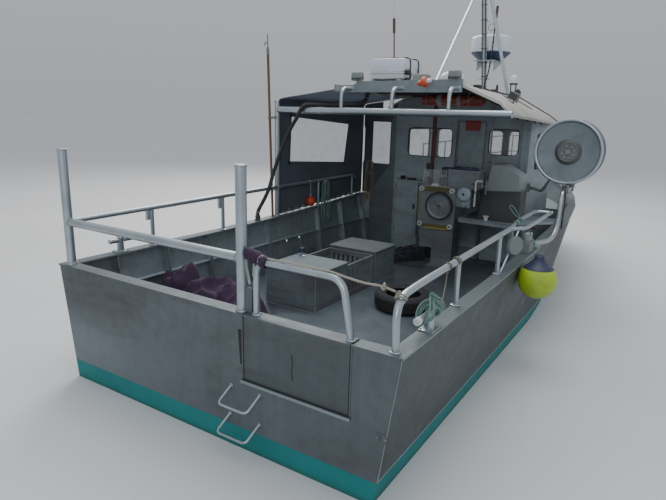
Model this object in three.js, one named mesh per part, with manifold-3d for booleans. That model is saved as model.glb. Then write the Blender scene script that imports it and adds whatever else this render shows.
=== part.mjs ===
import * as THREE from 'three';
import { mergeVertices } from 'three/addons/utils/BufferGeometryUtils.js';
import Module from 'manifold-3d';

// Aluminium inshore fishing boat, in millimetres.
// +X is starboard, +Y is forward and +Z is up.
// The origin is on the waterline at the centre of the transom's outer face.

const wasm = await Module();
wasm.setup();

// Driving dimensions

const SEAT = 0.3;
const RUNNING = 6;
const PLATE = 12;
const MIRROR = [1, -1];

const HALF_BEAM = 1650;
const STEM_HALF = 16;
const BOOT_TOP_Z = 165;
const DECK_Z = 330;
const FOREDECK_Z = 960;
const COAMING_TOP = 14;
const GUNWALE_IN = 104;
const GUNWALE_OUT = 12;

const RAIL_R = 24;
const FRAME_R = 38;
const SLIM_R = 14;

const HOUSE_HALF = 1000;
const HOUSE_AFT_Y = 5200;
const HOUSE_FRONT_Y = 6720;
const HOUSE_WALL = 40;
const SILL_Z = 450;
const WINDOW_LOW = 1670;
const WINDOW_HIGH = 2160;
const GLASS = 6;

const CANOPY_Y = 2970;
const CANOPY_Z = 2400;
const POST_X = -1585;
const ROOF_AFT_Y = 3200;
const ROOF_FRONT_Y = 6980;
const ROOF_TOP_Z = 2700;
const ROOF_THICK = 28;
const ROOF_FLAT = 770;

// Hull lines: each runs from the transom to its own foot on the stem.
// half: half breadth aft, taper and fullness: where it narrows and how fast,
// z, rise, lift and curl: height aft, gain at the stem, where it starts and how fast

const hullLine = (length, half, taper, fullness, z, rise, lift, curl) => (
  { length, half, taper, fullness, z, rise, lift, curl });
const LINES = {
  sheer: hullLine(9600, HALF_BEAM, 0.47, 2.2, 1020, 420, 0.2, 1.6),
  chine: hullLine(8900, 1480, 0.42, 2.0, -200, 330, 0.35, 2.0),
  keel: hullLine(8450, STEM_HALF, 0.9, 1.0, -520, 400, 0.7, 2.0),
};
const STATIONS = [0, 0.2, 0.34, 0.44, 0.53, 0.61, 0.68, 0.74, 0.8, 0.85, 0.9, 0.94, 0.975, 1];

// Materials: colour, roughness, metalness

const FINISH = {
  bare: [0x8e949a, 0.5, 0.8],
  bright: [0xb4b9bd, 0.38, 0.9],
  deck: [0x7d8388, 0.6, 0.7],
  teal: [0x12a08b, 0.6, 0.0],
  cream: [0xcfcabb, 0.55, 0.1],
  white: [0xe8ebec, 0.4, 0.0],
  canvas: [0x5a6b7c, 0.9, 0.0],
  glass: [0xa9bcc6, 0.08, 0.0],
  black: [0x17181a, 0.7, 0.0],
  rubber: [0x1b1c1e, 0.85, 0.0],
  orange: [0xd8442c, 0.5, 0.0],
  red: [0x6e1f25, 0.5, 0.2],
  lime: [0xb4d51e, 0.4, 0.0],
  green: [0x3f9c86, 0.8, 0.0],
  straw: [0xa59a74, 0.9, 0.0],
  purple: [0x4a2148, 0.9, 0.0],
  bronze: [0x9a6a35, 0.4, 0.9],
  steel: [0x6d7276, 0.5, 0.8],
  hood: [0x8b9294, 0.8, 0.0],
};

const boat = new THREE.Group();

function place(name, geometry, finish) {
  const [color, roughness, metalness] = FINISH[finish];
  const mesh = new THREE.Mesh(geometry, new THREE.MeshStandardMaterial({ color, roughness, metalness }));
  mesh.name = name;
  boat.add(mesh);
}

// Solids and their joining

function volumeOf(corners, faces) {
  const [a, b, c] = [new THREE.Vector3(), new THREE.Vector3(), new THREE.Vector3()];
  let volume = 0;
  for (let i = 0; i < faces.length; i += 3) {
    a.fromArray(corners, faces[i] * 3);
    b.fromArray(corners, faces[i + 1] * 3);
    c.fromArray(corners, faces[i + 2] * 3);
    volume += a.dot(b.cross(c));
  }
  return volume;
}

function solid(geometry) {
  const bare = geometry.clone();
  bare.deleteAttribute('normal');
  bare.deleteAttribute('uv');
  const merged = mergeVertices(bare, 1e-3);
  const vertProperties = new Float32Array(merged.attributes.position.array);
  const triVerts = new Uint32Array(merged.index.array);
  if (volumeOf(vertProperties, triVerts) < 0) {
    triVerts.reverse();
  }
  return new wasm.Manifold(new wasm.Mesh({ numProp: 3, vertProperties, triVerts }));
}

function geometryOf(manifold) {
  const mesh = manifold.getMesh();
  const geometry = new THREE.BufferGeometry();
  geometry.setAttribute('position', new THREE.BufferAttribute(mesh.vertProperties, 3));
  geometry.setIndex(new THREE.BufferAttribute(mesh.triVerts, 1));
  return geometry;
}

function fuse(pieces) {
  return pieces.reduce((whole, piece) => whole.add(piece));
}

function cutOut(body, cutters) {
  return cutters.reduce((whole, cutter) => whole.subtract(cutter), body);
}

function put(name, manifold, finish) {
  place(name, geometryOf(manifold), finish);
}

function block(x0, x1, y0, y1, z0, z1) {
  const geometry = new THREE.BoxGeometry(x1 - x0, y1 - y0, z1 - z0);
  geometry.translate((x0 + x1) / 2, (y0 + y1) / 2, (z0 + z1) / 2);
  return solid(geometry);
}

function shapeOf(outline) {
  return new THREE.Shape(outline.map(([u, v]) => new THREE.Vector2(u, v)));
}

function roundedShape(width, height, radius) {
  const shape = new THREE.Shape();
  const [w, h] = [width / 2, height / 2];
  const corners = [[w - radius, radius - h, -0.5], [w - radius, h - radius, 0], [radius - w, h - radius, 0.5],
    [radius - w, radius - h, 1]];
  shape.moveTo(radius - w, -h);
  for (const [u, v, start] of corners) {
    shape.absarc(u, v, radius, start * Math.PI, (start + 0.5) * Math.PI, false);
  }
  return shape;
}

function extruded(shape, depth, curveSegments) {
  return new THREE.ExtrudeGeometry(shape, { depth, bevelEnabled: false, curveSegments });
}

// A prism whose outline is in x and z, running along y.
function alongY(shape, y0, y1, segments = 4) {
  const geometry = extruded(shape, y1 - y0, segments);
  geometry.rotateX(Math.PI / 2);
  geometry.translate(0, y1, 0);
  return solid(geometry);
}

// A prism whose outline is in y and z, running along x.
function alongX(shape, x0, x1, segments = 4) {
  const geometry = extruded(shape, x1 - x0, segments);
  geometry.rotateX(Math.PI / 2);
  geometry.rotateZ(Math.PI / 2);
  geometry.translate(x0, 0, 0);
  return solid(geometry);
}

// A prism whose outline is in x and y, running along z.
function alongZ(shape, z0, z1, segments = 4) {
  const geometry = extruded(shape, z1 - z0, segments);
  geometry.translate(0, 0, z0);
  return solid(geometry);
}

function rodZ(x, y, z0, z1, radius, sides = 14) {
  const geometry = new THREE.CylinderGeometry(radius, radius, z1 - z0, sides);
  geometry.rotateX(Math.PI / 2);
  geometry.translate(x, y, (z0 + z1) / 2);
  return solid(geometry);
}

function rodY(x, z, y0, y1, radius, sides = 14) {
  const geometry = new THREE.CylinderGeometry(radius, radius, y1 - y0, sides);
  geometry.translate(x, (y0 + y1) / 2, z);
  return solid(geometry);
}

function rodX(y, z, x0, x1, radius, sides = 14) {
  const geometry = new THREE.CylinderGeometry(radius, radius, x1 - x0, sides);
  geometry.rotateZ(Math.PI / 2);
  geometry.translate((x0 + x1) / 2, y, z);
  return solid(geometry);
}

// A turned form about an axis along y: profile rows are radius and distance along y.
function turnedY(profile, x, y, z, sides = 32) {
  const geometry = new THREE.LatheGeometry(profile.map(([r, d]) => new THREE.Vector2(r, d)), sides);
  geometry.translate(x, y, z);
  return solid(geometry);
}

// A turned form about an axis along z: profile rows are radius and height.
function turnedZ(profile, x, y, z, sides = 32) {
  const geometry = new THREE.LatheGeometry(profile.map(([r, d]) => new THREE.Vector2(r, d)), sides);
  geometry.rotateX(Math.PI / 2);
  geometry.translate(x, y, z);
  return solid(geometry);
}

// A run of straight lengths with bent corners, whose rings stand exactly at its stops.
class Run extends THREE.Curve {
  constructor(corners, bend, steps) {
    super();
    const points = corners.map((corner) => new THREE.Vector3(...corner));
    this.stops = [points[0]];
    for (let i = 1; i < points.length - 1; i += 1) {
      const [before, here, after] = [points[i - 1], points[i], points[i + 1]];
      const back = before.clone().sub(here);
      const on = after.clone().sub(here);
      const reach = Math.min(bend, back.length() * 0.48, on.length() * 0.48);
      const start = here.clone().addScaledVector(back.normalize(), reach);
      const end = here.clone().addScaledVector(on.normalize(), reach);
      const arc = new THREE.QuadraticBezierCurve3(start, here, end);
      this.stops.push(...arc.getPoints(steps));
    }
    this.stops.push(points.at(-1));
  }

  getPoint(t, target = new THREE.Vector3()) {
    const along = t * (this.stops.length - 1);
    const index = Math.min(Math.floor(along), this.stops.length - 2);
    return target.lerpVectors(this.stops[index], this.stops[index + 1], along - index);
  }

  getPointAt(u, target) {
    return this.getPoint(u, target);
  }

  getTangent(t, target = new THREE.Vector3()) {
    const index = Math.round(t * (this.stops.length - 1));
    const before = this.stops[Math.max(index - 1, 0)];
    const after = this.stops[Math.min(index + 1, this.stops.length - 1)];
    return target.subVectors(after, before).normalize();
  }

  getTangentAt(u, target) {
    return this.getTangent(u, target);
  }
}

function roundSection(radius, sides) {
  const turns = Array.from({ length: sides }, (unused, i) => (2 * Math.PI * (i + 0.5)) / sides);
  return shapeOf(turns.map((turn) => [radius * Math.cos(turn), radius * Math.sin(turn)]));
}

function pipe(corners, radius, bend = 90, sides = 10, steps = 3) {
  const extrudePath = new Run(corners, bend, steps);
  const geometry = new THREE.ExtrudeGeometry(roundSection(radius, sides), {
    steps: extrudePath.stops.length - 1, bevelEnabled: false, extrudePath,
  });
  return solid(geometry);
}

function cord(corners, radius, sides, steps) {
  const extrudePath = new THREE.CatmullRomCurve3(corners.map((corner) => new THREE.Vector3(...corner)));
  const section = roundSection(radius, sides);
  return solid(new THREE.ExtrudeGeometry(section, { steps, bevelEnabled: false, extrudePath }));
}

// A skin through rings of points, closed at both ends.
function loft(rings) {
  const count = rings[0].length;
  const corners = rings.flat().flatMap((point) => [point.x, point.y, point.z]);
  const faces = [];
  for (let r = 0; r < rings.length - 1; r += 1) {
    for (let i = 0; i < count; i += 1) {
      const [a, b] = [r * count + i, r * count + ((i + 1) % count)];
      faces.push(a, b, b + count, a, b + count, a + count);
    }
  }
  const last = (rings.length - 1) * count;
  for (let i = 1; i < count - 1; i += 1) {
    faces.push(0, i + 1, i, last, last + i, last + i + 1);
  }
  const geometry = new THREE.BufferGeometry();
  geometry.setAttribute('position', new THREE.BufferAttribute(new Float32Array(corners), 3));
  geometry.setIndex(faces);
  return solid(geometry);
}

// Hull form

function linePoint(line, t) {
  const narrowing = Math.max(0, (t - line.taper) / (1 - line.taper)) ** line.fullness;
  const lifting = Math.max(0, (t - line.lift) / (1 - line.lift)) ** line.curl;
  const x = Math.max(STEM_HALF, line.half * (1 - narrowing));
  return new THREE.Vector3(x, t * line.length, line.z + line.rise * lifting);
}

function sidePoint(t, z) {
  const low = linePoint(LINES.chine, t);
  const high = linePoint(LINES.sheer, t);
  return low.clone().lerp(high, (z - low.z) / (high.z - low.z));
}

function across(point) {
  return new THREE.Vector3(-point.x, point.y, point.z);
}

function inward(point, inset) {
  return new THREE.Vector3(Math.max(point.x - inset, 0.5), point.y, point.z);
}

function sheerHeight(y) {
  return linePoint(LINES.sheer, y / LINES.sheer.length).z;
}

function sideHalf(y, z) {
  return sidePoint(y / LINES.sheer.length, z).x;
}

const FAR = 12000;
const ABOVE = 60;

// The space between the two sides, from the waterline to a little over the sheer.
function betweenSides(inset) {
  return loft(STATIONS.map((t) => {
    const low = inward(sidePoint(t, 0), inset);
    const high = inward(sidePoint(t, linePoint(LINES.sheer, t).z + ABOVE), inset);
    return [low, high, across(high), across(low)];
  }));
}

// A band across the whole boat that follows the sheer, from one height over it to another.
function alongSheer(low, high) {
  return loft(STATIONS.map((t) => {
    const { y, z } = linePoint(LINES.sheer, t);
    return [[-FAR, low], [FAR, low], [FAR, high], [-FAR, high]].map(([x, up]) => new THREE.Vector3(x, y, z + up));
  }));
}

// What stands on the gunwale, cut off just above it.
function onGunwale(piece) {
  return piece.subtract(alongSheer(-400, COAMING_TOP - 4 + SEAT));
}

const wholeWidth = (y0, y1) => block(-FAR, FAR, y0, y1, -FAR, FAR);
const oneSide = (side) => (side > 0 ? block(SEAT / 2, FAR, -FAR, FAR, -FAR, FAR)
  : block(-FAR, -SEAT / 2, -FAR, FAR, -FAR, FAR));

// Propeller, rudder and keel

const SHAFT_Z = -740;
const PROP_Y = 700;
const PROP_R = 185;
const SOLE_Z = -950;
const SOLE_BOTTOM = -985;
const STOCK_Y = 420;
const STOCK_R = 25;
const KEEL_HALF = 30;
const STERN_TUBE_Y = 860;

const ENGINE = { x0: -325, x1: 325, y0: 4100, y1: 5250, z0: -380, z1: 150 };
const POCKET_GAP = 30;

function hull() {
  const rings = STATIONS.map((t) => {
    const keel = linePoint(LINES.keel, t);
    const chine = linePoint(LINES.chine, t);
    const top = sidePoint(t, BOOT_TOP_Z);
    const foot = new THREE.Vector3(0, keel.y, keel.z);
    return [foot, chine, top, across(top), across(chine)];
  });
  const keelOutline = [[STERN_TUBE_Y, -480], [STERN_TUBE_Y, SOLE_Z], [STOCK_Y - 60, SOLE_Z],
    [STOCK_Y - 60, SOLE_BOTTOM], [2600, SOLE_BOTTOM], [7300, -470], [6600, -420]];
  const keel = alongX(shapeOf(keelOutline), -KEEL_HALF, KEEL_HALF);
  const sternTube = rodY(0, SHAFT_Z, STERN_TUBE_Y - 20, STERN_TUBE_Y + 500, 52);
  const tubeBore = rodY(0, SHAFT_Z, STERN_TUBE_Y - 40, STERN_TUBE_Y + 300, 25.5, 24);
  const stockBore = rodZ(0, STOCK_Y, -560, -400, STOCK_R + 0.5, 24);
  const bearing = rodZ(0, STOCK_Y, -545, -480, 48);
  const pintleBore = rodZ(0, STOCK_Y, SOLE_BOTTOM - 5, SOLE_Z + 5, STOCK_R + 0.5, 24);
  const pocket = block(ENGINE.x0 - POCKET_GAP, ENGINE.x1 + POCKET_GAP, ENGINE.y0 - POCKET_GAP,
    ENGINE.y1 + POCKET_GAP, ENGINE.z0 - SEAT, 400);
  const body = fuse([loft(rings), keel, sternTube, bearing]);
  return cutOut(body, [tubeBore, stockBore, pintleBore, pocket]);
}

function engine() {
  return block(ENGINE.x0, ENGINE.x1, ENGINE.y0, ENGINE.y1, ENGINE.z0, ENGINE.z1);
}

// Outline of one blade, with its root at the bottom
const BLADE = [
  [-30, 20], [-78, 90], [-72, 150], [-20, PROP_R], [40, 178], [82, 120], [60, 55], [28, 20],
];

function propeller() {
  const hub = turnedY([[0, -75], [20, -72], [34, -55], [48, -10], [48, 80], [0, 80]], 0, PROP_Y, SHAFT_Z, 24);
  const shaft = rodY(0, SHAFT_Z, PROP_Y + 60, STERN_TUBE_Y + 290, 25, 24);
  const blades = [0, 1, 2].map((i) => {
    const geometry = extruded(shapeOf(BLADE), 14, 1);
    geometry.translate(0, 0, -7);
    geometry.rotateY(0.62);
    geometry.rotateX(Math.PI / 2);
    geometry.rotateY((i * 2 * Math.PI) / 3);
    geometry.translate(0, PROP_Y + 30, SHAFT_Z);
    return solid(geometry);
  });
  return fuse([hub, shaft, ...blades]);
}

function rudder() {
  const outline = [[180, -580], [180, -860], [230, -925], [520, -925], [540, -700], [520, -580]];
  const blade = alongX(shapeOf(outline), -16, 16);
  const stock = rodZ(0, STOCK_Y, -925, -402, STOCK_R, 24);
  const pintle = rodZ(0, STOCK_Y, SOLE_BOTTOM + 5, -900, STOCK_R, 24);
  const collar = rodZ(0, STOCK_Y, -580, -551, 40);
  return fuse([blade, stock, pintle, collar]);
}

// Decks

function mainDeck() {
  return betweenSides(PLATE + SEAT)
    .intersect(block(-FAR, FAR, PLATE + SEAT, HOUSE_FRONT_Y + 60, BOOT_TOP_Z + SEAT, DECK_Z));
}

const HATCH = { x: 280, y0: 7150, y1: 7710, rise: 60 };

function foreBody() {
  const space = betweenSides(PLATE + SEAT)
    .intersect(block(-FAR, FAR, HOUSE_FRONT_Y + 60 + SEAT, FAR, BOOT_TOP_Z + SEAT, FOREDECK_Z));
  const coaming = block(-HATCH.x, HATCH.x, HATCH.y0, HATCH.y1, FOREDECK_Z - 5, FOREDECK_Z + HATCH.rise);
  const well = block(20 - HATCH.x, HATCH.x - 20, HATCH.y0 + 20, HATCH.y1 - 20, FOREDECK_Z - 380,
    FOREDECK_Z + 200);
  const post = rodZ(0, 8450, FOREDECK_Z - 5, FOREDECK_Z + 260, 50);
  const pin = rodX(8450, FOREDECK_Z + 190, -150, 150, 16);
  return cutOut(fuse([space, coaming, post, pin]), [well]);
}

const HATCH_HINGE = { y: HATCH.y1 + 18, z: FOREDECK_Z + HATCH.rise + 12 };

function foredeckHatch() {
  const top = FOREDECK_Z + HATCH.rise + SEAT;
  const { x, y0, y1 } = HATCH;
  const lid = block(-x - 12, x + 12, y0 - 12, y1, top, top + 20);
  const lugs = [-180, 180].map((u) => block(u - 25, u + 25, y1 - 30, HATCH_HINGE.y + 12, top, top + 20));
  const grip = pipe([[-60, 18], [-60, 52], [60, 52], [60, 18]].map(([u, up]) => [u, y0 + 60, top + up]), 7, 14, 8, 2);
  return fuse([lid, ...lugs, grip]);
}

// Route of the deck hose, from under the roof to the port gunwale
const HOSE = [
  [-560, 3420, 2600], [-560, 3420, 2560], [-590, 3350, 2505], [-670, 3245, 2480], [-790, 3150, 2470],
  [-930, 3065, 2467], [-1040, 3005, 2467], [-1102, 2960, 2467], [-1150, 2922, 2446], [-1180, 2901, 2395],
  [-1212, 2892, 2325], [-1260, 2884, 2250], [-1304, 2874, 2175], [-1350, 2862, 2078], [-1392, 2847, 1974],
  [-1433, 2830, 1865], [-1464, 2808, 1755], [-1490, 2782, 1645], [-1506, 2752, 1536], [-1517, 2720, 1436],
  [-1545, 2692, 1343], [-1575, 2662, 1260], [-1595, 2630, 1195], [-1601, 2606, 1150], [-1602, 2603, 1110],
];
const SPIGOT_DROP = 3;

// Sides, with gunwale plate, frames, stringer and freeing ports

const FRAMES_Y = [520, 1120, 1720, 2320, 2760, 3900, 4500, 5100, 5700, 6300];
const FREEING = { y: [3190, 3480], half: 18, z0: 460, z1: 690 };
const BITTS = {
  starboard: { y: 500, back: 205, front: 185 },
  port: { y: 590, back: 120, front: 140 },
};

function gunwale(side) {
  return loft(STATIONS.map((t) => {
    const rim = linePoint(LINES.sheer, t);
    const [outX, inX] = [rim.x + GUNWALE_OUT, rim.x - GUNWALE_IN];
    return [[outX, -4], [outX, COAMING_TOP - 4], [inX, COAMING_TOP - 4], [inX, -4]]
      .map(([x, dz]) => new THREE.Vector3(side * x, rim.y, rim.z + dz));
  }));
}

function bitt(side, seat) {
  const x = side * (HALF_BEAM - 48);
  const foot = sheerHeight(seat.y) + 2;
  return fuse([
    block(x - 50, x + 50, seat.y - 60, seat.y + 60, foot, foot + 18),
    rodZ(x, seat.y, foot, foot + 150, 30),
    rodY(x, foot + 122, seat.y - seat.back, seat.y + seat.front, 21, 16),
  ]);
}

// Where the deck hose plugs into the port gunwale.
function hoseSpigot() {
  const [x, y, z] = HOSE.at(-1);
  return rodZ(x, y, sheerHeight(y), z - SPIGOT_DROP, 30, 12);
}

function topside(side) {
  const below = block(-FAR, FAR, -FAR, FAR, -FAR, BOOT_TOP_Z + SEAT);
  const skin = cutOut(betweenSides(0), [betweenSides(PLATE), below]);
  const behind = betweenSides(PLATE - 4);
  const web = behind.subtract(betweenSides(92));
  const shelf = behind.subtract(betweenSides(66));
  const ribs = FRAMES_Y.map((y) => web.intersect(block(-FAR, FAR, y - 5, y + 5, DECK_Z + SEAT, FAR)));
  const stringer = shelf.intersect(block(-FAR, FAR, 125, HOUSE_FRONT_Y + 50, 715, 725));
  const { half, z0, z1 } = FREEING;
  const slots = FREEING.y.map((y) => block(-1800, 1800, y - half, y + half, z0, z1));
  const body = cutOut(fuse([skin, ...ribs, stringer]), [...slots, alongSheer(0, FAR)]).intersect(oneSide(side));
  const seat = side > 0 ? BITTS.starboard : BITTS.port;
  const fittings = side > 0 ? [bitt(side, seat)] : [bitt(side, seat), hoseSpigot()];
  const capped = fuse([body, gunwale(side).intersect(oneSide(side)), ...fittings]);
  return capped.intersect(wholeWidth(PLATE + SEAT, FAR)).subtract(transomCorner());
}

const TRANSOM_CAP_Y = 110;

function transomCorner() {
  const [low, high] = [-4 - SEAT, COAMING_TOP + 1].map((rise) => LINES.sheer.z + rise);
  return block(-FAR, FAR, -FAR, TRANSOM_CAP_Y + SEAT, low, high);
}

// Transom, its gate and its rungs

const RIM_Z = LINES.sheer.z + COAMING_TOP - 4;
const GATE = { x0: 466, x1: 1318, sill: 553, wing: 12, wingY: 17, wingThick: 8 };
const GUIDE = { web: 8, y: 30, thick: 8, lap: 12 };
const RUNG_Y = -120;
const RUNGS = [
  { x0: 350, x1: 620, z: 475, slew: 30, drop: 35 },
  { x0: 352, x1: 622, z: 262, slew: 30, drop: 32 },
];
const TRANSOM_RIBS_X = [-1150, -700, -250, 200];
const CENTRE_POST_X = 415;
const PORT_POST_X = -1556;
const GALLOWS_Y = 55;

function transom() {
  const low = sidePoint(0, BOOT_TOP_Z + SEAT);
  const rim = LINES.sheer.z;
  const outline = [[-low.x, low.z], [low.x, low.z], [HALF_BEAM, rim], [-HALF_BEAM, rim]];
  const plate = alongY(shapeOf(outline), 0, PLATE);
  const cap = block(-HALF_BEAM - GUNWALE_OUT, HALF_BEAM + GUNWALE_OUT, -4, TRANSOM_CAP_Y, rim - 4, RIM_Z);
  const ribs = TRANSOM_RIBS_X.map((x) => block(x - 5, x + 5, PLATE - 3, 92, DECK_Z + SEAT, rim));
  const stringer = block(-1500, 425, PLATE - 3, 72, 715, 725);
  const wingLow = GATE.x0 - GATE.wing;
  const wingHigh = GATE.x1 + GATE.wing;
  const { web, thick, lap } = GUIDE;
  const guide = (x0, x1, y0) => block(x0, x1, y0, GUIDE.y + thick, DECK_Z + SEAT, rim - 2);
  const guides = [
    guide(wingLow - web, wingLow, PLATE - 3),
    guide(wingHigh, wingHigh + web, PLATE - 3),
    guide(wingLow - web, wingLow + lap, GUIDE.y),
    guide(wingHigh - lap, wingHigh + web, GUIDE.y),
  ];
  const opening = block(GATE.x0, GATE.x1, -50, PLATE + 1, GATE.sill, FAR);
  const notch = block(wingLow, wingHigh, PLATE, FAR, GATE.sill - 8, FAR);
  const capGap = block(GATE.x0, GATE.x1, -FAR, FAR, rim - 60, FAR);
  const rungs = RUNGS.map(({ x0, x1, z, slew, drop }) => pipe([
    [x0, PLATE / 2, z],
    [x0 - slew, RUNG_Y, z - drop],
    [x1 - slew, RUNG_Y, z - drop],
    [x1, PLATE / 2, z],
  ], 11, 30, 10, 3));
  const body = cutOut(fuse([plate, cap, ...ribs, stringer]), [opening, notch, capGap]);
  return fuse([body, ...guides, ...rungs]);
}

function sternGate() {
  const [x0, x1] = [GATE.x0 + RUNNING, GATE.x1 - RUNNING];
  const { sill, wing, wingY, wingThick } = GATE;
  const rim = LINES.sheer.z;
  const plate = block(x0, x1, 1, PLATE - 1, sill + SEAT, rim);
  const back = block(x0 + 10, x1 - 10, PLATE - 2, wingY + wingThick, sill + 10, rim - 2);
  const wings = block(x0 - wing, x1 + wing, wingY, wingY + wingThick, sill + 10, rim - 30);
  const cap = block(x0, x1, -4, TRANSOM_CAP_Y, rim - 4, RIM_Z);
  const ribs = [720, 1060].map((x) => block(x - 5, x + 5, wingY, 80, sill + 40, rim));
  const hoop = pipe([[543, GALLOWS_Y, RIM_Z - 4], [543, GALLOWS_Y, 1405], [1215, GALLOWS_Y, 1405],
    [1285, GALLOWS_Y, RIM_Z - 4]], RAIL_R, 90);
  return fuse([plate, back, wings, cap, ...ribs, hoop]);
}

function sternGallows() {
  const foot = RIM_Z + SEAT;
  const posts = [[PORT_POST_X, 2020], [CENTRE_POST_X, 2025]].map(([x, top]) => fuse([
    rodZ(x, GALLOWS_Y, foot, top, FRAME_R),
    rodZ(x, GALLOWS_Y, top - 8, top + 6, FRAME_R + 3),
    rodZ(x, GALLOWS_Y, foot, foot + 14, FRAME_R + 8),
  ]));
  return fuse([...posts, rodX(GALLOWS_Y, 1405, PORT_POST_X, CENTRE_POST_X, FRAME_R - 4)]);
}

// Guard rails

const RAIL_Z = 1430;
const RAIL_X = 1570;
const STANCHIONS_PORT = [950, 1950];
const STANCHIONS_CURTAIN = [3900, 4840];
const POST_R = 32;
const STANCHIONS_STARBOARD = [1060, 2080];
const LOOP = { y0: 2400, y1: 3600, inX: 1515, outX: 1675, z: 1385 };

function stanchion(x, y, top) {
  const foot = sheerHeight(y);
  const [tube, flange] = [[top, RAIL_R - 4], [foot + 20, RAIL_R + 14]];
  return onGunwale(fuse([tube, flange].map(([z, radius]) => rodZ(x, y, foot, z, radius, 10))));
}

function railPort() {
  const start = GALLOWS_Y + FRAME_R + SEAT;
  const end = CANOPY_Y - POST_R - SEAT;
  const top = pipe([[-RAIL_X, start, RAIL_Z - 25], [-RAIL_X, end, RAIL_Z]], RAIL_R);
  return fuse([top, ...STANCHIONS_PORT.map((y) => stanchion(-RAIL_X, y, RAIL_Z - 12))]);
}

function railStarboard() {
  const { y0, y1, inX, outX, z } = LOOP;
  const top = pipe([[RAIL_X + 16, 52, RIM_Z - 10], [RAIL_X, 62, 1345], [RAIL_X, 420, 1362], [RAIL_X, y0, z]],
    RAIL_R, 150, 12, 4).subtract(block(1400, 1700, -100, 200, 900, RIM_Z + SEAT));
  const inner = pipe([[RAIL_X, y0 - 20, z], [inX, 2960, z], [inX, y1, z], [outX + 20, y1, z]], RAIL_R - 5, 60);
  const outer = pipe([[RAIL_X, y0 - 20, z], [outX, y0 + 110, z], [outX, y1, z]], RAIL_R - 5, 60);
  const knob = solid(new THREE.SphereGeometry(RAIL_R, 12, 8).translate(RAIL_X, y0 - 10, z));
  const feet = STANCHIONS_STARBOARD.map((y) => stanchion(RAIL_X, y, z - 15));
  return fuse([top, inner, outer, knob, ...feet]);
}

const PULPIT_STATIONS = [0.72, 0.78, 0.84, 0.9, 0.95];
const PULPIT_HEIGHTS = [330, 650];

function pulpit() {
  const foot = (t, side) => {
    const rim = linePoint(LINES.sheer, t);
    return [side * Math.max(rim.x - 55, 40), rim.y - 30, rim.z];
  };
  const posts = MIRROR.flatMap((side) => PULPIT_STATIONS.map((t) => {
    const [x, y, z] = foot(t, side);
    const [tube, flange] = [[PULPIT_HEIGHTS[1], SLIM_R], [20, SLIM_R + 14]];
    return onGunwale(fuse([tube, flange].map(([up, radius]) => rodZ(x, y, z - 40, z + up, radius, 8))));
  }));
  const bars = PULPIT_HEIGHTS.map((height) => {
    const half = PULPIT_STATIONS.map((t) => foot(t, 1)).map(([x, y, z]) => [x, y, z + height]);
    const other = half.map(([x, y, z]) => [-x, y, z]).reverse();
    return pipe([...half, [0, half.at(-1)[1] + 60, half.at(-1)[2]], ...other], SLIM_R + 2, 60, 8, 2);
  });
  return fuse([...posts, ...bars]);
}

// Canopy frame, roof and side curtain

const STRUTS_X = [-646, 8, 666];
const POST_TOP = 2515;

function canopyFrame() {
  const foot = sheerHeight(CANOPY_Y);
  const bar = rodX(CANOPY_Y, CANOPY_Z, POST_X, 1330, FRAME_R);
  const post = onGunwale(fuse([
    rodZ(POST_X, CANOPY_Y, foot, POST_TOP, POST_R),
    rodZ(POST_X, CANOPY_Y, foot, foot + 24, POST_R + 16),
  ]));
  const struts = STRUTS_X.map((x) => pipe([
    [x, CANOPY_Y, CANOPY_Z + 10],
    [x, CANOPY_Y + 2, 2655],
    [x, ROOF_AFT_Y - SEAT, 2655],
  ], 22, 110, 10, 5));
  const rail = pipe([
    [-RAIL_X, CANOPY_Y, RAIL_Z],
    [-RAIL_X, 4840, RAIL_Z + 12],
    [-RAIL_X, 4950, RAIL_Z - 60],
  ], RAIL_R, 60);
  const feet = STANCHIONS_CURTAIN.map((y) => stanchion(-RAIL_X, y, RAIL_Z));
  return fuse([bar, post, ...struts, rail, ...feet]);
}

// The roof is flat on top and falls to each side. On the starboard side its lines run inwards as they
// go forward: each has its aft and its fore end, as x, y and z of the upper surface.

const ROOF_LINES = {
  port: [[-ROOF_FLAT, ROOF_AFT_Y, ROOF_TOP_Z], [-ROOF_FLAT, ROOF_FRONT_Y, ROOF_TOP_Z]],
  flat: [[724, ROOF_AFT_Y, ROOF_TOP_Z], [340, ROOF_FRONT_Y, ROOF_TOP_Z]],
  shoulder: [[1158, 3100, 2530], [838, ROOF_FRONT_Y, 2425]],
  eave: [[1318, 3012, 2407], [1010, ROOF_FRONT_Y, 2303]],
};
const PORT_SLOPE = [[-1270, 2410], [-1150, 2505], [-ROOF_FLAT, ROOF_TOP_Z]];
const ROOF_BAYS = 6;

function roofLine(name, part) {
  const [aft, fore] = ROOF_LINES[name].map((point) => new THREE.Vector3(...point));
  return aft.lerp(fore, part);
}

// Height of the upper surface between the flat and the shoulder.
function roofHeight(x, y) {
  const [flat, shoulder] = ['flat', 'shoulder'].map((name) => {
    const [aft, fore] = ROOF_LINES[name];
    return roofLine(name, (y - aft[1]) / (fore[1] - aft[1]));
  });
  return THREE.MathUtils.mapLinear(x, flat.x, shoulder.x, flat.z, shoulder.z);
}

// A strip of roof between two lines, from a height over the upper surface to one under it.
function roofStrip(one, other, over, under) {
  const rings = [];
  for (let i = 0; i <= ROOF_BAYS; i += 1) {
    const [a, b] = [one, other].map((name) => roofLine(name, i / ROOF_BAYS));
    rings.push([[a, over], [b, over], [b, under], [a, under]]
      .map(([point, rise]) => new THREE.Vector3(point.x, point.y, point.z + rise)));
  }
  return loft(rings);
}

// The starboard slope and the flat, with the space that they take above or below them.
function taperedRoof(over, under) {
  const names = ['port', 'flat', 'shoulder', 'eave'];
  return fuse(names.slice(1).map((name, i) => roofStrip(names[i], name, over, under)));
}

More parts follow.
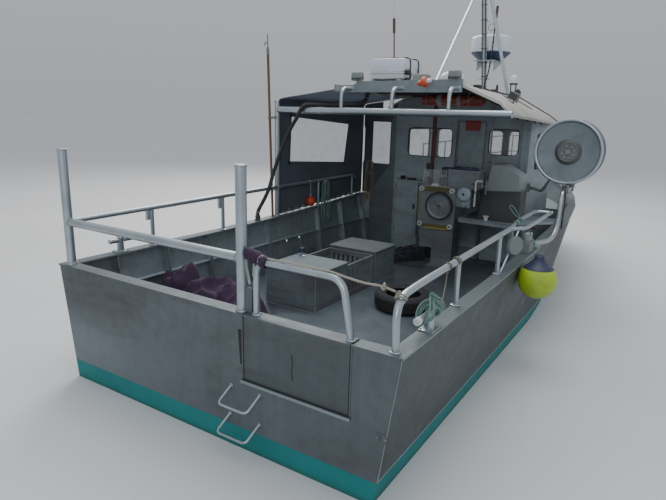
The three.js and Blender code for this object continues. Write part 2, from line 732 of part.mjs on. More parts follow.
function portSlope(over, under) {
  const top = PORT_SLOPE.map(([x, z]) => [x, z + over]);
  const bottom = PORT_SLOPE.map(([x, z]) => [x, z + under]).reverse();
  return alongY(shapeOf([...top, ...bottom]), HOUSE_AFT_Y, ROOF_FRONT_Y);
}

// What stands under the roof is cut off just below it.
function underRoof(piece) {
  return cutOut(piece, [taperedRoof(600, -ROOF_THICK - SEAT), portSlope(600, -ROOF_THICK - SEAT)]);
}

const FLOODLIGHTS_X = [-572, 623];
const RAFT = { x0: -590, x1: -105, y0: 3480, y1: 3980, z0: 2787, z1: 3025 };
const FASCIA = [[-640, 2620], [715, 2620], [715, 2757], [-540, 2745], [-640, 2700]];
const EDGE_BEAM = { width: 30, z: 2622 };

function roof() {
  const fascia = alongY(shapeOf(FASCIA), ROOF_AFT_Y, ROOF_AFT_Y + 14);
  const beam = block(-ROOF_FLAT, EDGE_BEAM.width - ROOF_FLAT, CURTAIN_Y0, HOUSE_AFT_Y - SEAT, EDGE_BEAM.z,
    ROOF_TOP_Z - 2);
  const cradle = [RAFT.x0 + 70, RAFT.x1 - 70].flatMap((x) => [
    block(x - 20, x + 20, RAFT.y0 + 20, RAFT.y1 - 20, RAFT.z0 - 22, RAFT.z0 - SEAT),
    block(x - 20, x + 20, RAFT.y0 + 60, RAFT.y0 + 100, ROOF_TOP_Z - 4, RAFT.z0 - 10),
    block(x - 20, x + 20, RAFT.y1 - 100, RAFT.y1 - 60, ROOF_TOP_Z - 4, RAFT.z0 - 10),
  ]);
  const lamps = FLOODLIGHTS_X.map((x) => floodlight(x, ROOF_AFT_Y + 7, 2755));
  const [x, y, z] = HOSE[0];
  const spigot = rodZ(x, y, z + SEAT, ROOF_TOP_Z - ROOF_THICK + 4, 30, 12);
  const sheet = fuse([taperedRoof(0, -ROOF_THICK), portSlope(0, -ROOF_THICK)]);
  return fuse([sheet, fascia, beam, ...cradle, ...lamps, spigot]);
}

const CURTAIN_Y0 = CANOPY_Y + FRAME_R + SEAT;
const CURTAIN_THICK = 10;
const CURTAIN_OUT = 1606;
const CURTAIN_GAP = 28;

// Corners of the clear window, as y and z
const CURTAIN_WINDOW = [[3288, 2318], [4731, 2222], [4624, 1655], [3261, 1738]];

// The curtain's upper line, from the roof's edge down to the guard rail, as x and z
const CURTAIN_TOP = [
  [-ROOF_FLAT - SEAT, 2650], [-1087, 2606], [-1484, 2554], [-1578, 2534], [-CURTAIN_OUT, 2492],
];

function sideCurtain() {
  const hang = CURTAIN_THICK - CURTAIN_OUT;
  const under = CURTAIN_TOP.slice(0, -1).map(([x, z]) => [x, z - CURTAIN_THICK]).reverse();
  const side = [[-CURTAIN_OUT, 900], [hang, 900], [hang, CURTAIN_TOP.at(-1)[1] - 4]];
  const sheet = [...CURTAIN_TOP, ...side, ...under];
  const cloth = alongY(shapeOf(sheet), CURTAIN_Y0, HOUSE_AFT_Y - SEAT);
  const foot = [CURTAIN_Y0, HOUSE_AFT_Y].map((y) => [y, sheerHeight(y) + COAMING_TOP + CURTAIN_GAP]);
  const below = alongX(shapeOf([...foot, [HOUSE_AFT_Y, 800], [CURTAIN_Y0, 800]]), -1700, -1500);
  const window = alongX(shapeOf(CURTAIN_WINDOW), -1700, -1500);
  return cutOut(cloth, [below, window]);
}

function curtainWindow() {
  const centre = CURTAIN_WINDOW.reduce(([a, b], [y, z]) => [a + y / 4, b + z / 4], [0, 0]);
  const outline = CURTAIN_WINDOW.map(([y, z]) => [y - Math.sign(y - centre[0]), z - Math.sign(z - centre[1])]);
  return alongX(shapeOf(outline), -1603, -1599);
}

// Screen that closes the port passage, with a gusset up to the curtain's upper line

const SCREEN = { y0: 5205, y1: 5225, outX: -1590, waistX: -1572, lowX: -1440 };
const WAIST = { z0: 1660, z1: 2160, turn: 40 };
const SCREEN_STEP_Z = 1150;
const SCREEN_WINDOW = { x0: -1430, x1: -1105, z0: 1620, z1: 2270 };

function passageScreen() {
  const { y0, y1, outX, waistX, lowX } = SCREEN;
  const houseX = -HOUSE_HALF - SEAT;
  const foot = [[lowX, DECK_Z + SEAT], [houseX, DECK_Z + SEAT]];
  const head = [[houseX, ROOF_TOP_Z], ...CURTAIN_TOP.slice(1, 4).map(([x, z]) => [x, z - CURTAIN_THICK - 2])];
  const { z0, z1, turn } = WAIST;
  const waist = [[outX, z1 + turn], [waistX, z1], [waistX, z0], [outX, z0 - turn]];
  const outline = [...foot, ...head, [outX, 2500], ...waist, [outX, SCREEN_STEP_Z], [lowX, SCREEN_STEP_Z]];
  const sheet = alongY(shapeOf(outline), y0, y1);
  const window = block(SCREEN_WINDOW.x0, SCREEN_WINDOW.x1, 5000, 5400, SCREEN_WINDOW.z0, SCREEN_WINDOW.z1);
  return underRoof(sheet.subtract(window));
}

// Wheelhouse

const DOOR = { x0: -45, x1: 400, z1: 2330, thick: 30, freeGap: 9 };
const AFT_WINDOWS = [
  { x0: -800, x1: -105, z0: 1785, z1: 2200 },
  { x0: 440, x1: 850, z0: 1868, z1: 2218 },
];
const FRONT_WINDOWS = [[-930, -305], [-200, 200], [305, 930]];
const SIDE_WINDOW = { y0: 5600, y1: 6480 };

function crossWall(y0, y1) {
  return underRoof(block(-HOUSE_HALF, HOUSE_HALF, y0, y1, DECK_Z + SEAT, ROOF_TOP_Z));
}

function windowHole(x0, x1, z0, z1, y0, y1, radius = 45) {
  return alongY(roundedShape(x1 - x0, z1 - z0, radius), y0, y1).translate([(x0 + x1) / 2, 0, (z0 + z1) / 2]);
}

function houseAft() {
  const wall = crossWall(HOUSE_AFT_Y, HOUSE_AFT_Y + HOUSE_WALL);
  const windows = AFT_WINDOWS.map(({ x0, x1, z0, z1 }) => windowHole(x0, x1, z0, z1, 5000, 5400));
  const doorway = block(DOOR.x0, DOOR.x1, 5000, 5400, SILL_Z, DOOR.z1);
  return cutOut(wall, [...windows, doorway]);
}

function houseFront() {
  const wall = crossWall(HOUSE_FRONT_Y - HOUSE_WALL, HOUSE_FRONT_Y);
  const windows = FRONT_WINDOWS.map(([x0, x1]) => windowHole(x0, x1, WINDOW_LOW, WINDOW_HIGH, 6500, 6900));
  return cutOut(wall, windows);
}

function houseSide(side) {
  const inner = HOUSE_HALF - HOUSE_WALL;
  const [x0, x1] = side > 0 ? [inner, HOUSE_HALF] : [-HOUSE_HALF, -inner];
  const inset = HOUSE_WALL + SEAT;
  const wall = block(x0, x1, HOUSE_AFT_Y + inset, HOUSE_FRONT_Y - inset, DECK_Z + SEAT, ROOF_TOP_Z);
  const { y0, y1 } = SIDE_WINDOW;
  const window = alongX(roundedShape(y1 - y0, WINDOW_HIGH - WINDOW_LOW, 45), -1200, 1200)
    .translate([0, (y0 + y1) / 2, (WINDOW_LOW + WINDOW_HIGH) / 2]);
  return underRoof(wall).subtract(window);
}

// Panes lie on the inner faces of the walls, lapping the openings.
const LAP = 18;

function glassAft({ x0, x1, z0, z1 }) {
  const y = HOUSE_AFT_Y + HOUSE_WALL + SEAT;
  return block(x0 - LAP, x1 + LAP, y, y + GLASS, z0 - LAP, z1 + LAP);
}

function glassFront() {
  const y = HOUSE_FRONT_Y - HOUSE_WALL - SEAT;
  const [x0, x1] = [FRONT_WINDOWS[0][0] - LAP, FRONT_WINDOWS[2][1] + LAP];
  return block(x0, x1, y - GLASS, y, WINDOW_LOW - LAP, WINDOW_HIGH + LAP);
}

function glassSide(side) {
  const [x0, x1] = [HOUSE_HALF - HOUSE_WALL - SEAT - GLASS, HOUSE_HALF - HOUSE_WALL - SEAT];
  const [low, high] = side > 0 ? [x0, x1] : [-x1, -x0];
  return block(low, high, SIDE_WINDOW.y0 - LAP, SIDE_WINDOW.y1 + LAP, WINDOW_LOW - LAP, WINDOW_HIGH + LAP);
}

const DOOR_HINGE = { x: DOOR.x1 - RUNNING, y: HOUSE_AFT_Y + HOUSE_WALL + 6 };

function houseDoor() {
  const y0 = HOUSE_AFT_Y + HOUSE_WALL - DOOR.thick;
  const { x0, x1, z1, thick, freeGap } = DOOR;
  const leaf = block(x0 + freeGap, x1 - RUNNING, y0, y0 + thick, SILL_Z + RUNNING, z1 - RUNNING);
  const handle = pipe([[x0 + 60, y0 + 2, 1380], [x0 + 60, y0 - 45, 1380], [x0 + 150, y0 - 45, 1380]], 9, 18, 8, 2);
  const knuckles = [700, 1400, 2050].map((z) => rodZ(DOOR_HINGE.x, DOOR_HINGE.y, z, z + 90, 8, 10));
  return fuse([leaf, handle, ...knuckles]);
}

const HELM = { x0: 60, x1: 900, y0: 6250, y1: 6670, z1: 1330, wheelX: 680, wheelZ: 1180, wheelR: 170 };

function helmConsole() {
  const { y0, y1, z1 } = HELM;
  const foot = DECK_Z + SEAT;
  const outline = [[y0 + 60, foot], [y1, foot], [y1, z1], [y0 + 160, z1], [y0, 1120], [y0, 1040]];
  const body = alongX(shapeOf(outline), HELM.x0, HELM.x1);
  const hubBore = rodY(HELM.wheelX, HELM.wheelZ, 6000, HELM.y0 + 180, 16.5, 16);
  const boss = rodY(HELM.wheelX, HELM.wheelZ, HELM.y0 - 20, HELM.y0 + 100, 40, 16);
  return fuse([body, boss]).subtract(hubBore);
}

function helmWheel() {
  const y = HELM.y0 - 70;
  const ring = [];
  for (let i = 0; i <= 8; i += 1) {
    const turn = (2 * Math.PI * i) / 8;
    ring.push([HELM.wheelR + 13 * Math.cos(turn), 13 * Math.sin(turn)]);
  }
  const rim = turnedY(ring, HELM.wheelX, y, HELM.wheelZ, 20);
  const hub = rodY(HELM.wheelX, HELM.wheelZ, y - 14, y + 40, 34, 16);
  const spindle = rodY(HELM.wheelX, HELM.wheelZ, y, HELM.y0 + 170, 16, 16);
  const spokes = [0, 1, 2].map((i) => {
    const geometry = new THREE.BoxGeometry(22, 8, HELM.wheelR - 6);
    geometry.translate(0, 0, HELM.wheelR / 2 + 3);
    geometry.rotateY((i * 2 * Math.PI) / 3 + Math.PI);
    geometry.translate(HELM.wheelX, y, HELM.wheelZ);
    return solid(geometry);
  });
  return fuse([rim, hub, spindle, ...spokes]);
}

function helmSeat() {
  const seatX = 700;
  const seatY = 5720;
  return fuse([
    rodZ(seatX, seatY, DECK_Z + SEAT, 960, 45),
    rodZ(seatX, seatY, DECK_Z + SEAT, DECK_Z + 16, 170),
    block(seatX - 230, seatX + 230, seatY - 210, seatY + 230, 940, 1040),
    block(seatX - 220, seatX + 220, seatY - 230, seatY - 150, 960, 1500),
  ]);
}

const LOCKER = { x0: -940, x1: -545, y0: 5080, z0: 540, z1: 1385 };

function aftLocker() {
  const back = HOUSE_AFT_Y - SEAT;
  return fuse([
    block(LOCKER.x0, LOCKER.x1, LOCKER.y0, back, LOCKER.z0, LOCKER.z1),
    block(LOCKER.x0 - 4, LOCKER.x1 + 75, LOCKER.y0 - 15, back, LOCKER.z1 - 2, LOCKER.z1 + 32),
    block(LOCKER.x0 + 20, LOCKER.x1 + 20, LOCKER.y0 + 10, back, DECK_Z + SEAT, LOCKER.z0 + 2),
    block(LOCKER.x0 + 30, LOCKER.x1 - 30, LOCKER.y0 - 6, LOCKER.y0 + 4, LOCKER.z0 + 40, LOCKER.z1 - 40),
  ]);
}

// Line hauler amidships, with its table

const HAULER = { x0: -225, x1: 304, y0: 4400, y1: 4640, z0: 870, z1: 1450 };
const MAIN_DISC = { x: 93, z: 1194, r: 190 };
const SMALL_DISC = { x: 420, z: 1380, r: 86 };
const CORNER_ROLLERS = [[-180, 1405], [255, 1405], [-180, 918], [255, 918]];

function haulerStand() {
  const body = block(HAULER.x0, HAULER.x1, HAULER.y0, HAULER.y1, HAULER.z0, HAULER.z1);
  const pedestal = block(-5, 290, 4430, 4700, DECK_Z + SEAT, HAULER.z0 + 5);
  const foot = block(-60, 345, 4380, 4750, DECK_Z + SEAT, DECK_Z + 14);
  const arm = block(HAULER.x1 - 5, 500, HAULER.y0 + 14, HAULER.y0 + 60, 1200, HAULER.z1);
  const rollers = CORNER_ROLLERS.map(([x, z]) => rodY(x, z, HAULER.y0 - 34, HAULER.y0 + 4, 36, 16));
  const lowRoller = rodY(425, 1245, HAULER.y0 - 40, HAULER.y0 + 20, 30, 16);
  const console = block(150, 575, 4460, 4700, HAULER.z1 - 4, 1680);
  const bores = [
    rodY(MAIN_DISC.x, MAIN_DISC.z, 4300, 4500, 20.6, 16),
    rodY(SMALL_DISC.x, SMALL_DISC.z, 4300, 4450, 16.6, 16),
  ];
  return cutOut(fuse([body, pedestal, foot, arm, ...rollers, lowRoller, console]), bores);
}

function haulerDisc() {
  const { r } = MAIN_DISC;
  const profile = [
    [0, -30], [60, -30], [70, -18], [150, -12], [168, -34], [r, -38], [r, 0], [172, 12], [150, 20], [0, 20],
  ];
  const disc = turnedY(profile, MAIN_DISC.x, HAULER.y0 - 26, MAIN_DISC.z, 28);
  return disc.add(rodY(MAIN_DISC.x, MAIN_DISC.z, HAULER.y0 - 20, 4490, 20, 16));
}

function haulerSheave() {
  const { r } = SMALL_DISC;
  const profile = [
    [0, -16], [26, -16], [30, -8], [r - 6, -8], [r, 0], [r - 26, 14], [r, 28], [r - 8, 34], [0, 34],
  ];
  const disc = turnedY(profile, SMALL_DISC.x, HAULER.y0 - 28, SMALL_DISC.z, 20);
  return disc.add(rodY(SMALL_DISC.x, SMALL_DISC.z, HAULER.y0 - 20, 4440, 16, 16));
}

function stanchionRed() {
  return rodZ(-110, 4520, HAULER.z1 + SEAT, ROOF_TOP_Z - ROOF_THICK - SEAT, 25, 14);
}

const TABLE_Z = 1060;
const SORTER = { x0: 520, x1: 1060, y0: 4740, y1: 5060 };
const HOOD_FOOT = [[600, 1402], [1046, 1438]];

function sortingTable() {
  const outline = [[360, 4400], [1090, 4360], [1490, 4720], [1490, 5190], [360, 5190]];
  const inside = [[372, 4412], [1086, 4373], [1478, 4725], [1478, 5178], [372, 5178]];
  const hollow = alongZ(shapeOf(inside), TABLE_Z - 50, TABLE_Z + 5);
  const tray = alongZ(shapeOf(outline), TABLE_Z - 60, TABLE_Z).subtract(hollow);
  const leg = (x, y) => block(x - 20, x + 20, y - 20, y + 20, DECK_Z + SEAT, TABLE_Z - 55);
  const [left, right] = HOOD_FOOT.map(([, z]) => z - SEAT);
  const sorter = alongY(shapeOf([[SORTER.x0, TABLE_Z - 55], [SORTER.x1, TABLE_Z - 55], [SORTER.x1, right],
    [HOOD_FOOT[1][0], right], [HOOD_FOOT[0][0], left], [SORTER.x0, left]]), SORTER.y0, SORTER.y1);
  return fuse([tray, leg(420, 5140), leg(1060, 4440), sorter]);
}


function sorterHood() {
  const outline = [...HOOD_FOOT, [1037, 1635], [816, 1768], [653, 1767], [622, 1600]];
  return alongY(shapeOf(outline), SORTER.y0 - 30, SORTER.y1 + 20);
}

// Deck boxes and the slatted bin

const BOX_X0 = -850;
const BOX_X1 = -200;
const SHEET = 8;
const LID_THICK = 22;
const AFT_BOX = { y0: 1850, y1: 2482, top: 735 };
const FORE_BOX = { y0: 3140, y1: 3670, top: 722 };
const BIN = { y0: 2500, y1: 3120, top: 712, slat: 38, gap: 30 };

function stowageBox({ y0, y1, top }) {
  const shell = block(BOX_X0, BOX_X1, y0, y1, DECK_Z + SEAT, top);
  const [x0, x1, z0] = [BOX_X0 + SHEET, BOX_X1 - SHEET, DECK_Z + SEAT + SHEET];
  const inside = block(x0, x1, y0 + SHEET, y1 - SHEET, z0, top + 10);
  return shell.subtract(inside);
}

function boxLid({ y0, y1, top }, knob) {
  const low = top + SEAT;
  const panel = block(BOX_X0 - 12, BOX_X1 + 14, y0 - 14, y1 + 12, low, low + LID_THICK);
  const barrel = rodY(BOX_X0 - 20, low + 10, y0 + 60, y1 - 60, 9, 10);
  const leaf = block(BOX_X0 - 24, BOX_X0, y0 + 60, y1 - 60, low + 4, low + 16);
  const pieces = [panel, barrel, leaf];
  if (knob) {
    const [x, y] = [-775, 2405];
    pieces.push(rodZ(x, y, low + LID_THICK - 2, low + LID_THICK + 50, 16, 12));
    pieces.push(rodZ(x, y, low + LID_THICK + 45, low + LID_THICK + 95, 34, 14));
  }
  return fuse(pieces);
}

function slattedBin() {
  const shell = block(BOX_X0 + 6, BOX_X1 - 6, BIN.y0, BIN.y1, DECK_Z + SEAT, BIN.top);
  const inside = block(BOX_X0 + 26, BOX_X1 - 26, BIN.y0 + 20, BIN.y1 - 20, DECK_Z + 20, BIN.top + 10);
  const pitch = BIN.slat + BIN.gap;
  const slots = [];
  for (let y = BIN.y0 + BIN.slat; y < BIN.y1 - pitch; y += pitch) {
    slots.push(block(BOX_X0 - 50, BOX_X1 + 50, y, y + BIN.gap, DECK_Z + 60, BIN.top - 60));
  }
  for (let x = BOX_X0 + BIN.slat + 30; x < BOX_X1 - pitch; x += pitch) {
    slots.push(block(x, x + BIN.gap, BIN.y0 - 50, BIN.y1 + 50, DECK_Z + 60, BIN.top - 60));
  }
  return cutOut(shell, [inside, ...slots]);
}

// Net hauler on the starboard side

const NET_HAULER = { x: 1684, y: 4100, z: 2015, r: 365 };

function netHaulerBracket() {
  const foot = sheerHeight(3300);
  const strap = onGunwale(pipe([[1600, 3280, foot + 42], [1720, 3540, foot + 52], [1738, 3720, foot + 190],
    [1740, 3740, 1610], [1735, 4440, 1600], [NET_HAULER.x, 4440, 1920]], 27, 120, 10, 4));
  const pad = onGunwale(block(1560, 1650, 3200, 3360, foot - 20, foot + 30));
  const gearbox = block(NET_HAULER.x - 110, NET_HAULER.x + 110, NET_HAULER.y + 230, NET_HAULER.y + 420,
    NET_HAULER.z - 120, NET_HAULER.z + 120);
  const prop = pipe([[NET_HAULER.x - 60, 4480, NET_HAULER.z - 60], [1330, 4700, 1480],
    [HOUSE_HALF + 40, HOUSE_AFT_Y + 120, 1440]], 22, 90);
  const wallPad = block(HOUSE_HALF + SEAT, HOUSE_HALF + 50, HOUSE_AFT_Y + 60, HOUSE_AFT_Y + 180, 1380, 1500);
  const bore = rodY(NET_HAULER.x, NET_HAULER.z, NET_HAULER.y + 200, NET_HAULER.y + 360, 30.6, 20);
  return fuse([strap, pad, gearbox, prop, wallPad]).subtract(bore);
}

function netHaulerDrum() {
  const { x, y, z, r } = NET_HAULER;
  const aftCheek = [[0, -10], [110, -10], [150, 30], [r - 40, 6], [r - 24, -14], [r, -10], [r, 14], [r - 30, 30]];
  const groove = [[200, 70], [190, 110], [200, 150]];
  const foreCheek = [[r - 30, 190], [r, 206], [r, 216], [r - 40, 216], [0, 200]];
  const profile = [...aftCheek, ...groove, ...foreCheek];
  return turnedY(profile, x, y, z, 32).add(rodY(x, z, y + 150, y + 350, 30, 20));
}

// Roof gear

const MAST_FOOT = [0, 6150, ROOF_TOP_Z + SEAT];
const MAST_LEG = [394, 6080];
const STAY_FOOT = [362, 3290];
const MAST_TOP = [0, 5640, 4560];
const RADOME = { x: -12, y: 6335, z: 3216.3, r: 306 };

function mast() {
  const tube = pipe([MAST_FOOT, MAST_TOP], FRAME_R, 10, 14, 1);
  const leg = pipe([[...MAST_LEG, ROOF_TOP_Z + SEAT], [20, 5660, 4470]], 24, 10, 10, 1);
  const stay = pipe([[...STAY_FOOT, ROOF_TOP_Z + SEAT], [0, 5690, 4330]], 17, 10, 8, 1);
  const pads = [STAY_FOOT, MAST_LEG, MAST_FOOT].map(([x, y]) => block(x - 36, x + 36, y - 50, y + 50,
    ROOF_TOP_Z + SEAT, ROOF_TOP_Z + 12));
  const shelf = block(-140, 170, 5950, RADOME.y + 120, RADOME.z - 13, RADOME.z - SEAT);
  const below = block(-FAR, FAR, -FAR, FAR, -FAR, ROOF_TOP_Z + SEAT);
  const lamp = rodZ(0, MAST_TOP[1], MAST_TOP[2] - 30, MAST_TOP[2] + 110, 36, 14);
  const spreader = rodX(5740, 4180, -330, 330, 14, 10);
  return fuse([tube, leg, stay, ...pads, shelf, lamp, spreader]).subtract(below);
}

function radome() {
  const { x, y, z, r } = RADOME;
  const cone = [[0, 0], [150, 0], [r - 6, 141]];
  const profile = [...cone, [r, 160], [r, 324], [r - 18, 362], [r - 76, 386], [0, 394]];
  return turnedZ(profile, x, y, z, 26);
}

function floodlight(x, y, foot) {
  return fuse([
    block(x - 56, x + 56, y - 30, y + 40, foot + 8, foot + 80),
    block(x - 63, x + 63, y - 44, y - 28, foot + 2, foot + 86),
    block(x - 15, x + 15, y - 7, y + 7, foot - 30, foot + 10),
  ]);
}

function liferaft() {
  const { x0, x1, y0, y1, z0, z1 } = RAFT;
  const [width, height] = [x1 - x0, z1 - z0];
  const barrel = alongY(roundedShape(width, height, 70), y0, y1, 5)
    .translate([(x0 + x1) / 2, 0, (z0 + z1) / 2]);
  const side = alongX(roundedShape(y1 - y0, height, 70), x0 - 10, x1 + 10, 5)
    .translate([0, (y0 + y1) / 2, (z0 + z1) / 2]);
  return barrel.intersect(side);
}

// The float is slung under the roof, with its starboard end close up under the slope.
const FLOAT = { x0: 35, x1: 790, y: 3750, r: 64, bands: [[230, 290], [480, 520]] };

function orangeFloat() {
  const { x0, x1, y, r, bands } = FLOAT;
  const sides = 16;
  const z = roofHeight(x1, y) - ROOF_THICK - r * Math.cos(Math.PI / sides) - 2 * SEAT;
  return fuse([rodX(y, z, x0, x1, r, sides), ...bands.map(([a, b]) => rodX(y, z, a, b, r + 4, sides))]);
}

// Loose gear

const TYRE = { x: 450, y: 2600, r: 310, inner: 185, width: 180 };

function tyre() {
  const base = DECK_Z + SEAT;
  const { inner, r, width } = TYRE;
  const half = [[r, 38], [r - 40, 0], [inner + 50, 0], [inner + 10, 14], [inner, 24], [inner + 42, 44], [r - 34, 60]];
  const other = half.map(([u, d]) => [u, width - d]).reverse();
  const profile = [...half, ...other, half[0]];
  return turnedZ(profile, TYRE.x, TYRE.y, base, 26);
}

function heap(outline, foot, height) {
  const levels = [[1, 0], [0.98, 0.35], [0.8, 0.72], [0.45, 1]];
  const centre = outline.reduce(([a, b], [x, y]) => [a + x / outline.length, b + y / outline.length], [0, 0]);
  return loft(levels.map(([shrink, up]) => outline.map(([x, y]) => new THREE.Vector3(
    centre[0] + (x - centre[0]) * shrink, centre[1] + (y - centre[1]) * shrink, foot + up * height))));
}

function purpleHeap() {
  return heap([[-1380, 420], [-900, 330], [-300, 420], [-150, 760], [-260, 1180], [-800, 1290], [-1350, 1180],
    [-1440, 800]], DECK_Z + SEAT, 520);
}

const BUOY = { y: 2620, z: 890, r: 178 };
const BUOY_X = sideHalf(BUOY.y, BUOY.z) + BUOY.r - 2 * SEAT;
const BUOY_ROPE = [
  [1675, 2640, 1364.3], [1690, 2637, 1330], [1722, 2632, 1275], [1760, 2627, 1215], [1792, 2622, 1165],
  [BUOY_X - 1, 2620, 1137.4],
];

function buoy() {
  const { y, z, r } = BUOY;
  const ball = [-90, -60, -30, 0, 30, 57].map((turn) => THREE.MathUtils.degToRad(turn));
  const neck = [[60, r + 10], [44, r + 60], [0, r + 66]];
  const profile = [...ball.map((turn) => [r * Math.cos(turn), r * Math.sin(turn)]), ...neck];
  return turnedZ(profile, BUOY_X, y, z, 24);
}

function buoyRope() {
  return cord(BUOY_ROPE, 6, 8, 10);
}

// Ropes made up in hanks: one hangs inside the port rail, one on the screen.
const HANK = { width: 150, depth: 60 };
const GREEN_HANK = { x: -1545.7, y: 4010, top: 1440, length: 690 };
const STRAW_HANK = { x: -1440, y: SCREEN.y0 - SEAT - HANK.depth, top: 1665, length: 700 };

function hankShape(length) {
  return roundedShape(HANK.width, length, HANK.width / 2 - 1);
}

function greenHank() {
  const { x, y, top, length } = GREEN_HANK;
  return alongX(hankShape(length), x, x + HANK.depth, 5).translate([0, y, top - length / 2]);
}

function strawHank() {
  const { x, y, top, length } = STRAW_HANK;
  return alongY(hankShape(length), y, y + HANK.depth, 5).translate([x, 0, top - length / 2]);
}

function hose() {
  return cord(HOSE, 23, 10, 36);
}

// Assembly

const RIGID = [
  ['hull', hull, 'teal'],
  ['engine_block', engine, 'steel'],
  ['propeller', propeller, 'bronze'],
  ['rudder', rudder, 'steel'],
  ['main_deck', mainDeck, 'deck'],
  ['fore_body', foreBody, 'bare'],
  ['foredeck_hatch', foredeckHatch, 'bare'],
  ['topside_port', () => topside(-1), 'bare'],
  ['topside_starboard', () => topside(1), 'bare'],
  ['transom', transom, 'bare'],
  ['stern_gate', sternGate, 'bare'],
  ['stern_gallows', sternGallows, 'bright'],
  ['guard_rail_port', railPort, 'bright'],
  ['guard_rail_starboard', railStarboard, 'bright'],
  ['bow_pulpit', pulpit, 'bright'],
  ['canopy_frame', canopyFrame, 'bright'],
  ['roof', roof, 'cream'],
  ['side_curtain', sideCurtain, 'canvas'],
  ['curtain_window', curtainWindow, 'glass'],
  ['passage_screen', passageScreen, 'bare'],
  ['house_aft_wall', houseAft, 'bare'],
  ['house_front_wall', houseFront, 'bare'],
  ['house_port_wall', () => houseSide(-1), 'bare'],
  ['house_starboard_wall', () => houseSide(1), 'bare'],
  ['glass_aft_port', () => glassAft(AFT_WINDOWS[0]), 'glass'],
  ['glass_aft_starboard', () => glassAft(AFT_WINDOWS[1]), 'glass'],
  ['glass_front', glassFront, 'glass'],
  ['glass_port', () => glassSide(-1), 'glass'],
  ['glass_starboard', () => glassSide(1), 'glass'],
  ['house_door', houseDoor, 'bare'],
  ['helm_console', helmConsole, 'bare'],
  ['helm_wheel', helmWheel, 'steel'],
  ['helm_seat', helmSeat, 'black'],
  ['aft_locker', aftLocker, 'bare'],
  ['hauler_stand', haulerStand, 'bare'],
  ['hauler_disc', haulerDisc, 'bright'],
  ['hauler_sheave', haulerSheave, 'bright'],
  ['red_stanchion', stanchionRed, 'red'],
  ['sorting_table', sortingTable, 'bare'],
  ['sorter_hood', sorterHood, 'hood'],
  ['box_aft', () => stowageBox(AFT_BOX), 'bare'],
  ['box_aft_lid', () => boxLid(AFT_BOX, true), 'bare'],
  ['slatted_bin', slattedBin, 'bare'],
  ['box_fore', () => stowageBox(FORE_BOX), 'bare'],
  ['box_fore_lid', () => boxLid(FORE_BOX, false), 'bare'],
  ['net_hauler_bracket', netHaulerBracket, 'steel'],
  ['net_hauler_drum', netHaulerDrum, 'steel'],
  ['mast', mast, 'bright'],
  ['radome', radome, 'white'],
  ['liferaft', liferaft, 'white'],
  ['orange_float', orangeFloat, 'orange'],
  ['tyre_fender', tyre, 'rubber'],
  ['purple_heap', purpleHeap, 'purple'],
  ['buoy_starboard', buoy, 'lime'],
  ['buoy_rope', buoyRope, 'green'],
  ['rope_hank_green', greenHank, 'green'],
  ['rope_hank_straw', strawHank, 'straw'],
  ['hose', hose, 'rubber'],
];

for (const [name, make, finish] of RIGID) {
  put(name, make(), finish);
}

export default boat;
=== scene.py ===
import random
from math import cos, exp, pi, radians, sin, tanh

import bmesh
import bpy
from mathutils import Matrix, Vector, noise


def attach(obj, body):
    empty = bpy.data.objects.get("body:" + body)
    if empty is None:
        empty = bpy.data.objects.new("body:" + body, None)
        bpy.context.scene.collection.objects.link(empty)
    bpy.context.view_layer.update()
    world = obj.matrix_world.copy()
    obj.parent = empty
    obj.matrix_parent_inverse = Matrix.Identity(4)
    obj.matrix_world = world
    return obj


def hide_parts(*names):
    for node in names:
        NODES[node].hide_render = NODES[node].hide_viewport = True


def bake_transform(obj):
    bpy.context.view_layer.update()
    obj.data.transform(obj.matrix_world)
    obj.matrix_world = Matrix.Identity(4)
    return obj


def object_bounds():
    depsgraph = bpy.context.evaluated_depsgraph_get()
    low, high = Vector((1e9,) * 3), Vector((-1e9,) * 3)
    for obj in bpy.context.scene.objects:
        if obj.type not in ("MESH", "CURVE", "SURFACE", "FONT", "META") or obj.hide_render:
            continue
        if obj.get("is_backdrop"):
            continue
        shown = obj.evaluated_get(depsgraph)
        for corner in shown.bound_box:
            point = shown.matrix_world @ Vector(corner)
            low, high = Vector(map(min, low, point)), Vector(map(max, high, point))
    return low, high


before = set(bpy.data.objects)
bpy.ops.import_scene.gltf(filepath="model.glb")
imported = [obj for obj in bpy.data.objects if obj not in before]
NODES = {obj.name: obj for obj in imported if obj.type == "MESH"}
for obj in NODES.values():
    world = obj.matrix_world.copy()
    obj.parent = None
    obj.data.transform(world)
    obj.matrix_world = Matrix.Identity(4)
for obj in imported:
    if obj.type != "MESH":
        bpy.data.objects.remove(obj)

CAD_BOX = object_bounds()

bl_info = {
    "name": "Inshore fishing boat",
    "version": (1, 0, 0),
    "blender": (4, 5, 0),
    "location": "3D View > Sidebar > Fishing boat",
    "description": "Dresses the frame of an aluminium inshore fishing boat",
    "category": "Add Mesh",
}



def vec(x, y, z):
    return Vector((x, y, z))


UP = vec(0, 0, 1)
AHEAD = (0, 1, 0)
ASTERN = (0, -1, 0)
ACROSS = (1, 0, 0)


# Sizes that several pieces share, in metres

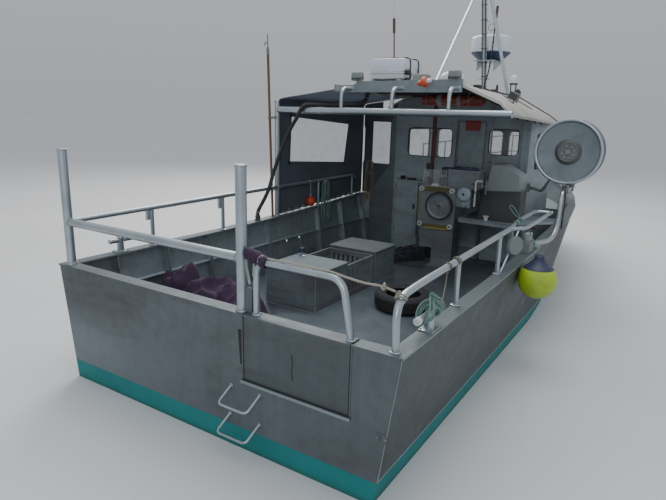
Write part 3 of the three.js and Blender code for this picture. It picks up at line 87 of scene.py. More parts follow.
DECK_Z = 0.33
RAIL_R = 0.024
FRAME_R = 0.038
RAIL_X = 1.57
RAIL_Z = 1.405
FORK_Z = 1.385
BITT_X = 1.602
GALLOWS_PORT = 1.556
GALLOWS_STARBOARD = 0.415
HOOP_PORT = 0.543
HOOP_STARBOARD = 1.285
CORNER_X = 1.585
GALLOWS_Y = 0.055
CANOPY_Y = 2.97
CANOPY_Z = 2.4
ROOF_UNDER = 2.672
ROOF_THICK = 0.028
ROOF_SEAT = 2.7003
WALL_SEAT = 5.2005
AFT_RUBBER_Y = 5.1975
FRONT_RUBBER_Y = 6.7225
SIDE_RUBBER_X = 1.0025
LOCKER_FACE = 5.066
ROLLER_Y = 4.4
DIAL_Z = 1.231
POST_Y = 8.45
DISC_HUB = (0.093, 4.374, 1.194)
SHEAVE_HUB = (0.42, 4.372, 1.38)
SIDE_ROLLER = (0.425, ROLLER_Y, 1.245)
WHEEL_HUB = (0.68, 6.18, 1.18)
SMALL_DOME = (0.328, 3.9, ROOF_SEAT)

# The roof's upper surface between its lines, each with its aft and its fore end
ROOF_LINES = {
    "port": ((-0.77, 3.2, 2.7), (-0.77, 6.98, 2.7)),
    "flat": ((0.724, 3.2, 2.7), (0.34, 6.98, 2.7)),
    "shoulder": ((1.158, 3.1, 2.53), (0.838, 6.98, 2.425)),
    "eave": ((1.318, 3.012, 2.407), (1.01, 6.98, 2.303)),
}


# Colours and sizes to set

def colour(title, words, value):
    return bpy.props.FloatVectorProperty(name=title, description=words, default=value, subtype="COLOR",
        size=3, min=0, max=1)


def length(title, words, value):
    return bpy.props.FloatProperty(name=title, description=words, default=value, min=0.0005, unit="LENGTH")


class BoatColours(bpy.types.PropertyGroup):
    plate: colour("Plate", "Unpainted plate where the light is even", (0.25, 0.298, 0.32))
    plate_dark: colour("Plate stains", "Oxide and grime on the plate", (0.115, 0.122, 0.132))
    tube: colour("Tube", "Rails, posts and frame tubes", (0.43, 0.49, 0.525))
    deck: colour("Deck", "Tread plate of the main deck", (0.16, 0.19, 0.214))
    boot_top: colour("Boot top", "Teal antifouling", (0.0, 0.19, 0.19))
    roof: colour("Roof", "Matt paint of the roof and its edges", (0.42, 0.41, 0.375))
    canvas: colour("Canvas", "Side curtain cloth", (0.082, 0.1, 0.13))
    purple: colour("Purple cloth", "Heaped mesh cloth", (0.038, 0.012, 0.046))
    lime: colour("Lime", "Buoy", (0.37, 0.53, 0.02))
    navy: colour("Navy", "Buoy head", (0.018, 0.026, 0.07))
    orange: colour("Orange", "Float under the roof and ball float", (0.6, 0.085, 0.03))
    green_rope: colour("Green rope", "Laid polypropylene rope", (0.135, 0.275, 0.228))
    straw_rope: colour("Straw rope", "Old laid rope", (0.33, 0.28, 0.17))


class BoatSizes(bpy.types.PropertyGroup):
    edge: length("Plate edge", "Radius that a cut plate edge is eased by", 0.003)
    weld: length("Weld", "Width of a weld bead", 0.009)
    tread: length("Tread pitch", "Pitch of the deck plate's raised bars", 0.034)
    tube_sides: bpy.props.IntProperty(name="Tube sides", description="Faces round a rail tube", default=24,
        min=8, max=64)


def colours():
    return bpy.context.scene.boat_colours


def sizes():
    return bpy.context.scene.boat_sizes


# Shader maths

class Wire:
    """A socket in a material, with arithmetic that adds Math nodes."""

    def __init__(self, paint, socket):
        self.paint = paint
        self.socket = socket

    def maths(self, operation, *terms, **settings):
        return self.paint.add("ShaderNodeMath", {"operation": operation, **settings}, *terms)

    def __abs__(self):
        return self.maths("ABSOLUTE", self)

    def floor(self):
        return self.maths("FLOOR", self)

    def sine(self):
        return self.maths("SINE", self)

    def held(self):
        return self.maths("ADD", self, 0.0, use_clamp=True)

    def step(self, low, high):
        """0 below low, 1 above high and smooth between them."""
        return self.paint.add("ShaderNodeMapRange", {"interpolation_type": "SMOOTHSTEP", "clamp": True}, self,
            low, high)


def arithmetic(name, operation):
    """Gives wires an operator sign, with the wire on either side of it."""
    setattr(Wire, f"__{name}__", lambda self, other: self.maths(operation, self, other))
    setattr(Wire, f"__r{name}__", lambda self, other: self.maths(operation, other, self))


for sign in (("add", "ADD"), ("sub", "SUBTRACT"), ("mul", "MULTIPLY"), ("truediv", "DIVIDE"),
        ("pow", "POWER"), ("mod", "FLOORED_MODULO")):
    arithmetic(*sign)


class Paint:
    """A material under construction around one Principled shader."""

    def __init__(self, name, **constants):
        self.material = bpy.data.materials.new(name)
        self.material.use_nodes = True
        self.tree = self.material.node_tree
        self.tree.nodes.clear()
        self.shader = self.tree.nodes.new("ShaderNodeBsdfPrincipled")
        self.end = self.tree.nodes.new("ShaderNodeOutputMaterial")
        self.tree.links.new(self.shader.outputs[0], self.end.inputs[0])
        for socket, value in constants.items():
            self.shader.inputs[socket.replace("_", " ")].default_value = value
        self.place = self.add("ShaderNodeTexCoord", {}, out="Object")
        self.bumps = None

    def add(self, kind, settings, *terms, out=0, **named):
        node = self.tree.nodes.new(kind)
        for key, value in settings.items():
            if key == "stops":
                self.set_stops(node.color_ramp, value)
            else:
                setattr(node, key, value)
        for key, term in [*enumerate(terms), *named.items()]:
            if term is None:
                continue
            if isinstance(term, Wire):
                self.tree.links.new(term.socket, node.inputs[key])
            else:
                node.inputs[key].default_value = term
        return Wire(self, node.outputs[out])

    def set_stops(self, ramp, stops):
        while len(ramp.elements) < len(stops):
            ramp.elements.new(0.5)
        for element, (position, value) in zip(ramp.elements, stops):
            element.position = position
            element.color = (*value, 1)

    def stretch(self, *scale, turn=(0, 0, 0), source=None):
        return self.add("ShaderNodeMapping", {}, source or self.place, Rotation=turn, Scale=scale)

    def noise(self, scale, detail=3, rough=0.55, vector=None, twist=0.0):
        return self.add("ShaderNodeTexNoise", {}, Vector=vector or self.place, Scale=scale, Detail=detail,
            Roughness=rough, Distortion=twist)

    def cells(self, scale):
        return self.add("ShaderNodeTexVoronoi", {}, Vector=self.place, Scale=scale)

    def axes(self, source=None):
        node = self.tree.nodes.new("ShaderNodeSeparateXYZ")
        self.tree.links.new((source or self.place).socket, node.inputs[0])
        return [Wire(self, output) for output in node.outputs]

    def facing(self, axis):
        """How far the surface turns towards +X, +Y or +Z."""
        return self.axes(self.add("ShaderNodeNewGeometry", {}, out="Normal"))[axis]

    def uv(self):
        return self.add("ShaderNodeUVMap", {"uv_map": "UVMap"})

    def mix(self, factor, one, other):
        one, other = [(*c, 1) if isinstance(c, (tuple, list)) or hasattr(c, "hsv") else c for c in (one,
            other)]
        node = self.tree.nodes.new("ShaderNodeMix")
        node.data_type = "RGBA"
        for socket, term in zip((node.inputs[0], node.inputs[6], node.inputs[7]), (factor, one, other)):
            if isinstance(term, Wire):
                self.tree.links.new(term.socket, socket)
            else:
                socket.default_value = term
        return Wire(self, node.outputs[2])

    def bump(self, height, distance, strength=1.0):
        self.bumps = self.add("ShaderNodeBump", {}, Height=height, Distance=distance, Strength=strength,
            Normal=self.bumps, out="Normal")

    def give(self, **wires):
        for socket, wire in wires.items():
            self.tree.links.new(wire.socket, self.shader.inputs[socket.replace("_", " ")])
        if self.bumps:
            self.tree.links.new(self.bumps.socket, self.shader.inputs["Normal"])
        return self.material


FINISHES = {}


def finish(make, *args):
    """The finish that a function makes, made once for each set of its arguments."""
    key = (make.__name__, args)
    if key not in FINISHES:
        FINISHES[key] = make(*args)
    return FINISHES[key]


def tinted(value, gain):
    return tuple(min(1.0, channel * gain) for channel in value)


# Finishes

def plate(name="bare_plate", gain=1.0, streaks=1.0, stains=0.5, shine=0.62, painted_side_light=0.0):
    """Unpainted aluminium plate: broad oxide clouds, faint run marks, fine drips, scuffs and grime, with a
    painted highlight on faces that turn up and, when asked, painted light low towards port and painted shade
    towards starboard.
    """
    light = tinted(colours().plate, gain)
    dark = tinted(colours().plate_dark, gain)
    paint = Paint(name, Specular_IOR_Level=0.5)
    runs = paint.noise(2.1, 4, 0.55, paint.stretch(6.5, 6.5, 0.6), twist=0.4).step(0.36, 0.72)
    drips = paint.noise(5.0, 3, 0.7, paint.stretch(36, 36, 1.3)).step(0.52, 0.78)
    clouds = paint.noise(1.0, 7, 0.62, paint.stretch(0.8, 0.8, 1.5), twist=0.5)
    mottle = paint.noise(11, 5, 0.62).step(0.42, 0.66)
    warm = paint.noise(0.85, 5, 0.62, paint.stretch(0.8, 0.8, 2.6), twist=0.7).step(0.5, 0.66)
    specks = paint.noise(62, 3, 0.7).step(0.62, 0.76)
    scuffs = paint.noise(2.6, 4, 0.75, paint.stretch(1.0, 1.0, 26)).step(0.65, 0.72)
    # Faces that turn up: run marks are kept off them, and they get a painted highlight
    top = paint.facing(2).step(0.55, 0.95)
    shade = (runs * 0.2 + drips * 0.2) * streaks * (1 - top) + clouds.step(0.38,
        0.7) * 0.4 + mottle * 0.12 + specks * 0.1
    base = paint.mix(shade.held(), light, dark)
    base = paint.mix((warm * stains).held(), base, tinted((0.128, 0.108, 0.116), gain))
    base = paint.mix((scuffs * 0.3).held(), base, tinted(light, 1.35))
    # Painted highlight: faces that turn up are mixed towards a lighter plate
    base = paint.mix(top * 0.45, base, tinted(light, 1.25))
    # Painted light and shade: the plate is lighter low towards port and darker towards starboard
    if painted_side_light:
        x, _, z = paint.axes()
        pale = (1 - x.step(-1.5, 0.5)) * (1 - z.step(0.3, 0.85))
        base = paint.mix(pale * painted_side_light, base, tinted(light, 1.9))
        base = paint.mix(x.step(0.5, 1.6) * 0.4 * painted_side_light, base, tinted(dark, 0.9))
    paint.bump(paint.noise(26, 4, 0.6), 0.0012, 0.35)
    paint.bump(paint.noise(2.2, 3, 0.5), 0.02, 0.18)
    rough = 0.48 + clouds * 0.22 + mottle * 0.06 - scuffs * 0.12
    return paint.give(Base_Color=base, Roughness=rough.held(), Metallic=shine - shade * 0.35)


def tube(name="tube", gain=1.0):
    """Satin aluminium tube, dulled and spotted, with painted shade on its underside."""
    light = tinted(colours().tube, gain)
    paint = Paint(name)
    clouds = paint.noise(3.0, 5, 0.6)
    spots = paint.noise(70, 2, 0.6).step(0.66, 0.74)
    drawn = paint.noise(6, 3, 0.6, paint.stretch(30, 2, 30))
    # Painted shade: faces that turn down are mixed towards a much darker tube
    under = (0 - paint.facing(2)).step(0.05, 0.85)
    base = paint.mix(clouds.step(0.42, 0.68) * 0.5, light, tinted(light, 0.66))
    base = paint.mix(spots * 0.45, base, tinted(light, 0.42))
    base = paint.mix(under * 0.5, base, tinted(light, 0.35))
    paint.bump(drawn, 0.0006, 0.25)
    return paint.give(Base_Color=base, Roughness=0.25 + clouds * 0.2 + spots * 0.15, Metallic=0.84 - spots *
        0.3)


def tread_plate():
    """Deck plate with raised bars turned each way by turns, worn bright on top and dark between."""
    pitch = sizes().tread
    paint = Paint("tread_plate")
    x, y, _ = paint.axes()
    column, row = x / pitch, y / pitch
    side = ((column.floor() + row.floor()) % 2.0) * 2.0 - 1.0
    across, along = column % 1.0 - 0.5, row % 1.0 - 0.5
    long_way = (across + along * side) * 0.7071
    wide_way = (along - across * side) * 0.7071
    bar = (1.0 - (long_way * long_way) / 0.2 - (wide_way * wide_way) / 0.012).step(0.0, 0.35)
    clouds = paint.noise(1.4, 6, 0.62, twist=0.6)
    grit = paint.noise(40, 4, 0.7)
    puddle = paint.noise(0.8, 4, 0.5, twist=1.2).step(0.52, 0.6)
    base = paint.mix(clouds.step(0.35, 0.7), colours().deck, tinted(colours().deck, 0.55))
    base = paint.mix(bar * 0.55, base, tinted(colours().deck, 1.6))
    base = paint.mix(grit.step(0.6, 0.72) * 0.6, base, (0.06, 0.058, 0.055))
    base = paint.mix(puddle * 0.35, base, (0.05, 0.06, 0.07))
    paint.bump(bar, 0.0022, 0.9)
    paint.bump(grit, 0.001, 0.3)
    rough = 0.42 + clouds * 0.28 - puddle * 0.26
    return paint.give(Base_Color=base, Roughness=rough.held(), Metallic=0.35 + bar * 0.35)


def boot_paint():
    """Teal antifouling with scrapes and a weed line at the water."""
    paint = Paint("boot_paint")
    height = paint.axes()[2]
    clouds = paint.noise(2.4, 5, 0.6)
    runs = paint.noise(4, 4, 0.6, paint.stretch(14, 14, 1.0))
    scrape = paint.noise(3.0, 4, 0.75, paint.stretch(1, 1, 34)).step(0.66, 0.7)
    weed = (1 - height.step(0.0, 0.055)) * (0.4 + runs * 0.8)
    base = paint.mix((clouds.step(0.4, 0.7) * 0.45), colours().boot_top, tinted(colours().boot_top, 0.68))
    base = paint.mix((runs.step(0.5, 0.75) * 0.3), base, tinted(colours().boot_top, 1.35))
    base = paint.mix(scrape * 0.45, base, (0.16, 0.26, 0.25))
    base = paint.mix((weed * 0.75).held(), base, (0.012, 0.075, 0.05))
    paint.bump(paint.noise(60, 4, 0.7), 0.0012, 0.4)
    return paint.give(Base_Color=base, Roughness=0.52 + clouds * 0.2)


def matt_paint(name, value, grime=0.35, rough=0.55):
    """Sprayed paint, chalked and run-marked."""
    value = tuple(value)
    paint = Paint(name)
    clouds = paint.noise(2.0, 6, 0.6, twist=0.5)
    runs = paint.noise(3.0, 4, 0.65, paint.stretch(16, 16, 0.8)).step(0.45, 0.75)
    specks = paint.noise(48, 3, 0.7).step(0.64, 0.74)
    base = paint.mix((clouds.step(0.4, 0.7) * 0.6 + runs * 0.3).held() * grime, value, tinted(value, 0.45))
    base = paint.mix(specks * grime, base, tinted(value, 0.32))
    paint.bump(paint.noise(120, 2, 0.6), 0.0004, 0.3)
    return paint.give(Base_Color=base, Roughness=rough + clouds * 0.18)


def plastic(name, value, rough=0.35, coat=0.0, dirt=0.25):
    """Moulded plastic, a little grubby in its clouds."""
    value = tuple(value)
    paint = Paint(name, Coat_Weight=coat, Coat_Roughness=0.2)
    clouds = paint.noise(5.0, 5, 0.6)
    specks = paint.noise(90, 2, 0.6).step(0.66, 0.74)
    base = paint.mix(clouds.step(0.45, 0.72) * dirt, value, tinted(value, 0.55))
    base = paint.mix(specks * dirt, base, tinted(value, 0.4))
    paint.bump(paint.noise(160, 2, 0.5), 0.0003, 0.25)
    return paint.give(Base_Color=base, Roughness=rough + clouds * 0.2)


def rubber(name="rubber", gain=1.0):
    paint = Paint(name)
    clouds = paint.noise(9.0, 5, 0.6)
    dust = paint.noise(30, 4, 0.7).step(0.55, 0.75) * paint.facing(2).step(0.2, 0.9)
    base = paint.mix(clouds * 0.6, tinted((0.022, 0.022, 0.024), gain), tinted((0.05, 0.05, 0.052), gain))
    base = paint.mix(dust * 0.4, base, (0.14, 0.135, 0.125))
    paint.bump(paint.noise(110, 3, 0.6), 0.0006, 0.4)
    return paint.give(Base_Color=base, Roughness=0.62 + clouds * 0.22)


def steel(name="galvanised", value=(0.26, 0.28, 0.29), rust=0.25, rough=0.42, metal=0.75):
    """Galvanised or painted steel with rust creeping from its specks."""
    paint = Paint(name)
    spangle = paint.cells(42)
    clouds = paint.noise(4.0, 6, 0.62)
    bloom = (paint.noise(6.5, 6, 0.7, twist=0.5).step(0.56, 0.7) * rust).held()
    base = paint.mix(spangle * 0.8, value, tinted(value, 0.62))
    base = paint.mix(clouds.step(0.45, 0.7) * 0.4, base, tinted(value, 0.5))
    base = paint.mix(bloom, base, (0.2, 0.075, 0.025))
    paint.bump(clouds, 0.0015, 0.3)
    return paint.give(Base_Color=base, Roughness=rough + clouds * 0.15 + bloom * 0.3, Metallic=metal - bloom *
        0.6)


def bronze():
    paint = Paint("bronze")
    clouds = paint.noise(9, 5, 0.6)
    base = paint.mix(clouds.step(0.4, 0.65), (0.42, 0.25, 0.09), (0.1, 0.16, 0.11))
    paint.bump(clouds, 0.001, 0.4)
    return paint.give(Base_Color=base, Roughness=0.3 + clouds * 0.3, Metallic=0.95 - clouds * 0.3)


def pane(name="window_pane", tint=(0.8, 0.85, 0.87), alpha=0.07, rough=0.03):
    """Clear pane with patches of salt haze."""
    paint = Paint(name, IOR=1.45, Specular_IOR_Level=0.5)
    haze = paint.noise(6, 5, 0.65).step(0.4, 0.8)
    specks = paint.noise(90, 2, 0.6).step(0.7, 0.78)
    base = paint.mix(haze, tint, tinted(tint, 1.15))
    return paint.give(Base_Color=base, Roughness=rough + haze * 0.12 + specks * 0.1,
        Alpha=(alpha + haze * 0.07 + specks * 0.1).held())


def rope_yarn(name, value, wear=0.4):
    """Laid rope: fibres run with the strands, and worn patches are bleached."""
    value = tuple(value)
    paint = Paint(name, Sheen_Weight=0.25)
    fibres = paint.noise(3, 3, 0.7, paint.stretch(700, 30, 1, source=paint.uv()))
    clouds = paint.noise(14, 4, 0.6)
    base = paint.mix(fibres.step(0.3, 0.75), tinted(value, 0.55), tinted(value, 1.25))
    base = paint.mix(clouds.step(0.5, 0.75) * wear, base, (0.3, 0.33, 0.29))
    paint.bump(fibres, 0.0006, 0.6)
    return paint.give(Base_Color=base, Roughness=0.7 + fibres * 0.2)


def woven(name, value, dark, pitch=0.0035, sheen=0.15, patches=0.5, rough=0.8):
    """Coated cloth whose weave follows the sheet's own map, in metres."""
    value = tuple(value)
    paint = Paint(name, Sheen_Weight=sheen)
    u, v, _ = paint.axes(paint.uv())
    turns = 2 * pi / pitch
    weave = (u * turns).sine() * (v * turns).sine()
    clouds = paint.noise(2.2, 6, 0.65, twist=0.8)
    drops = paint.noise(22, 3, 0.6).step(0.6, 0.72)
    base = paint.mix((clouds.step(0.35, 0.72) * patches).held(), value, dark)
    base = paint.mix(drops * 0.22, base, tinted(value, 1.6))
    paint.bump(weave, 0.0004, 0.5)
    paint.bump(paint.noise(3.5, 4, 0.55), 0.012, 0.35)
    return paint.give(Base_Color=base, Roughness=rough - clouds * 0.15)


def spun_plate():
    """Spun aluminium: fine rings about the drum's axle, dulled by salt."""
    light = tinted(colours().plate, 0.86)
    paint = Paint("spun_plate")
    x, _, z = paint.axes()
    out = ((x - 1.684) * (x - 1.684) + (z - 2.015) * (z - 2.015)) ** 0.5
    rings = paint.noise(1.0, 2, 0.5, paint.add("ShaderNodeCombineXYZ", {}, out * 320.0, 0.0, 0.0))
    clouds = paint.noise(3.0, 6, 0.62, twist=0.7)
    drips = paint.noise(4.0, 4, 0.65, paint.stretch(12, 1, 0.9)).step(0.5, 0.75)
    base = paint.mix((clouds.step(0.38, 0.7) * 0.5 + drips * 0.18).held(), light, tinted(light, 0.55))
    base = paint.mix(rings.step(0.55, 0.75) * 0.18, base, tinted(light, 0.6))
    paint.bump(rings, 0.0004, 0.25)
    return paint.give(Base_Color=base, Roughness=0.36 + clouds * 0.25, Metallic=0.7 - clouds * 0.2)


def vinyl_buoy(name, value, dark):
    """Inflated vinyl, scuffed, and darker towards the bottom."""
    paint = Paint(name, Coat_Weight=0.15, Coat_Roughness=0.35)
    height = paint.axes()[2]
    clouds = paint.noise(7.0, 5, 0.62, twist=0.4)
    scuffs = paint.noise(9.0, 5, 0.7, paint.stretch(1, 1, 5)).step(0.6, 0.72)
    low = 1 - height.step(0.7, 0.88)
    base = paint.mix((clouds.step(0.42, 0.72) * 0.5 + low * 0.35).held(), value, dark)
    base = paint.mix(scuffs * 0.4, base, tinted(value, 0.45))
    paint.bump(clouds, 0.002, 0.2)
    return paint.give(Base_Color=base, Roughness=0.4 + clouds * 0.25)


def floor_paint():
    paint = Paint("floor_paint")
    clouds = paint.noise(0.35, 3, 0.5)
    base = paint.mix(clouds, (0.6, 0.61, 0.62), (0.68, 0.685, 0.69))
    return paint.give(Base_Color=base, Roughness=0.55 + clouds * 0.1)


SHARED = {
    "black_moulding": (plastic, "black_moulding", (0.025, 0.026, 0.028), 0.45, 0.0, 0.3),
    "white_nylon": (plastic, "white_nylon", (0.62, 0.63, 0.62), 0.5),
    "white_yarn": (rope_yarn, "white_yarn", (0.5, 0.5, 0.48), 0.2),
    "lamp_lens": (plastic, "lamp_lens", (0.035, 0.038, 0.042), 0.12, 0.6, 0.1),
    "lamp_shell": (plastic, "lamp_shell", (0.17, 0.18, 0.185), 0.5),
    "white_gelcoat": (plastic, "white_gelcoat", (0.64, 0.69, 0.76), 0.28, 0.4, 0.18),
    "house_plate": (plate, "house_plate", 1.45, 0.6, 0.35, 0.38),
    "side_plate": (plate, "side_plate", 1.18),
    "grey_box": (plastic, "grey_box", (0.3, 0.31, 0.315), 0.5),
    "cable_sheath": (rubber, "cable_sheath", 1.0),
    "window_rubber": (rubber, "window_rubber"),
}


def shared(name):
    return finish(*SHARED[name])


def green_yarn():
    return finish(rope_yarn, "green_yarn", tuple(colours().green_rope))


def purple_mesh():
    return finish(woven, "purple_mesh", tuple(colours().purple), (0.012, 0.004, 0.014), 0.006, 0.05, 0.6, 0.9)


# Paths

def vectors(points):
    return [Vector(point) for point in points]


def rounded(points, bend, steps=8, closed=False):
    """The corners of a bent tube, each turned into a short curve."""
    points = vectors(points)
    count = len(points)
    path = [] if closed else [points[0]]
    for i in range(count if closed else count - 2):
        before, here, after = [points[(i + k) % count] for k in range(3)]
        back, on = before - here, after - here
        reach = min(bend, back.length * 0.48, on.length * 0.48)
        start, end = here + back.normalized() * reach, here + on.normalized() * reach
        for k in range(steps + 1):
            t = k / steps
            path.append((1 - t) ** 2 * start + 2 * t * (1 - t) * here + t * t * end)
    return path if closed else path + [points[-1]]


def catmull(points, per_leg=12):
    """A centripetal curve through the points."""
    points = vectors(points)
    ends = [2 * points[0] - points[1], *points, 2 * points[-1] - points[-2]]
    path = []
    for i in range(1, len(ends) - 2):
        p0, p1, p2, p3 = ends[i - 1:i + 3]
        knots = [0.0]
        for a, b in ((p0, p1), (p1, p2), (p2, p3)):
            knots.append(knots[-1] + max((b - a).length, 1e-6) ** 0.5)
        t0, t1, t2, t3 = knots
        for k in range(per_leg):
            t = t1 + (t2 - t1) * k / per_leg
            a1 = p0 * (t1 - t) / (t1 - t0) + p1 * (t - t0) / (t1 - t0)
            a2 = p1 * (t2 - t) / (t2 - t1) + p2 * (t - t1) / (t2 - t1)
            a3 = p2 * (t3 - t) / (t3 - t2) + p3 * (t - t2) / (t3 - t2)
            b1 = a1 * (t2 - t) / (t2 - t0) + a2 * (t - t0) / (t2 - t0)
            b2 = a2 * (t3 - t) / (t3 - t1) + a3 * (t - t1) / (t3 - t1)
            path.append(b1 * (t2 - t) / (t2 - t1) + b2 * (t - t1) / (t2 - t1))
    return path + [points[-1]]


def path_length(path):
    return sum((b - a).length for a, b in zip(path, path[1:]))


def even(path, step):
    """The path again, with its points about one step apart."""
    whole = path_length(path)
    count = max(2, round(whole / step))
    marks = [whole * i / count for i in range(count + 1)]
    fresh, walked, leg = [], 0.0, 0
    for mark in marks:
        while leg < len(path) - 2 and walked + (path[leg + 1] - path[leg]).length < mark:
            walked += (path[leg + 1] - path[leg]).length
            leg += 1
        gap = (path[leg + 1] - path[leg]).length or 1e-9
        fresh.append(path[leg].lerp(path[leg + 1], min(1.0, (mark - walked) / gap)))
    return fresh


def frames_along(path, closed=False):
    """A side and an up direction at each point, turned as little as the path allows."""
    count = len(path)
    ahead = []
    for i in range(count):
        a = path[(i - 1) % count] if closed or i else path[0]
        b = path[(i + 1) % count] if closed or i < count - 1 else path[-1]
        ahead.append((b - a).normalized())
    seed = UP if abs(ahead[0].z) < 0.9 else Vector(ACROSS)
    side = ahead[0].cross(seed).normalized()
    frames = []
    for i, forward in enumerate(ahead):
        if i:
            side = ahead[i - 1].rotation_difference(forward) @ side
            side = (side - forward * side.dot(forward)).normalized()
        frames.append((side, forward.cross(side)))
    return frames


def trefoil(centre, size, ahead):
    """The closed line of an overhand knot."""
    ahead = Vector(ahead).normalized()
    side = ahead.orthogonal().normalized()
    up = ahead.cross(side)
    ring = []
    count = 48
    for i in range(count):
        t = 2 * pi * i / count
        flat = (sin(t) + 2 * sin(2 * t)) * side + (cos(t) - 2 * cos(2 * t)) * up
        ring.append(Vector(centre) + size / 3 * (flat - sin(3 * t) * ahead))
    return ring


def crumpled(name, low, high, mounds, finish_, folds, grain, cells, seed, floor=DECK_Z + 0.004):
    """Cloth in a heap: mounds of a place, a reach and a height, with stiff ridges folded into them."""
    nx, ny = cells
    (x0, y0), (x1, y1) = low, high
    verts, faces = [], []
    for j in range(ny + 1):
        for i in range(nx + 1):
            u, v = i / nx, j / ny
            x, y = x0 + (x1 - x0) * u, y0 + (y1 - y0) * v
            edge = min(1.0, 7.0 * min(u, 1 - u, v, 1 - v) + 0.02)
            p = Vector((x * grain, y * grain, seed))
            warp = Vector((noise.noise(p * 0.6), noise.noise(p * 0.6 + vec(7, 3, 1)), 0))
            tall = 0.0
            for mx, my, rx, ry, height in mounds:
                away = ((x - mx + warp.x * 0.1) / rx) ** 2 + ((y - my + warp.y * 0.1) / ry) ** 2
                tall = max(tall, height * max(0.0, 1 - away) ** 0.55)
            ridge = 0.0
            for turn, pace, share in ((0.5, 2.6, 0.5), (1.9, 3.7, 0.3), (2.8, 6.1, 0.2)):
                along = x * cos(turn) + y * sin(turn) + 0.2 * warp.x
                ridge += share * abs(((along * pace + 0.8 * warp.y + seed) % 1.0) * 2 - 1)
            ridge = 0.65 * ridge + 0.35 * abs(noise.noise(p * 1.7)) * 2.2
            z = floor + edge ** 0.7 * (tall * (1 - folds * min(1.0, ridge)) + 0.012 * (1 - ridge))
            push = 0.045 * edge * Vector((noise.noise(p * 1.3 + vec(9, 0, 0)), noise.noise(p * 1.3 + vec(0, 9,
                0)), 0))
            verts.append((x + push.x, y + push.y, max(floor, z)))
    for j in range(ny):
        for i in range(nx):
            a = j * (nx + 1) + i
            faces.append((a, a + 1, a + nx + 2, a + nx + 1))
    mesh = bpy.data.meshes.new(name)
    mesh.from_pydata(verts, [], faces)
    layer = mesh.uv_layers.new(name="UVMap")
    for loop in mesh.loops:
        co = mesh.vertices[loop.vertex_index].co
        layer.data[loop.index].uv = (co.x, co.y)
    mesh.materials.append(finish_)
    return mesh


def coil(centre, axis, radius, turns, pitch, count=20):
    """An open line wound about an axis, its middle turn at the centre."""
    axis = Vector(axis).normalized()
    side = axis.orthogonal().normalized()
    up = axis.cross(side)
    path = []
    for i in range(round(turns * count) + 1):
        a = 2 * pi * i / count
        along = pitch * (i / count - turns / 2)
        path.append(Vector(centre) + axis * along + radius * (cos(a) * side + sin(a) * up))
    return path


# Sections and profiles

def round_section(radius, sides):
    return [(radius * cos(2 * pi * i / sides), radius * sin(2 * pi * i / sides)) for i in range(sides)]


def flat_section(thick, wide):
    return [(-thick, -wide), (thick, -wide), (thick, wide), (-thick, wide)]


def plug(radius, low, high):
    return [(0, low), (radius, low), (radius, high), (0, high)]


def collar(inner, outer, low, high):
    return [(inner, low), (outer, low), (outer, high), (inner, high), (inner, low)]


# Pieces

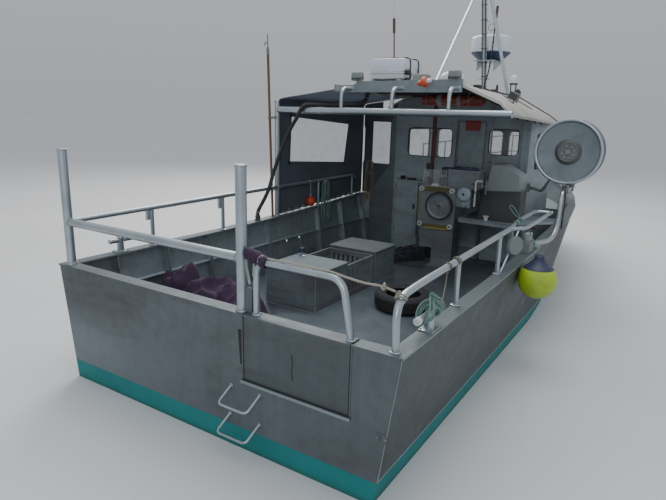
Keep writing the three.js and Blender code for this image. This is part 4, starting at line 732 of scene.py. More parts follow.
class Piece:
    """Gathers closed forms, each with its own finish, into one mesh."""

    def __init__(self, name):
        self.name = name
        self.bm = bmesh.new()
        self.uv = self.bm.loops.layers.uv.new("UVMap")
        self.finishes = []

    def use(self, faces, finish_):
        if finish_ not in self.finishes:
            self.finishes.append(finish_)
        index = self.finishes.index(finish_)
        for face in faces:
            face.material_index = index

    def grown(self, verts):
        return list({face for vert in verts if vert.is_valid for face in vert.link_faces})

    def ease(self, verts, width):
        edges = list({edge for vert in verts for edge in vert.link_edges})
        made = bmesh.ops.bevel(self.bm, geom=edges, offset=width, segments=2, profile=0.7, affect="EDGES",
            clamp_overlap=True)
        return made["verts"]

    def box(self, low, high, finish_, edge=0.003, turn=None, about=None):
        low, high = Vector(low), Vector(high)
        made = bmesh.ops.create_cube(self.bm, size=1.0)["verts"]
        size, middle = high - low, (low + high) / 2
        for vert in made:
            vert.co = Vector([c * s for c, s in zip(vert.co, size)]) + middle
        if edge:
            made = self.ease(made, min(edge, min(size) * 0.45))
        if turn:
            self.turn(made, turn, about or middle)
        faces = self.grown(made)
        self.use(faces, finish_)
        return faces

    def turn(self, verts, turn, about):
        angle, axis = turn
        bmesh.ops.rotate(self.bm, verts=[v for v in set(verts) if v.is_valid], cent=Vector(about),
            matrix=Matrix.Rotation(angle, 3, Vector(axis)))

    def prism(self, outline, start, run, finish_, edge=0.0):
        """A flat outline of points, pushed along run."""
        start, run = Vector(start), Vector(run)
        near = [self.bm.verts.new(start + Vector(p)) for p in outline]
        far = [self.bm.verts.new(v.co + run) for v in near]
        count = len(near)
        faces = [self.bm.faces.new(near), self.bm.faces.new(far[::-1])]
        for i in range(count):
            j = (i + 1) % count
            faces.append(self.bm.faces.new([near[j], near[i], far[i], far[j]]))
        bmesh.ops.recalc_face_normals(self.bm, faces=faces)
        if edge:
            made = self.ease(near + far, edge)
            faces = self.grown([v for v in made if v.is_valid] + [v for v in near + far if v.is_valid])
        self.use(faces, finish_)
        return faces

    def sweep(self, path, ring, finish_, closed=False, lay=0.0):
        """A ring of (side, up) points carried along a path; lay is the turn in radians for each metre."""
        frames = frames_along(path, closed)
        rows, walked, marks = [], 0.0, []
        for i, (point, (side, up)) in enumerate(zip(path, frames)):
            if i:
                walked += (point - path[i - 1]).length
            marks.append(walked)
            c, s = cos(lay * walked), sin(lay * walked)
            rows.append([self.bm.verts.new(point + (a * c - b * s) * side + (a * s + b * c) * up) for a,
                b in ring])
        count = len(ring)
        faces = []
        for i in range(len(rows) - (0 if closed else 1)):
            near, far = rows[i], rows[(i + 1) % len(rows)]
            for j in range(count):
                k = (j + 1) % count
                face = self.bm.faces.new([near[j], near[k], far[k], far[j]])
                faces.append(face)
                for loop, (u, v) in zip(face.loops, ((i, j), (i, j + 1), (i + 1, j + 1), (i + 1, j))):
                    loop[self.uv].uv = (v / count, marks[min(u, len(marks) - 1)])
        if not closed:
            faces += [self.bm.faces.new(rows[0][::-1]), self.bm.faces.new(rows[-1])]
        self.use(faces, finish_)
        return faces

    def tube(self, points, radius, finish_, bend=0.09, sides=None, closed=False, steps=8):
        path = rounded(points, bend, steps, closed) if len(points) > 2 else vectors(points)
        return self.sweep(path, round_section(radius, sides or sizes().tube_sides), finish_, closed)

    def cord(self, path, diameter, finish_, sides=12, closed=False):
        return self.sweep(path, round_section(diameter / 2, sides), finish_, closed)

    def rope(self, path, diameter, finish_, closed=False, sides=15):
        """Three-strand rope, whose lobes turn once in 2.6 diameters."""
        ring = []
        for i in range(sides):
            turn = 2 * pi * i / sides
            reach = diameter / 2 * (0.86 + 0.14 * abs(cos(3 * turn / 2)) ** 0.6)
            ring.append((reach * cos(turn), reach * sin(turn)))
        return self.sweep(path, ring, finish_, closed, lay=2 * pi / (2.6 * diameter))

    def turned(self, profile, origin, axis, finish_, sides=48):
        """Rows of radius and distance along the axis, spun about it; the ends lie on the axis or meet."""
        axis, origin = Vector(axis).normalized(), Vector(origin)
        side = axis.orthogonal().normalized()
        up = axis.cross(side)
        closed = (Vector(profile[0]) - Vector(profile[-1])).length < 1e-7
        rows = []
        for radius, along in profile[:-1] if closed else profile:
            if radius < 1e-7:
                rows.append([self.bm.verts.new(origin + axis * along)])
                continue
            ring = []
            for i in range(sides):
                turn = 2 * pi * i / sides
                ring.append(self.bm.verts.new(origin + axis * along + radius * (cos(turn) * side + sin(turn) *
                    up)))
            rows.append(ring)
        faces = []
        pairs = list(zip(rows, rows[1:])) + ([(rows[-1], rows[0])] if closed else [])
        for near, far in pairs:
            for i in range(sides):
                j = (i + 1) % sides
                if len(near) == 1 and len(far) == 1:
                    continue
                if len(near) == 1:
                    corners = [near[0], far[j], far[i]]
                elif len(far) == 1:
                    corners = [near[i], near[j], far[0]]
                else:
                    corners = [near[i], near[j], far[j], far[i]]
                faces.append(self.bm.faces.new(corners))
        bmesh.ops.recalc_face_normals(self.bm, faces=faces)
        self.use(faces, finish_)
        return faces

    def rod(self, start, end, radius, finish_, edge=0.002, sides=24):
        start, end = Vector(start), Vector(end)
        run = (end - start).length
        edge = min(edge, radius * 0.5, run * 0.4)
        profile = [(0, 0), (radius - edge, 0), (radius, edge), (radius, run - edge), (radius - edge, run),
            (0, run)]
        return self.turned(profile, start, end - start, finish_, sides)

    def ball(self, centre, radius, finish_, sides=32, squash=1.0):
        rows = 16
        profile = [(radius * sin(pi * i / rows), -squash * radius * cos(pi * i / rows)) for i in
            range(rows + 1)]
        profile[0], profile[-1] = (0, profile[0][1]), (0, profile[-1][1])
        return self.turned(profile, centre, UP, finish_, sides)

    def done(self, body="boat", slot=None, replaces=(), sharp=38):
        mesh = bpy.data.meshes.new(self.name)
        self.bm.normal_update()
        self.bm.to_mesh(mesh)
        self.bm.free()
        for each in self.finishes:
            mesh.materials.append(each)
        return settle(self.name, mesh, body, replaces, sharp)


def settle(name, mesh, body="boat", replaces=(), sharp=38):
    """Puts a finished mesh into the scene as a piece that rides on a body."""
    if sharp is not None:
        mesh.shade_smooth()
        mesh.set_sharp_from_angle(angle=radians(sharp))
    thing = bpy.data.objects.new(name, mesh)
    bpy.context.scene.collection.objects.link(thing)
    if body:
        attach(thing, body)
    if replaces:
        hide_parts(*replaces)
    return thing


def clad(node, finish_):
    """Gives a CAD node that shows its finish."""
    mesh = NODES[node].data
    mesh.materials.clear()
    mesh.materials.append(finish_)


def eased(node, finish_, edge=None, body="boat", cuts=(), parts=(), sharp=30):
    """A copy of a CAD node with its plate edges eased, shown in its place.

    cuts are planes, each a point and the way it faces, beyond which the copy is cut off and closed.
    parts are further finishes, each with a test on a face's middle and the way it faces."""
    bm = bmesh.new()
    bm.from_mesh(NODES[node].data)
    bmesh.ops.remove_doubles(bm, verts=bm.verts, dist=2e-5)
    bmesh.ops.dissolve_limit(bm, angle_limit=radians(1.0), verts=bm.verts, edges=bm.edges)
    for point, way in cuts:
        whole = bm.verts[:] + bm.edges[:] + bm.faces[:]
        bmesh.ops.bisect_plane(bm, geom=whole, dist=1e-6, plane_co=point, plane_no=way, clear_outer=True)
        bmesh.ops.holes_fill(bm, edges=[e for e in bm.edges if e.is_boundary], sides=0)
    edges = [e for e in bm.edges if len(e.link_faces) == 2 and e.calc_face_angle(0) > radians(28)]
    bmesh.ops.bevel(bm, geom=edges, offset=edge or sizes().edge, segments=1, profile=0.5, affect="EDGES",
        clamp_overlap=True, harden_normals=False)
    bm.normal_update()
    mesh = bpy.data.meshes.new(node + "_eased")
    mesh.materials.append(finish_)
    for index, (other, test) in enumerate(parts, 1):
        mesh.materials.append(other)
        for face in bm.faces:
            if test(face.calc_center_median(), face.normal):
                face.material_index = index
    bm.to_mesh(mesh)
    bm.free()
    return settle(node + "_eased", mesh, body, (node,), sharp)


# What repeats along a path or over points

class Growth:
    """A Geometry Nodes tree under construction, with named inputs."""

    def __init__(self, name, inputs):
        self.group = bpy.data.node_groups.new(name, "GeometryNodeTree")
        face = self.group.interface
        face.new_socket("Geometry", in_out="INPUT", socket_type="NodeSocketGeometry")
        for label, kind, value in inputs:
            socket = face.new_socket(label, in_out="INPUT", socket_type="NodeSocket" + kind)
            if value is not None:
                socket.default_value = value
        face.new_socket("Geometry", in_out="OUTPUT", socket_type="NodeSocketGeometry")
        self.start = self.group.nodes.new("NodeGroupInput")

    def given(self, label):
        return self.start.outputs[label]

    def add(self, kind, settings=None, out=0, **terms):
        node = self.group.nodes.new(kind)
        for key, value in (settings or {}).items():
            setattr(node, key, value)
        for key, term in terms.items():
            place = node.inputs[int(key[1:])] if key[1:].isdigit() else node.inputs[key.replace("_", " ")]
            if isinstance(term, bpy.types.NodeSocket):
                self.group.links.new(term, place)
            else:
                place.default_value = term
        return node.outputs[out]

    def close(self, instances):
        """Realizes what was laid out, gives it its material and ends the tree."""
        whole = self.add("GeometryNodeRealizeInstances", Geometry=instances)
        done = self.add("GeometryNodeSetMaterial", Geometry=whole, Material=self.given("Material"))
        end = self.group.nodes.new("NodeGroupOutput")
        self.group.links.new(done, end.inputs[0])
        return self.group


def bead_tree():
    """Ripples of a weld, one after another along the paths."""
    tree = Growth("weld_ripples", [("Width", "Float", 0.009), ("Pitch", "Float", 0.006), ("Seed", "Int", 4),
        ("Material", "Material", None)])
    line = tree.add("GeometryNodeMeshToCurve", Mesh=tree.given("Geometry"))
    stops = tree.add("GeometryNodeResampleCurve", {"mode": "LENGTH"}, Curve=line, Length=tree.given("Pitch"))
    tangent = tree.add("GeometryNodeInputTangent")
    turn = tree.add("FunctionNodeAlignRotationToVector", {"axis": "Z"}, Vector=tangent)
    drop = tree.add("GeometryNodeMeshIcoSphere", Radius=0.5, Subdivisions=1)
    size = tree.add("FunctionNodeRandomValue", {"data_type": "FLOAT_VECTOR"}, Min=(0.8, 0.8, 0.7),
        Max=(1.1, 1.1, 1.0), Seed=tree.given("Seed"))
    scale = tree.add("ShaderNodeVectorMath", {"operation": "SCALE"}, _0=size, Scale=tree.given("Width"))
    return tree.close(tree.add("GeometryNodeInstanceOnPoints", Points=stops, Instance=drop, Rotation=turn,
        Scale=scale))


def stud_tree():
    """Hexagon heads standing on points that carry the way they face."""
    tree = Growth("bolt_heads", [("Radius", "Float", 0.008), ("Height", "Float", 0.006), ("Sides", "Int", 6),
        ("Material", "Material", None)])
    aim = tree.add("GeometryNodeInputNamedAttribute", {"data_type": "FLOAT_VECTOR"}, Name="aim")
    turn = tree.add("FunctionNodeAlignRotationToVector", {"axis": "Z"}, Vector=aim)
    washer = tree.add("GeometryNodeMeshCylinder", Vertices=12, Radius=1.55, Depth=0.36)
    head = tree.add("GeometryNodeMeshCone", {"fill_type": "NGON"}, Vertices=tree.given("Sides"),
        Radius_Top=0.82, Radius_Bottom=1.0, Depth=1.5)
    both = tree.group.nodes.new("GeometryNodeJoinGeometry")
    for part in (washer, head):
        tree.group.links.new(part, both.inputs[0])
    points = tree.add("GeometryNodeMeshToPoints", Mesh=tree.given("Geometry"), Radius=0.01)
    laid = tree.add("GeometryNodeInstanceOnPoints", Points=points, Instance=both.outputs[0], Rotation=turn,
        Scale=tree.add("ShaderNodeCombineXYZ", X=tree.given("Radius"), Y=tree.given("Radius"),
        Z=tree.given("Height")))
    return tree.close(laid)


def stitch_tree():
    """Short threads laid end to end along the paths, a gap between each two."""
    tree = Growth("stitches", [("Pitch", "Float", 0.009), ("Thread", "Float", 0.0012), ("Seed", "Int", 9),
        ("Material", "Material", None)])
    line = tree.add("GeometryNodeMeshToCurve", Mesh=tree.given("Geometry"))
    stops = tree.add("GeometryNodeResampleCurve", {"mode": "LENGTH"}, Curve=line, Length=tree.given("Pitch"))
    turn = tree.add("FunctionNodeAlignRotationToVector", {"axis": "Z"},
        Vector=tree.add("GeometryNodeInputTangent"))
    thread = tree.add("GeometryNodeMeshCylinder", Vertices=5, Radius=1.0, Depth=2.0)
    long_way = tree.add("ShaderNodeMath", {"operation": "MULTIPLY"}, _0=tree.given("Pitch"), _1=0.36)
    size = tree.add("ShaderNodeCombineXYZ", X=tree.given("Thread"), Y=tree.given("Thread"), Z=long_way)
    return tree.close(tree.add("GeometryNodeInstanceOnPoints", Points=stops, Instance=thread, Rotation=turn,
        Scale=size))


def tread_tree():
    """Blocks standing on points that carry the way they face."""
    tree = Growth("tread_blocks", [("Width", "Float", 0.026), ("Height", "Float", 0.02), ("Depth", "Float",
        0.007), ("Seed", "Int", 3), ("Material", "Material", None)])
    aim = tree.add("GeometryNodeInputNamedAttribute", {"data_type": "FLOAT_VECTOR"}, Name="aim")
    face = tree.add("FunctionNodeAlignRotationToVector", {"axis": "X"}, Vector=aim)
    upright = tree.add("FunctionNodeAlignRotationToVector", {"axis": "Z", "pivot_axis": "X"}, Rotation=face,
        Vector=(0, 0, 1))
    size = tree.add("ShaderNodeCombineXYZ", X=tree.given("Depth"), Y=tree.given("Width"),
        Z=tree.given("Height"))
    block = tree.add("GeometryNodeMeshCube", Size=size)
    worn = tree.add("FunctionNodeRandomValue", {"data_type": "FLOAT_VECTOR"}, Min=(0.9, 0.9, 0.94),
        Max=(1.0, 1.0, 1.0), Seed=tree.given("Seed"))
    points = tree.add("GeometryNodeMeshToPoints", Mesh=tree.given("Geometry"), Radius=0.01)
    return tree.close(tree.add("GeometryNodeInstanceOnPoints", Points=points, Instance=block,
        Rotation=upright, Scale=worn))


def grown(name, source, group, values, body="boat", sharp=38):
    """Runs a tree on a mesh of points or paths, and settles the plain mesh that comes out."""
    seedling = bpy.data.objects.new(name + "_source", source)
    bpy.context.scene.collection.objects.link(seedling)
    modifier = seedling.modifiers.new("rows", "NODES")
    modifier.node_group = group
    for item in group.interface.items_tree:
        if item.in_out == "INPUT" and item.name in values:
            modifier[item.identifier] = values[item.name]
    graph = bpy.context.evaluated_depsgraph_get()
    mesh = bpy.data.meshes.new_from_object(seedling.evaluated_get(graph), depsgraph=graph)
    seedling.modifiers.remove(modifier)
    bpy.data.objects.remove(seedling)
    mesh.name = name
    return settle(name, mesh, body, sharp=sharp)


def path_mesh(name, paths):
    verts, edges = [], []
    for path in paths:
        first = len(verts)
        verts += [tuple(point) for point in path]
        edges += [(first + i, first + i + 1) for i in range(len(path) - 1)]
    mesh = bpy.data.meshes.new(name)
    mesh.from_pydata(verts, edges, [])
    return mesh


def point_mesh(name, rows):
    mesh = bpy.data.meshes.new(name)
    mesh.from_pydata([tuple(point) for point, _ in rows], [], [])
    aims = mesh.attributes.new("aim", "FLOAT_VECTOR", "POINT")
    aims.data.foreach_set("vector", [c for _, aim in rows for c in Vector(aim).normalized()])
    return mesh


def circle(centre, radius, axis, count=32):
    centre, axis = Vector(centre), Vector(axis).normalized()
    side = axis.orthogonal().normalized()
    up = axis.cross(side)
    turns = [2 * pi * i / count for i in range(count + 1)]
    return [centre + radius * (cos(turn) * side + sin(turn) * up) for turn in turns]


WELDS = {}
BOLTS = {}


def weld(*path, body="boat"):
    WELDS.setdefault(body, []).append(vectors(path))


def weld_ring(centre, radius, axis=UP, body="boat"):
    weld(*circle(centre, radius, axis), body=body)


def bolt(point, aim, size=0.009, body="boat"):
    BOLTS.setdefault((body, size), []).append((Vector(point), Vector(aim)))


def corner_bolts(x, y, z, wide, long, size):
    for dx in (-wide, wide):
        for dy in (-long, long):
            bolt((x + dx, y + dy, z), UP, size)


# Hull lines, as the sides and the gunwale follow them

SHEER = {"length": 9.6, "half": 1.65, "taper": 0.47, "fullness": 2.2, "z": 1.02, "rise": 0.42, "lift": 0.2,
    "curl": 1.6}
CHINE = {"length": 8.9, "half": 1.48, "taper": 0.42, "fullness": 2.0, "z": -0.2, "rise": 0.33, "lift": 0.35,
    "curl": 2.0}


def line_point(line, t):
    narrowing = max(0.0, (t - line["taper"]) / (1 - line["taper"])) ** line["fullness"]
    lifting = max(0.0, (t - line["lift"]) / (1 - line["lift"])) ** line["curl"]
    return Vector((max(0.016, line["half"] * (1 - narrowing)), t * line["length"], line["z"] + line["rise"] *
        lifting))


def side_point(t, z):
    low, high = line_point(CHINE, t), line_point(SHEER, t)
    return low.lerp(high, (z - low.z) / (high.z - low.z))


def sheer_height(y):
    return line_point(SHEER, y / SHEER["length"]).z


def rim_height(y):
    return sheer_height(y) + 0.01


def roof_row(y):
    """Where the roof's four lines lie at a place along the boat."""
    row = []
    for a, b in ROOF_LINES.values():
        a, b = Vector(a), Vector(b)
        point = a.lerp(b, (y - a.y) / (b.y - a.y))
        row.append(vec(point.x, y, point.z))
    return row


def roof_height(x, y):
    row = roof_row(y)
    for a, b in zip(row, row[1:]):
        if x <= b.x:
            return a.z + (b.z - a.z) * (x - a.x) / (b.x - a.x)
    return row[-1].z


# Stage

CAMERA_AT = (2.8474, -2.6477, 2.3588)
CAMERA_TURNS = (32.3, 13.82, -1.54)
STAGE_MIDDLE = (0, 2.5, 0.8)


class BOAT_OT_stage(bpy.types.Operator):
    """Camera, pale floor at the waterline and soft studio light"""
    bl_idname = "boat.stage"
    bl_label = "Stage"

    def execute(self, context):
        yaw, pitch, roll = (radians(turn) for turn in CAMERA_TURNS)
        ahead = Vector((-sin(yaw) * cos(pitch), cos(yaw) * cos(pitch), -sin(pitch)))
        level = Vector((cos(yaw), sin(yaw), 0))
        down = ahead.cross(level)
        right = cos(roll) * level + sin(roll) * down
        below = -sin(roll) * level + cos(roll) * down
        camera = bpy.data.objects.new("camera", bpy.data.cameras.new("camera"))
        camera.data.sensor_width = 36
        camera.data.lens = 29.8
        camera.data.clip_start, camera.data.clip_end = 0.05, 400
        turned = Matrix((right, -below, -ahead)).transposed()
        camera.matrix_world = Matrix.Translation(CAMERA_AT) @ turned.to_4x4()
        context.scene.collection.objects.link(camera)
        context.scene.camera = camera

        bm = bmesh.new()
        bmesh.ops.create_circle(bm, cap_ends=True, segments=96, radius=150)
        mesh = bpy.data.meshes.new("floor")
        bm.to_mesh(mesh)
        bm.free()
        mesh.materials.append(finish(floor_paint))
        floor = bpy.data.objects.new("floor", mesh)
        context.scene.collection.objects.link(floor)
        floor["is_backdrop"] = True

        lamps = (
            ("key", (-7.5, 12.0, 11.0), 9.0, 1500, (1.0, 0.95, 0.9)),
            ("fill", (5.0, -11.0, 6.0), 8.0, 330, (0.86, 0.93, 1.0)),
            ("top", (0.5, 3.0, 13.0), 9.0, 620, (0.96, 0.98, 1.0)),
        )
        for name, place, size, power, tint in lamps:
            light = bpy.data.lights.new(name, "AREA")
            light.shape, light.size, light.energy, light.color = "DISK", size, power, tint
            lamp = bpy.data.objects.new(name, light)
            lamp.location = place
            lamp.rotation_euler = (Vector(STAGE_MIDDLE) - Vector(place)).to_track_quat("-Z", "Y").to_euler()
            context.scene.collection.objects.link(lamp)

        world = bpy.data.worlds.new("studio")
        world.use_nodes = True
        context.scene.world = world
        tree = world.node_tree
        place = tree.nodes.new("ShaderNodeTexCoord")
        parts = tree.nodes.new("ShaderNodeSeparateXYZ")
        ramp = tree.nodes.new("ShaderNodeValToRGB")
        tree.links.new(place.outputs["Generated"], parts.inputs[0])
        tree.links.new(parts.outputs[2], ramp.inputs[0])
        ramp.color_ramp.elements[0].color = (0.5, 0.51, 0.53, 1)
        ramp.color_ramp.elements[1].color = (0.86, 0.9, 0.96, 1)
        background = next(n for n in tree.nodes if n.type == "BACKGROUND")
        background.inputs[1].default_value = 0.85
        tree.links.new(ramp.outputs[0], background.inputs[0])
        return {"FINISHED"}


# Cords

HOSE = ((-0.56, 3.42, 2.6), (-0.56, 3.42, 2.56), (-0.59, 3.35, 2.505), (-0.67, 3.245, 2.48),
    (-0.79, 3.15, 2.47), (-0.93, 3.065, 2.467), (-1.04, 3.005, 2.467), (-1.102, 2.96, 2.467), (-1.15, 2.922,
    2.446), (-1.18, 2.901, 2.395), (-1.212, 2.892, 2.325), (-1.26, 2.884, 2.25), (-1.304, 2.874, 2.175),
    (-1.35, 2.862, 2.078), (-1.392, 2.847, 1.974), (-1.433, 2.83, 1.865), (-1.464, 2.808, 1.755),
    (-1.49, 2.782, 1.645), (-1.506, 2.752, 1.536), (-1.517, 2.72, 1.436), (-1.545, 2.692, 1.343),
    (-1.575, 2.662, 1.26), (-1.595, 2.63, 1.195), (-1.601, 2.606, 1.15), (-1.602, 2.603, 1.11))
BUOY_AT = Vector((side_point(2.62 / 9.6, 0.89).x + 0.178 - 0.0006, 2.62, 0.89))
BUOY_R = 0.178
BUOY_ROPE = ((1.675, 2.64, 1.3643), (1.69, 2.637, 1.33), (1.722, 2.632, 1.275), (1.76, 2.627, 1.215),
    (1.792, 2.622, 1.165), (BUOY_AT.x - 0.001, 2.62, 1.1374))


class BOAT_OT_cords(bpy.types.Operator):
    """Deck hose and the rope that the buoy hangs from"""
    bl_idname = "boat.cords"
    bl_label = "Hose and buoy rope"

    def execute(self, context):
        path = even(catmull(HOSE, 8), 0.02)
        hose = Piece("deck_hose")
        hose.cord(path, 0.046, finish(rubber, "hose_rubber", 0.9), sides=20)
        thing = hose.done(slot="rubber", replaces=("hose",))
        round(path_length(path), 3)
        collars = Piece("hose_collars")
        clip = finish(steel, "hose_clip", (0.24, 0.25, 0.26), 0.3, 0.4, 0.8)
        for point, toward in ((path[2], path[3]), (path[-3], path[-2])):
            way = (toward - point).normalized()
            collars.turned(collar(0.0235, 0.0262, 0, 0.014), point, way, clip, 24)
        dark = finish(steel, "spigot_steel", (0.1, 0.105, 0.11), 0.3, 0.5, 0.6)
        foot = rim_height(2.603) - 0.001
        collars.turned([(0, 0), (0.04, 0), (0.04, 0.01), (0.0325, 0.014), (0.0325, 1.1065 - foot),
            (0, 1.1065 - foot)], (-1.602, 2.603, foot), UP, dark, 32)
        collars.turned([(0, 0), (0.033, 0), (0.033, 0.05), (0.042, 0.056), (0.042, 0.0712), (0, 0.0712)],
            (-0.56, 3.42, 2.6004), UP, dark, 32)
        collars.done(slot="tube")

        drop = even(catmull(BUOY_ROPE, 12), 0.004)
        line = Piece("buoy_line")
        line.rope(drop, 0.012, green_yarn())
        thing = line.done(slot="green_rope", replaces=("buoy_rope",), sharp=60)
        round(path_length(drop), 3)
        return {"FINISHED"}


# Hull, decks and sides

class BOAT_OT_hull(bpy.types.Operator):
    """Bottom with its boot top, main deck, propeller, rudder and engine"""
    bl_idname = "boat.hull"
    bl_label = "Hull"

    def execute(self, context):
        eased("hull", finish(boot_paint))
        eased("main_deck", finish(tread_plate))
        eased("rudder", finish(steel, "rudder_steel", (0.1, 0.13, 0.13), 0.5), body="rudder")
        eased("propeller", finish(bronze), 0.002, body="propeller")
        clad("engine_block", finish(steel, "engine_paint", (0.05, 0.09, 0.12), 0.3))
        anodes = Piece("hull_anodes")
        zinc = finish(steel, "zinc", (0.42, 0.43, 0.43), 0.0, 0.6, 0.5)
        for side in (-1, 1):
            anodes.box((side * 0.03, 2.2, -0.86), (side * 0.062, 2.5, -0.76), zinc, 0.012)
            anodes.box((side * 0.03, 4.4, -0.82), (side * 0.062, 4.7, -0.72), zinc, 0.012)
        anodes.done(slot="dark_steel")
        return {"FINISHED"}


class BOAT_OT_topsides(bpy.types.Operator):
    """Both sides with their frames, gunwales, bitts and freeing ports"""
    bl_idname = "boat.topsides"
    bl_label = "Topsides"

    def execute(self, context):
        skin = shared("side_plate")
        # Painted shade: the outer faces of both sides take a much darker copy of the plate
        outer = finish(plate, "side_plate_outer", 0.42, 0.9, 0.6, 0.5)
        # Painted shade: the gunwale tops take a darker copy of the plate
        shaded_cap = finish(plate, "gunwale_plate", 0.55, 0.4, 0.3, 0.65)
        for side, node in ((-1, "topside_port"), (1, "topside_starboard")):
            eased(node, skin, parts=[(outer, lambda at, way, side=side: way.x * side > 0.5 and
                at.z < sheer_height(at.y) - 0.01), (shaded_cap, lambda at, way: way.z > 0.7 and at.z >
                sheer_height(at.y) - 0.01)])
            corner = [side_point(0, 0.17 + 0.85 * i / 20) for i in range(21)]
            weld(*[(side * (p.x + 0.001), 0.012, p.z) for p in corner])
            seam = [side_point(i / 40, 0.1653) for i in range(41)]
            weld(*[(side * (p.x + 0.001), p.y + 0.013, p.z) for p in seam[:34]])
        bright = finish(tube)
        nylon = shared("white_nylon")
        for name, side, y, back, front in (("bitt_port", -1, 0.59, 0.12, 0.14), ("bitt_starboard", 1, 0.5,
                0.205, 0.185)):
            x, foot = side * BITT_X, 1.022
            post = Piece(name)
            post.box((x - 0.0515, y - 0.0615, foot), (x + 0.0515, y + 0.0615, foot + 0.0195), bright, 0.003)
            post.turned([(0, 0.004), (0.0318, 0.004), (0.0318, 0.15), (0.028, 0.1535), (0, 0.1535)],
                (x, y, foot), UP, bright, 40)
            bar = [(0, -back - 0.001), (0.019, -back - 0.001), (0.0225, -back + 0.003),
                (0.0225, front - 0.003), (0.019, front + 0.001), (0, front + 0.001)]
            post.turned(bar, (x, y, foot + 0.122), AHEAD, bright, 40)
            if side > 0:
                for end, way in ((y - back, -1), (y + front, 1)):
                    ring = [(0.0228, -0.03), (0.0262, -0.03), (0.0262, -0.004), (0.02, 0.004), (0, 0.004),
                        (0, -0.002), (0.0228, -0.002), (0.0228, -0.03)]
                    post.turned(ring, (x, end, foot + 0.122), (0, way, 0), nylon, 32)
            post.done(slot="tube")
            weld_ring((x, y, foot + 0.0205), 0.033)
            corner_bolts(x, y, foot + 0.0195, 0.038, 0.046, 0.006)
        drains = Piece("freeing_port_rims")
        flaps = Piece("freeing_port_flaps")
        for side in (-1, 1):
            for y in (3.19, 3.48):
                low, high = side_point(y / 9.6, 0.452), side_point(y / 9.6, 0.698)
                rim = [(side * (p.x + 0.002), y + dy, p.z) for p, dy in ((low, -0.024), (low, 0.024),
                    (high, 0.024), (high, -0.024))]
                drains.tube(rim, 0.004, skin, 0.014, 8, closed=True, steps=4)
                sill = side_point(y / 9.6, 0.664)
                flaps.prism([(side * low.x, y - 0.0195, low.z + 0.004), (side * low.x, y + 0.0195,
                    low.z + 0.004), (side * sill.x, y + 0.0195, sill.z), (side * sill.x, y - 0.0195, sill.z)],
                    (side * -0.0008, 0, 0), (side * -0.0022, 0, 0), skin, 0.0005)
        drains.done(slot="plate")
        flaps.done(slot="plate")
        return {"FINISHED"}


# Stern

class BOAT_OT_stern(bpy.types.Operator):
    """Transom with its rungs, and the lift-out gate with its hoop and clamp"""
    bl_idname = "boat.stern"
    bl_label = "Transom and gate"

    def execute(self, context):
        # Painted shade: the transom and gate take a darker copy of the plate, with painted light low towards
        # port and painted shade towards starboard
        skin = finish(plate, "stern_plate", 0.57, 0.9, 0.42, 0.58, 0.42)
        inner = shared("side_plate")
        bright = finish(tube)
        pale = finish(plate, "ledge_plate", 1.15, 0.3, 0.2)
        gap = finish(rubber, "gate_gap", 0.5)
        eased("transom", skin, cuts=[((0, -0.0045, 0.5), ASTERN)],
            parts=[(inner, lambda at, way: at.y > 0.02 and way.z < 0.7)])
        rungs = Piece("transom_rungs")
        for x0, x1, z, slew, drop in ((0.35, 0.612, 0.475, 0.022, 0.098), (0.336, 0.606, 0.25, 0.028, 0.104)):
            rungs.tube([(x0, 0.004, z), (x0 - slew, -0.12, z - drop), (x1 - slew, -0.12, z - drop),
                (x1, 0.004, z)], 0.0095, bright, 0.04, 16)
            for x in (x0, x1):
                weld_ring((x, -0.002, z - 0.001), 0.0125, AHEAD)
        rungs.done(slot="tube")

        fittings = Piece("transom_fittings")
        fittings.box((1.515, -0.005, 0.455), (1.585, 0.002, 0.515), skin, 0.002)
        fittings.box((1.53, -0.012, 0.47), (1.548, -0.004, 0.5), skin, 0.002)
        for x in (0.459, 1.325):
            fittings.box((x - 0.0045, -0.0035, 0.556), (x + 0.0045, 0.0015, 1.012), skin, 0.001)
        fittings.box((0.448, -0.015, 0.526), (1.334, 0.0015, 0.5445), pale, 0.002)
        fittings.box((0.452, -0.005, 0.5446), (1.332, 0.0012, 0.556), gap, 0.001)
        fittings.prism([(0.42, -0.001, 0.915), (0.4535, -0.001, 0.915), (0.4535, -0.001, 0.66),
            (0.438, -0.001, 0.66)], (0, 0, 0), (0, 0.002, 0), gap)
        fittings.done(slot="plate")
        for x in (1.522, 1.578):
            bolt((x, -0.005, 0.485), ASTERN, 0.005)

        eased("stern_gate", skin, body="stern_gate", cuts=[((0, 0, 1.0312), (0, 0, 1))])
        mark = Piece("gate_marks")
        mark.sweep(catmull([(0.878, -0.0006, 0.845), (0.884, -0.0006, 0.79), (0.88, -0.0006, 0.72),
            (0.889, -0.0006, 0.665)], 8), [(-0.0032, -0.0005), (0.0032, -0.0005), (0.0014, 0.0006),
            (-0.0014, 0.0006)], gap)
        mark.done("stern_gate", "plate")
        hoop = Piece("gate_hoop")
        hoop.tube([(HOOP_PORT, GALLOWS_Y, 1.031), (HOOP_PORT, GALLOWS_Y, RAIL_Z), (1.215, GALLOWS_Y, RAIL_Z),
            (HOOP_STARBOARD, GALLOWS_Y, 1.031)], 0.024, bright, 0.1)
        for x in (HOOP_PORT, HOOP_STARBOARD):
            hoop.turned([(0.0243, 0), (0.034, 0), (0.034, 0.004), (0.027, 0.01), (0.0243, 0.01), (0.0243, 0)],
                (x, GALLOWS_Y, 1.0305), UP, bright, 32)
        hoop.done("stern_gate", "tube")
        for x in (HOOP_PORT, HOOP_STARBOARD):
            weld_ring((x, GALLOWS_Y, 1.0425), 0.0255, body="stern_gate")
        clamp = Piece("gate_clamp")
        clamp.box((0.4545, 0.037, 1.034), (0.516, 0.044, 1.215), skin, 0.002)
        clamp.box((0.4545, 0.07, 1.034), (0.516, 0.077, 1.165), skin, 0.002)
        clamp.done("boat", "plate")
        for z in (1.07, 1.14):
            bolt((0.48, 0.077, z), AHEAD, 0.0065)
        return {"FINISHED"}


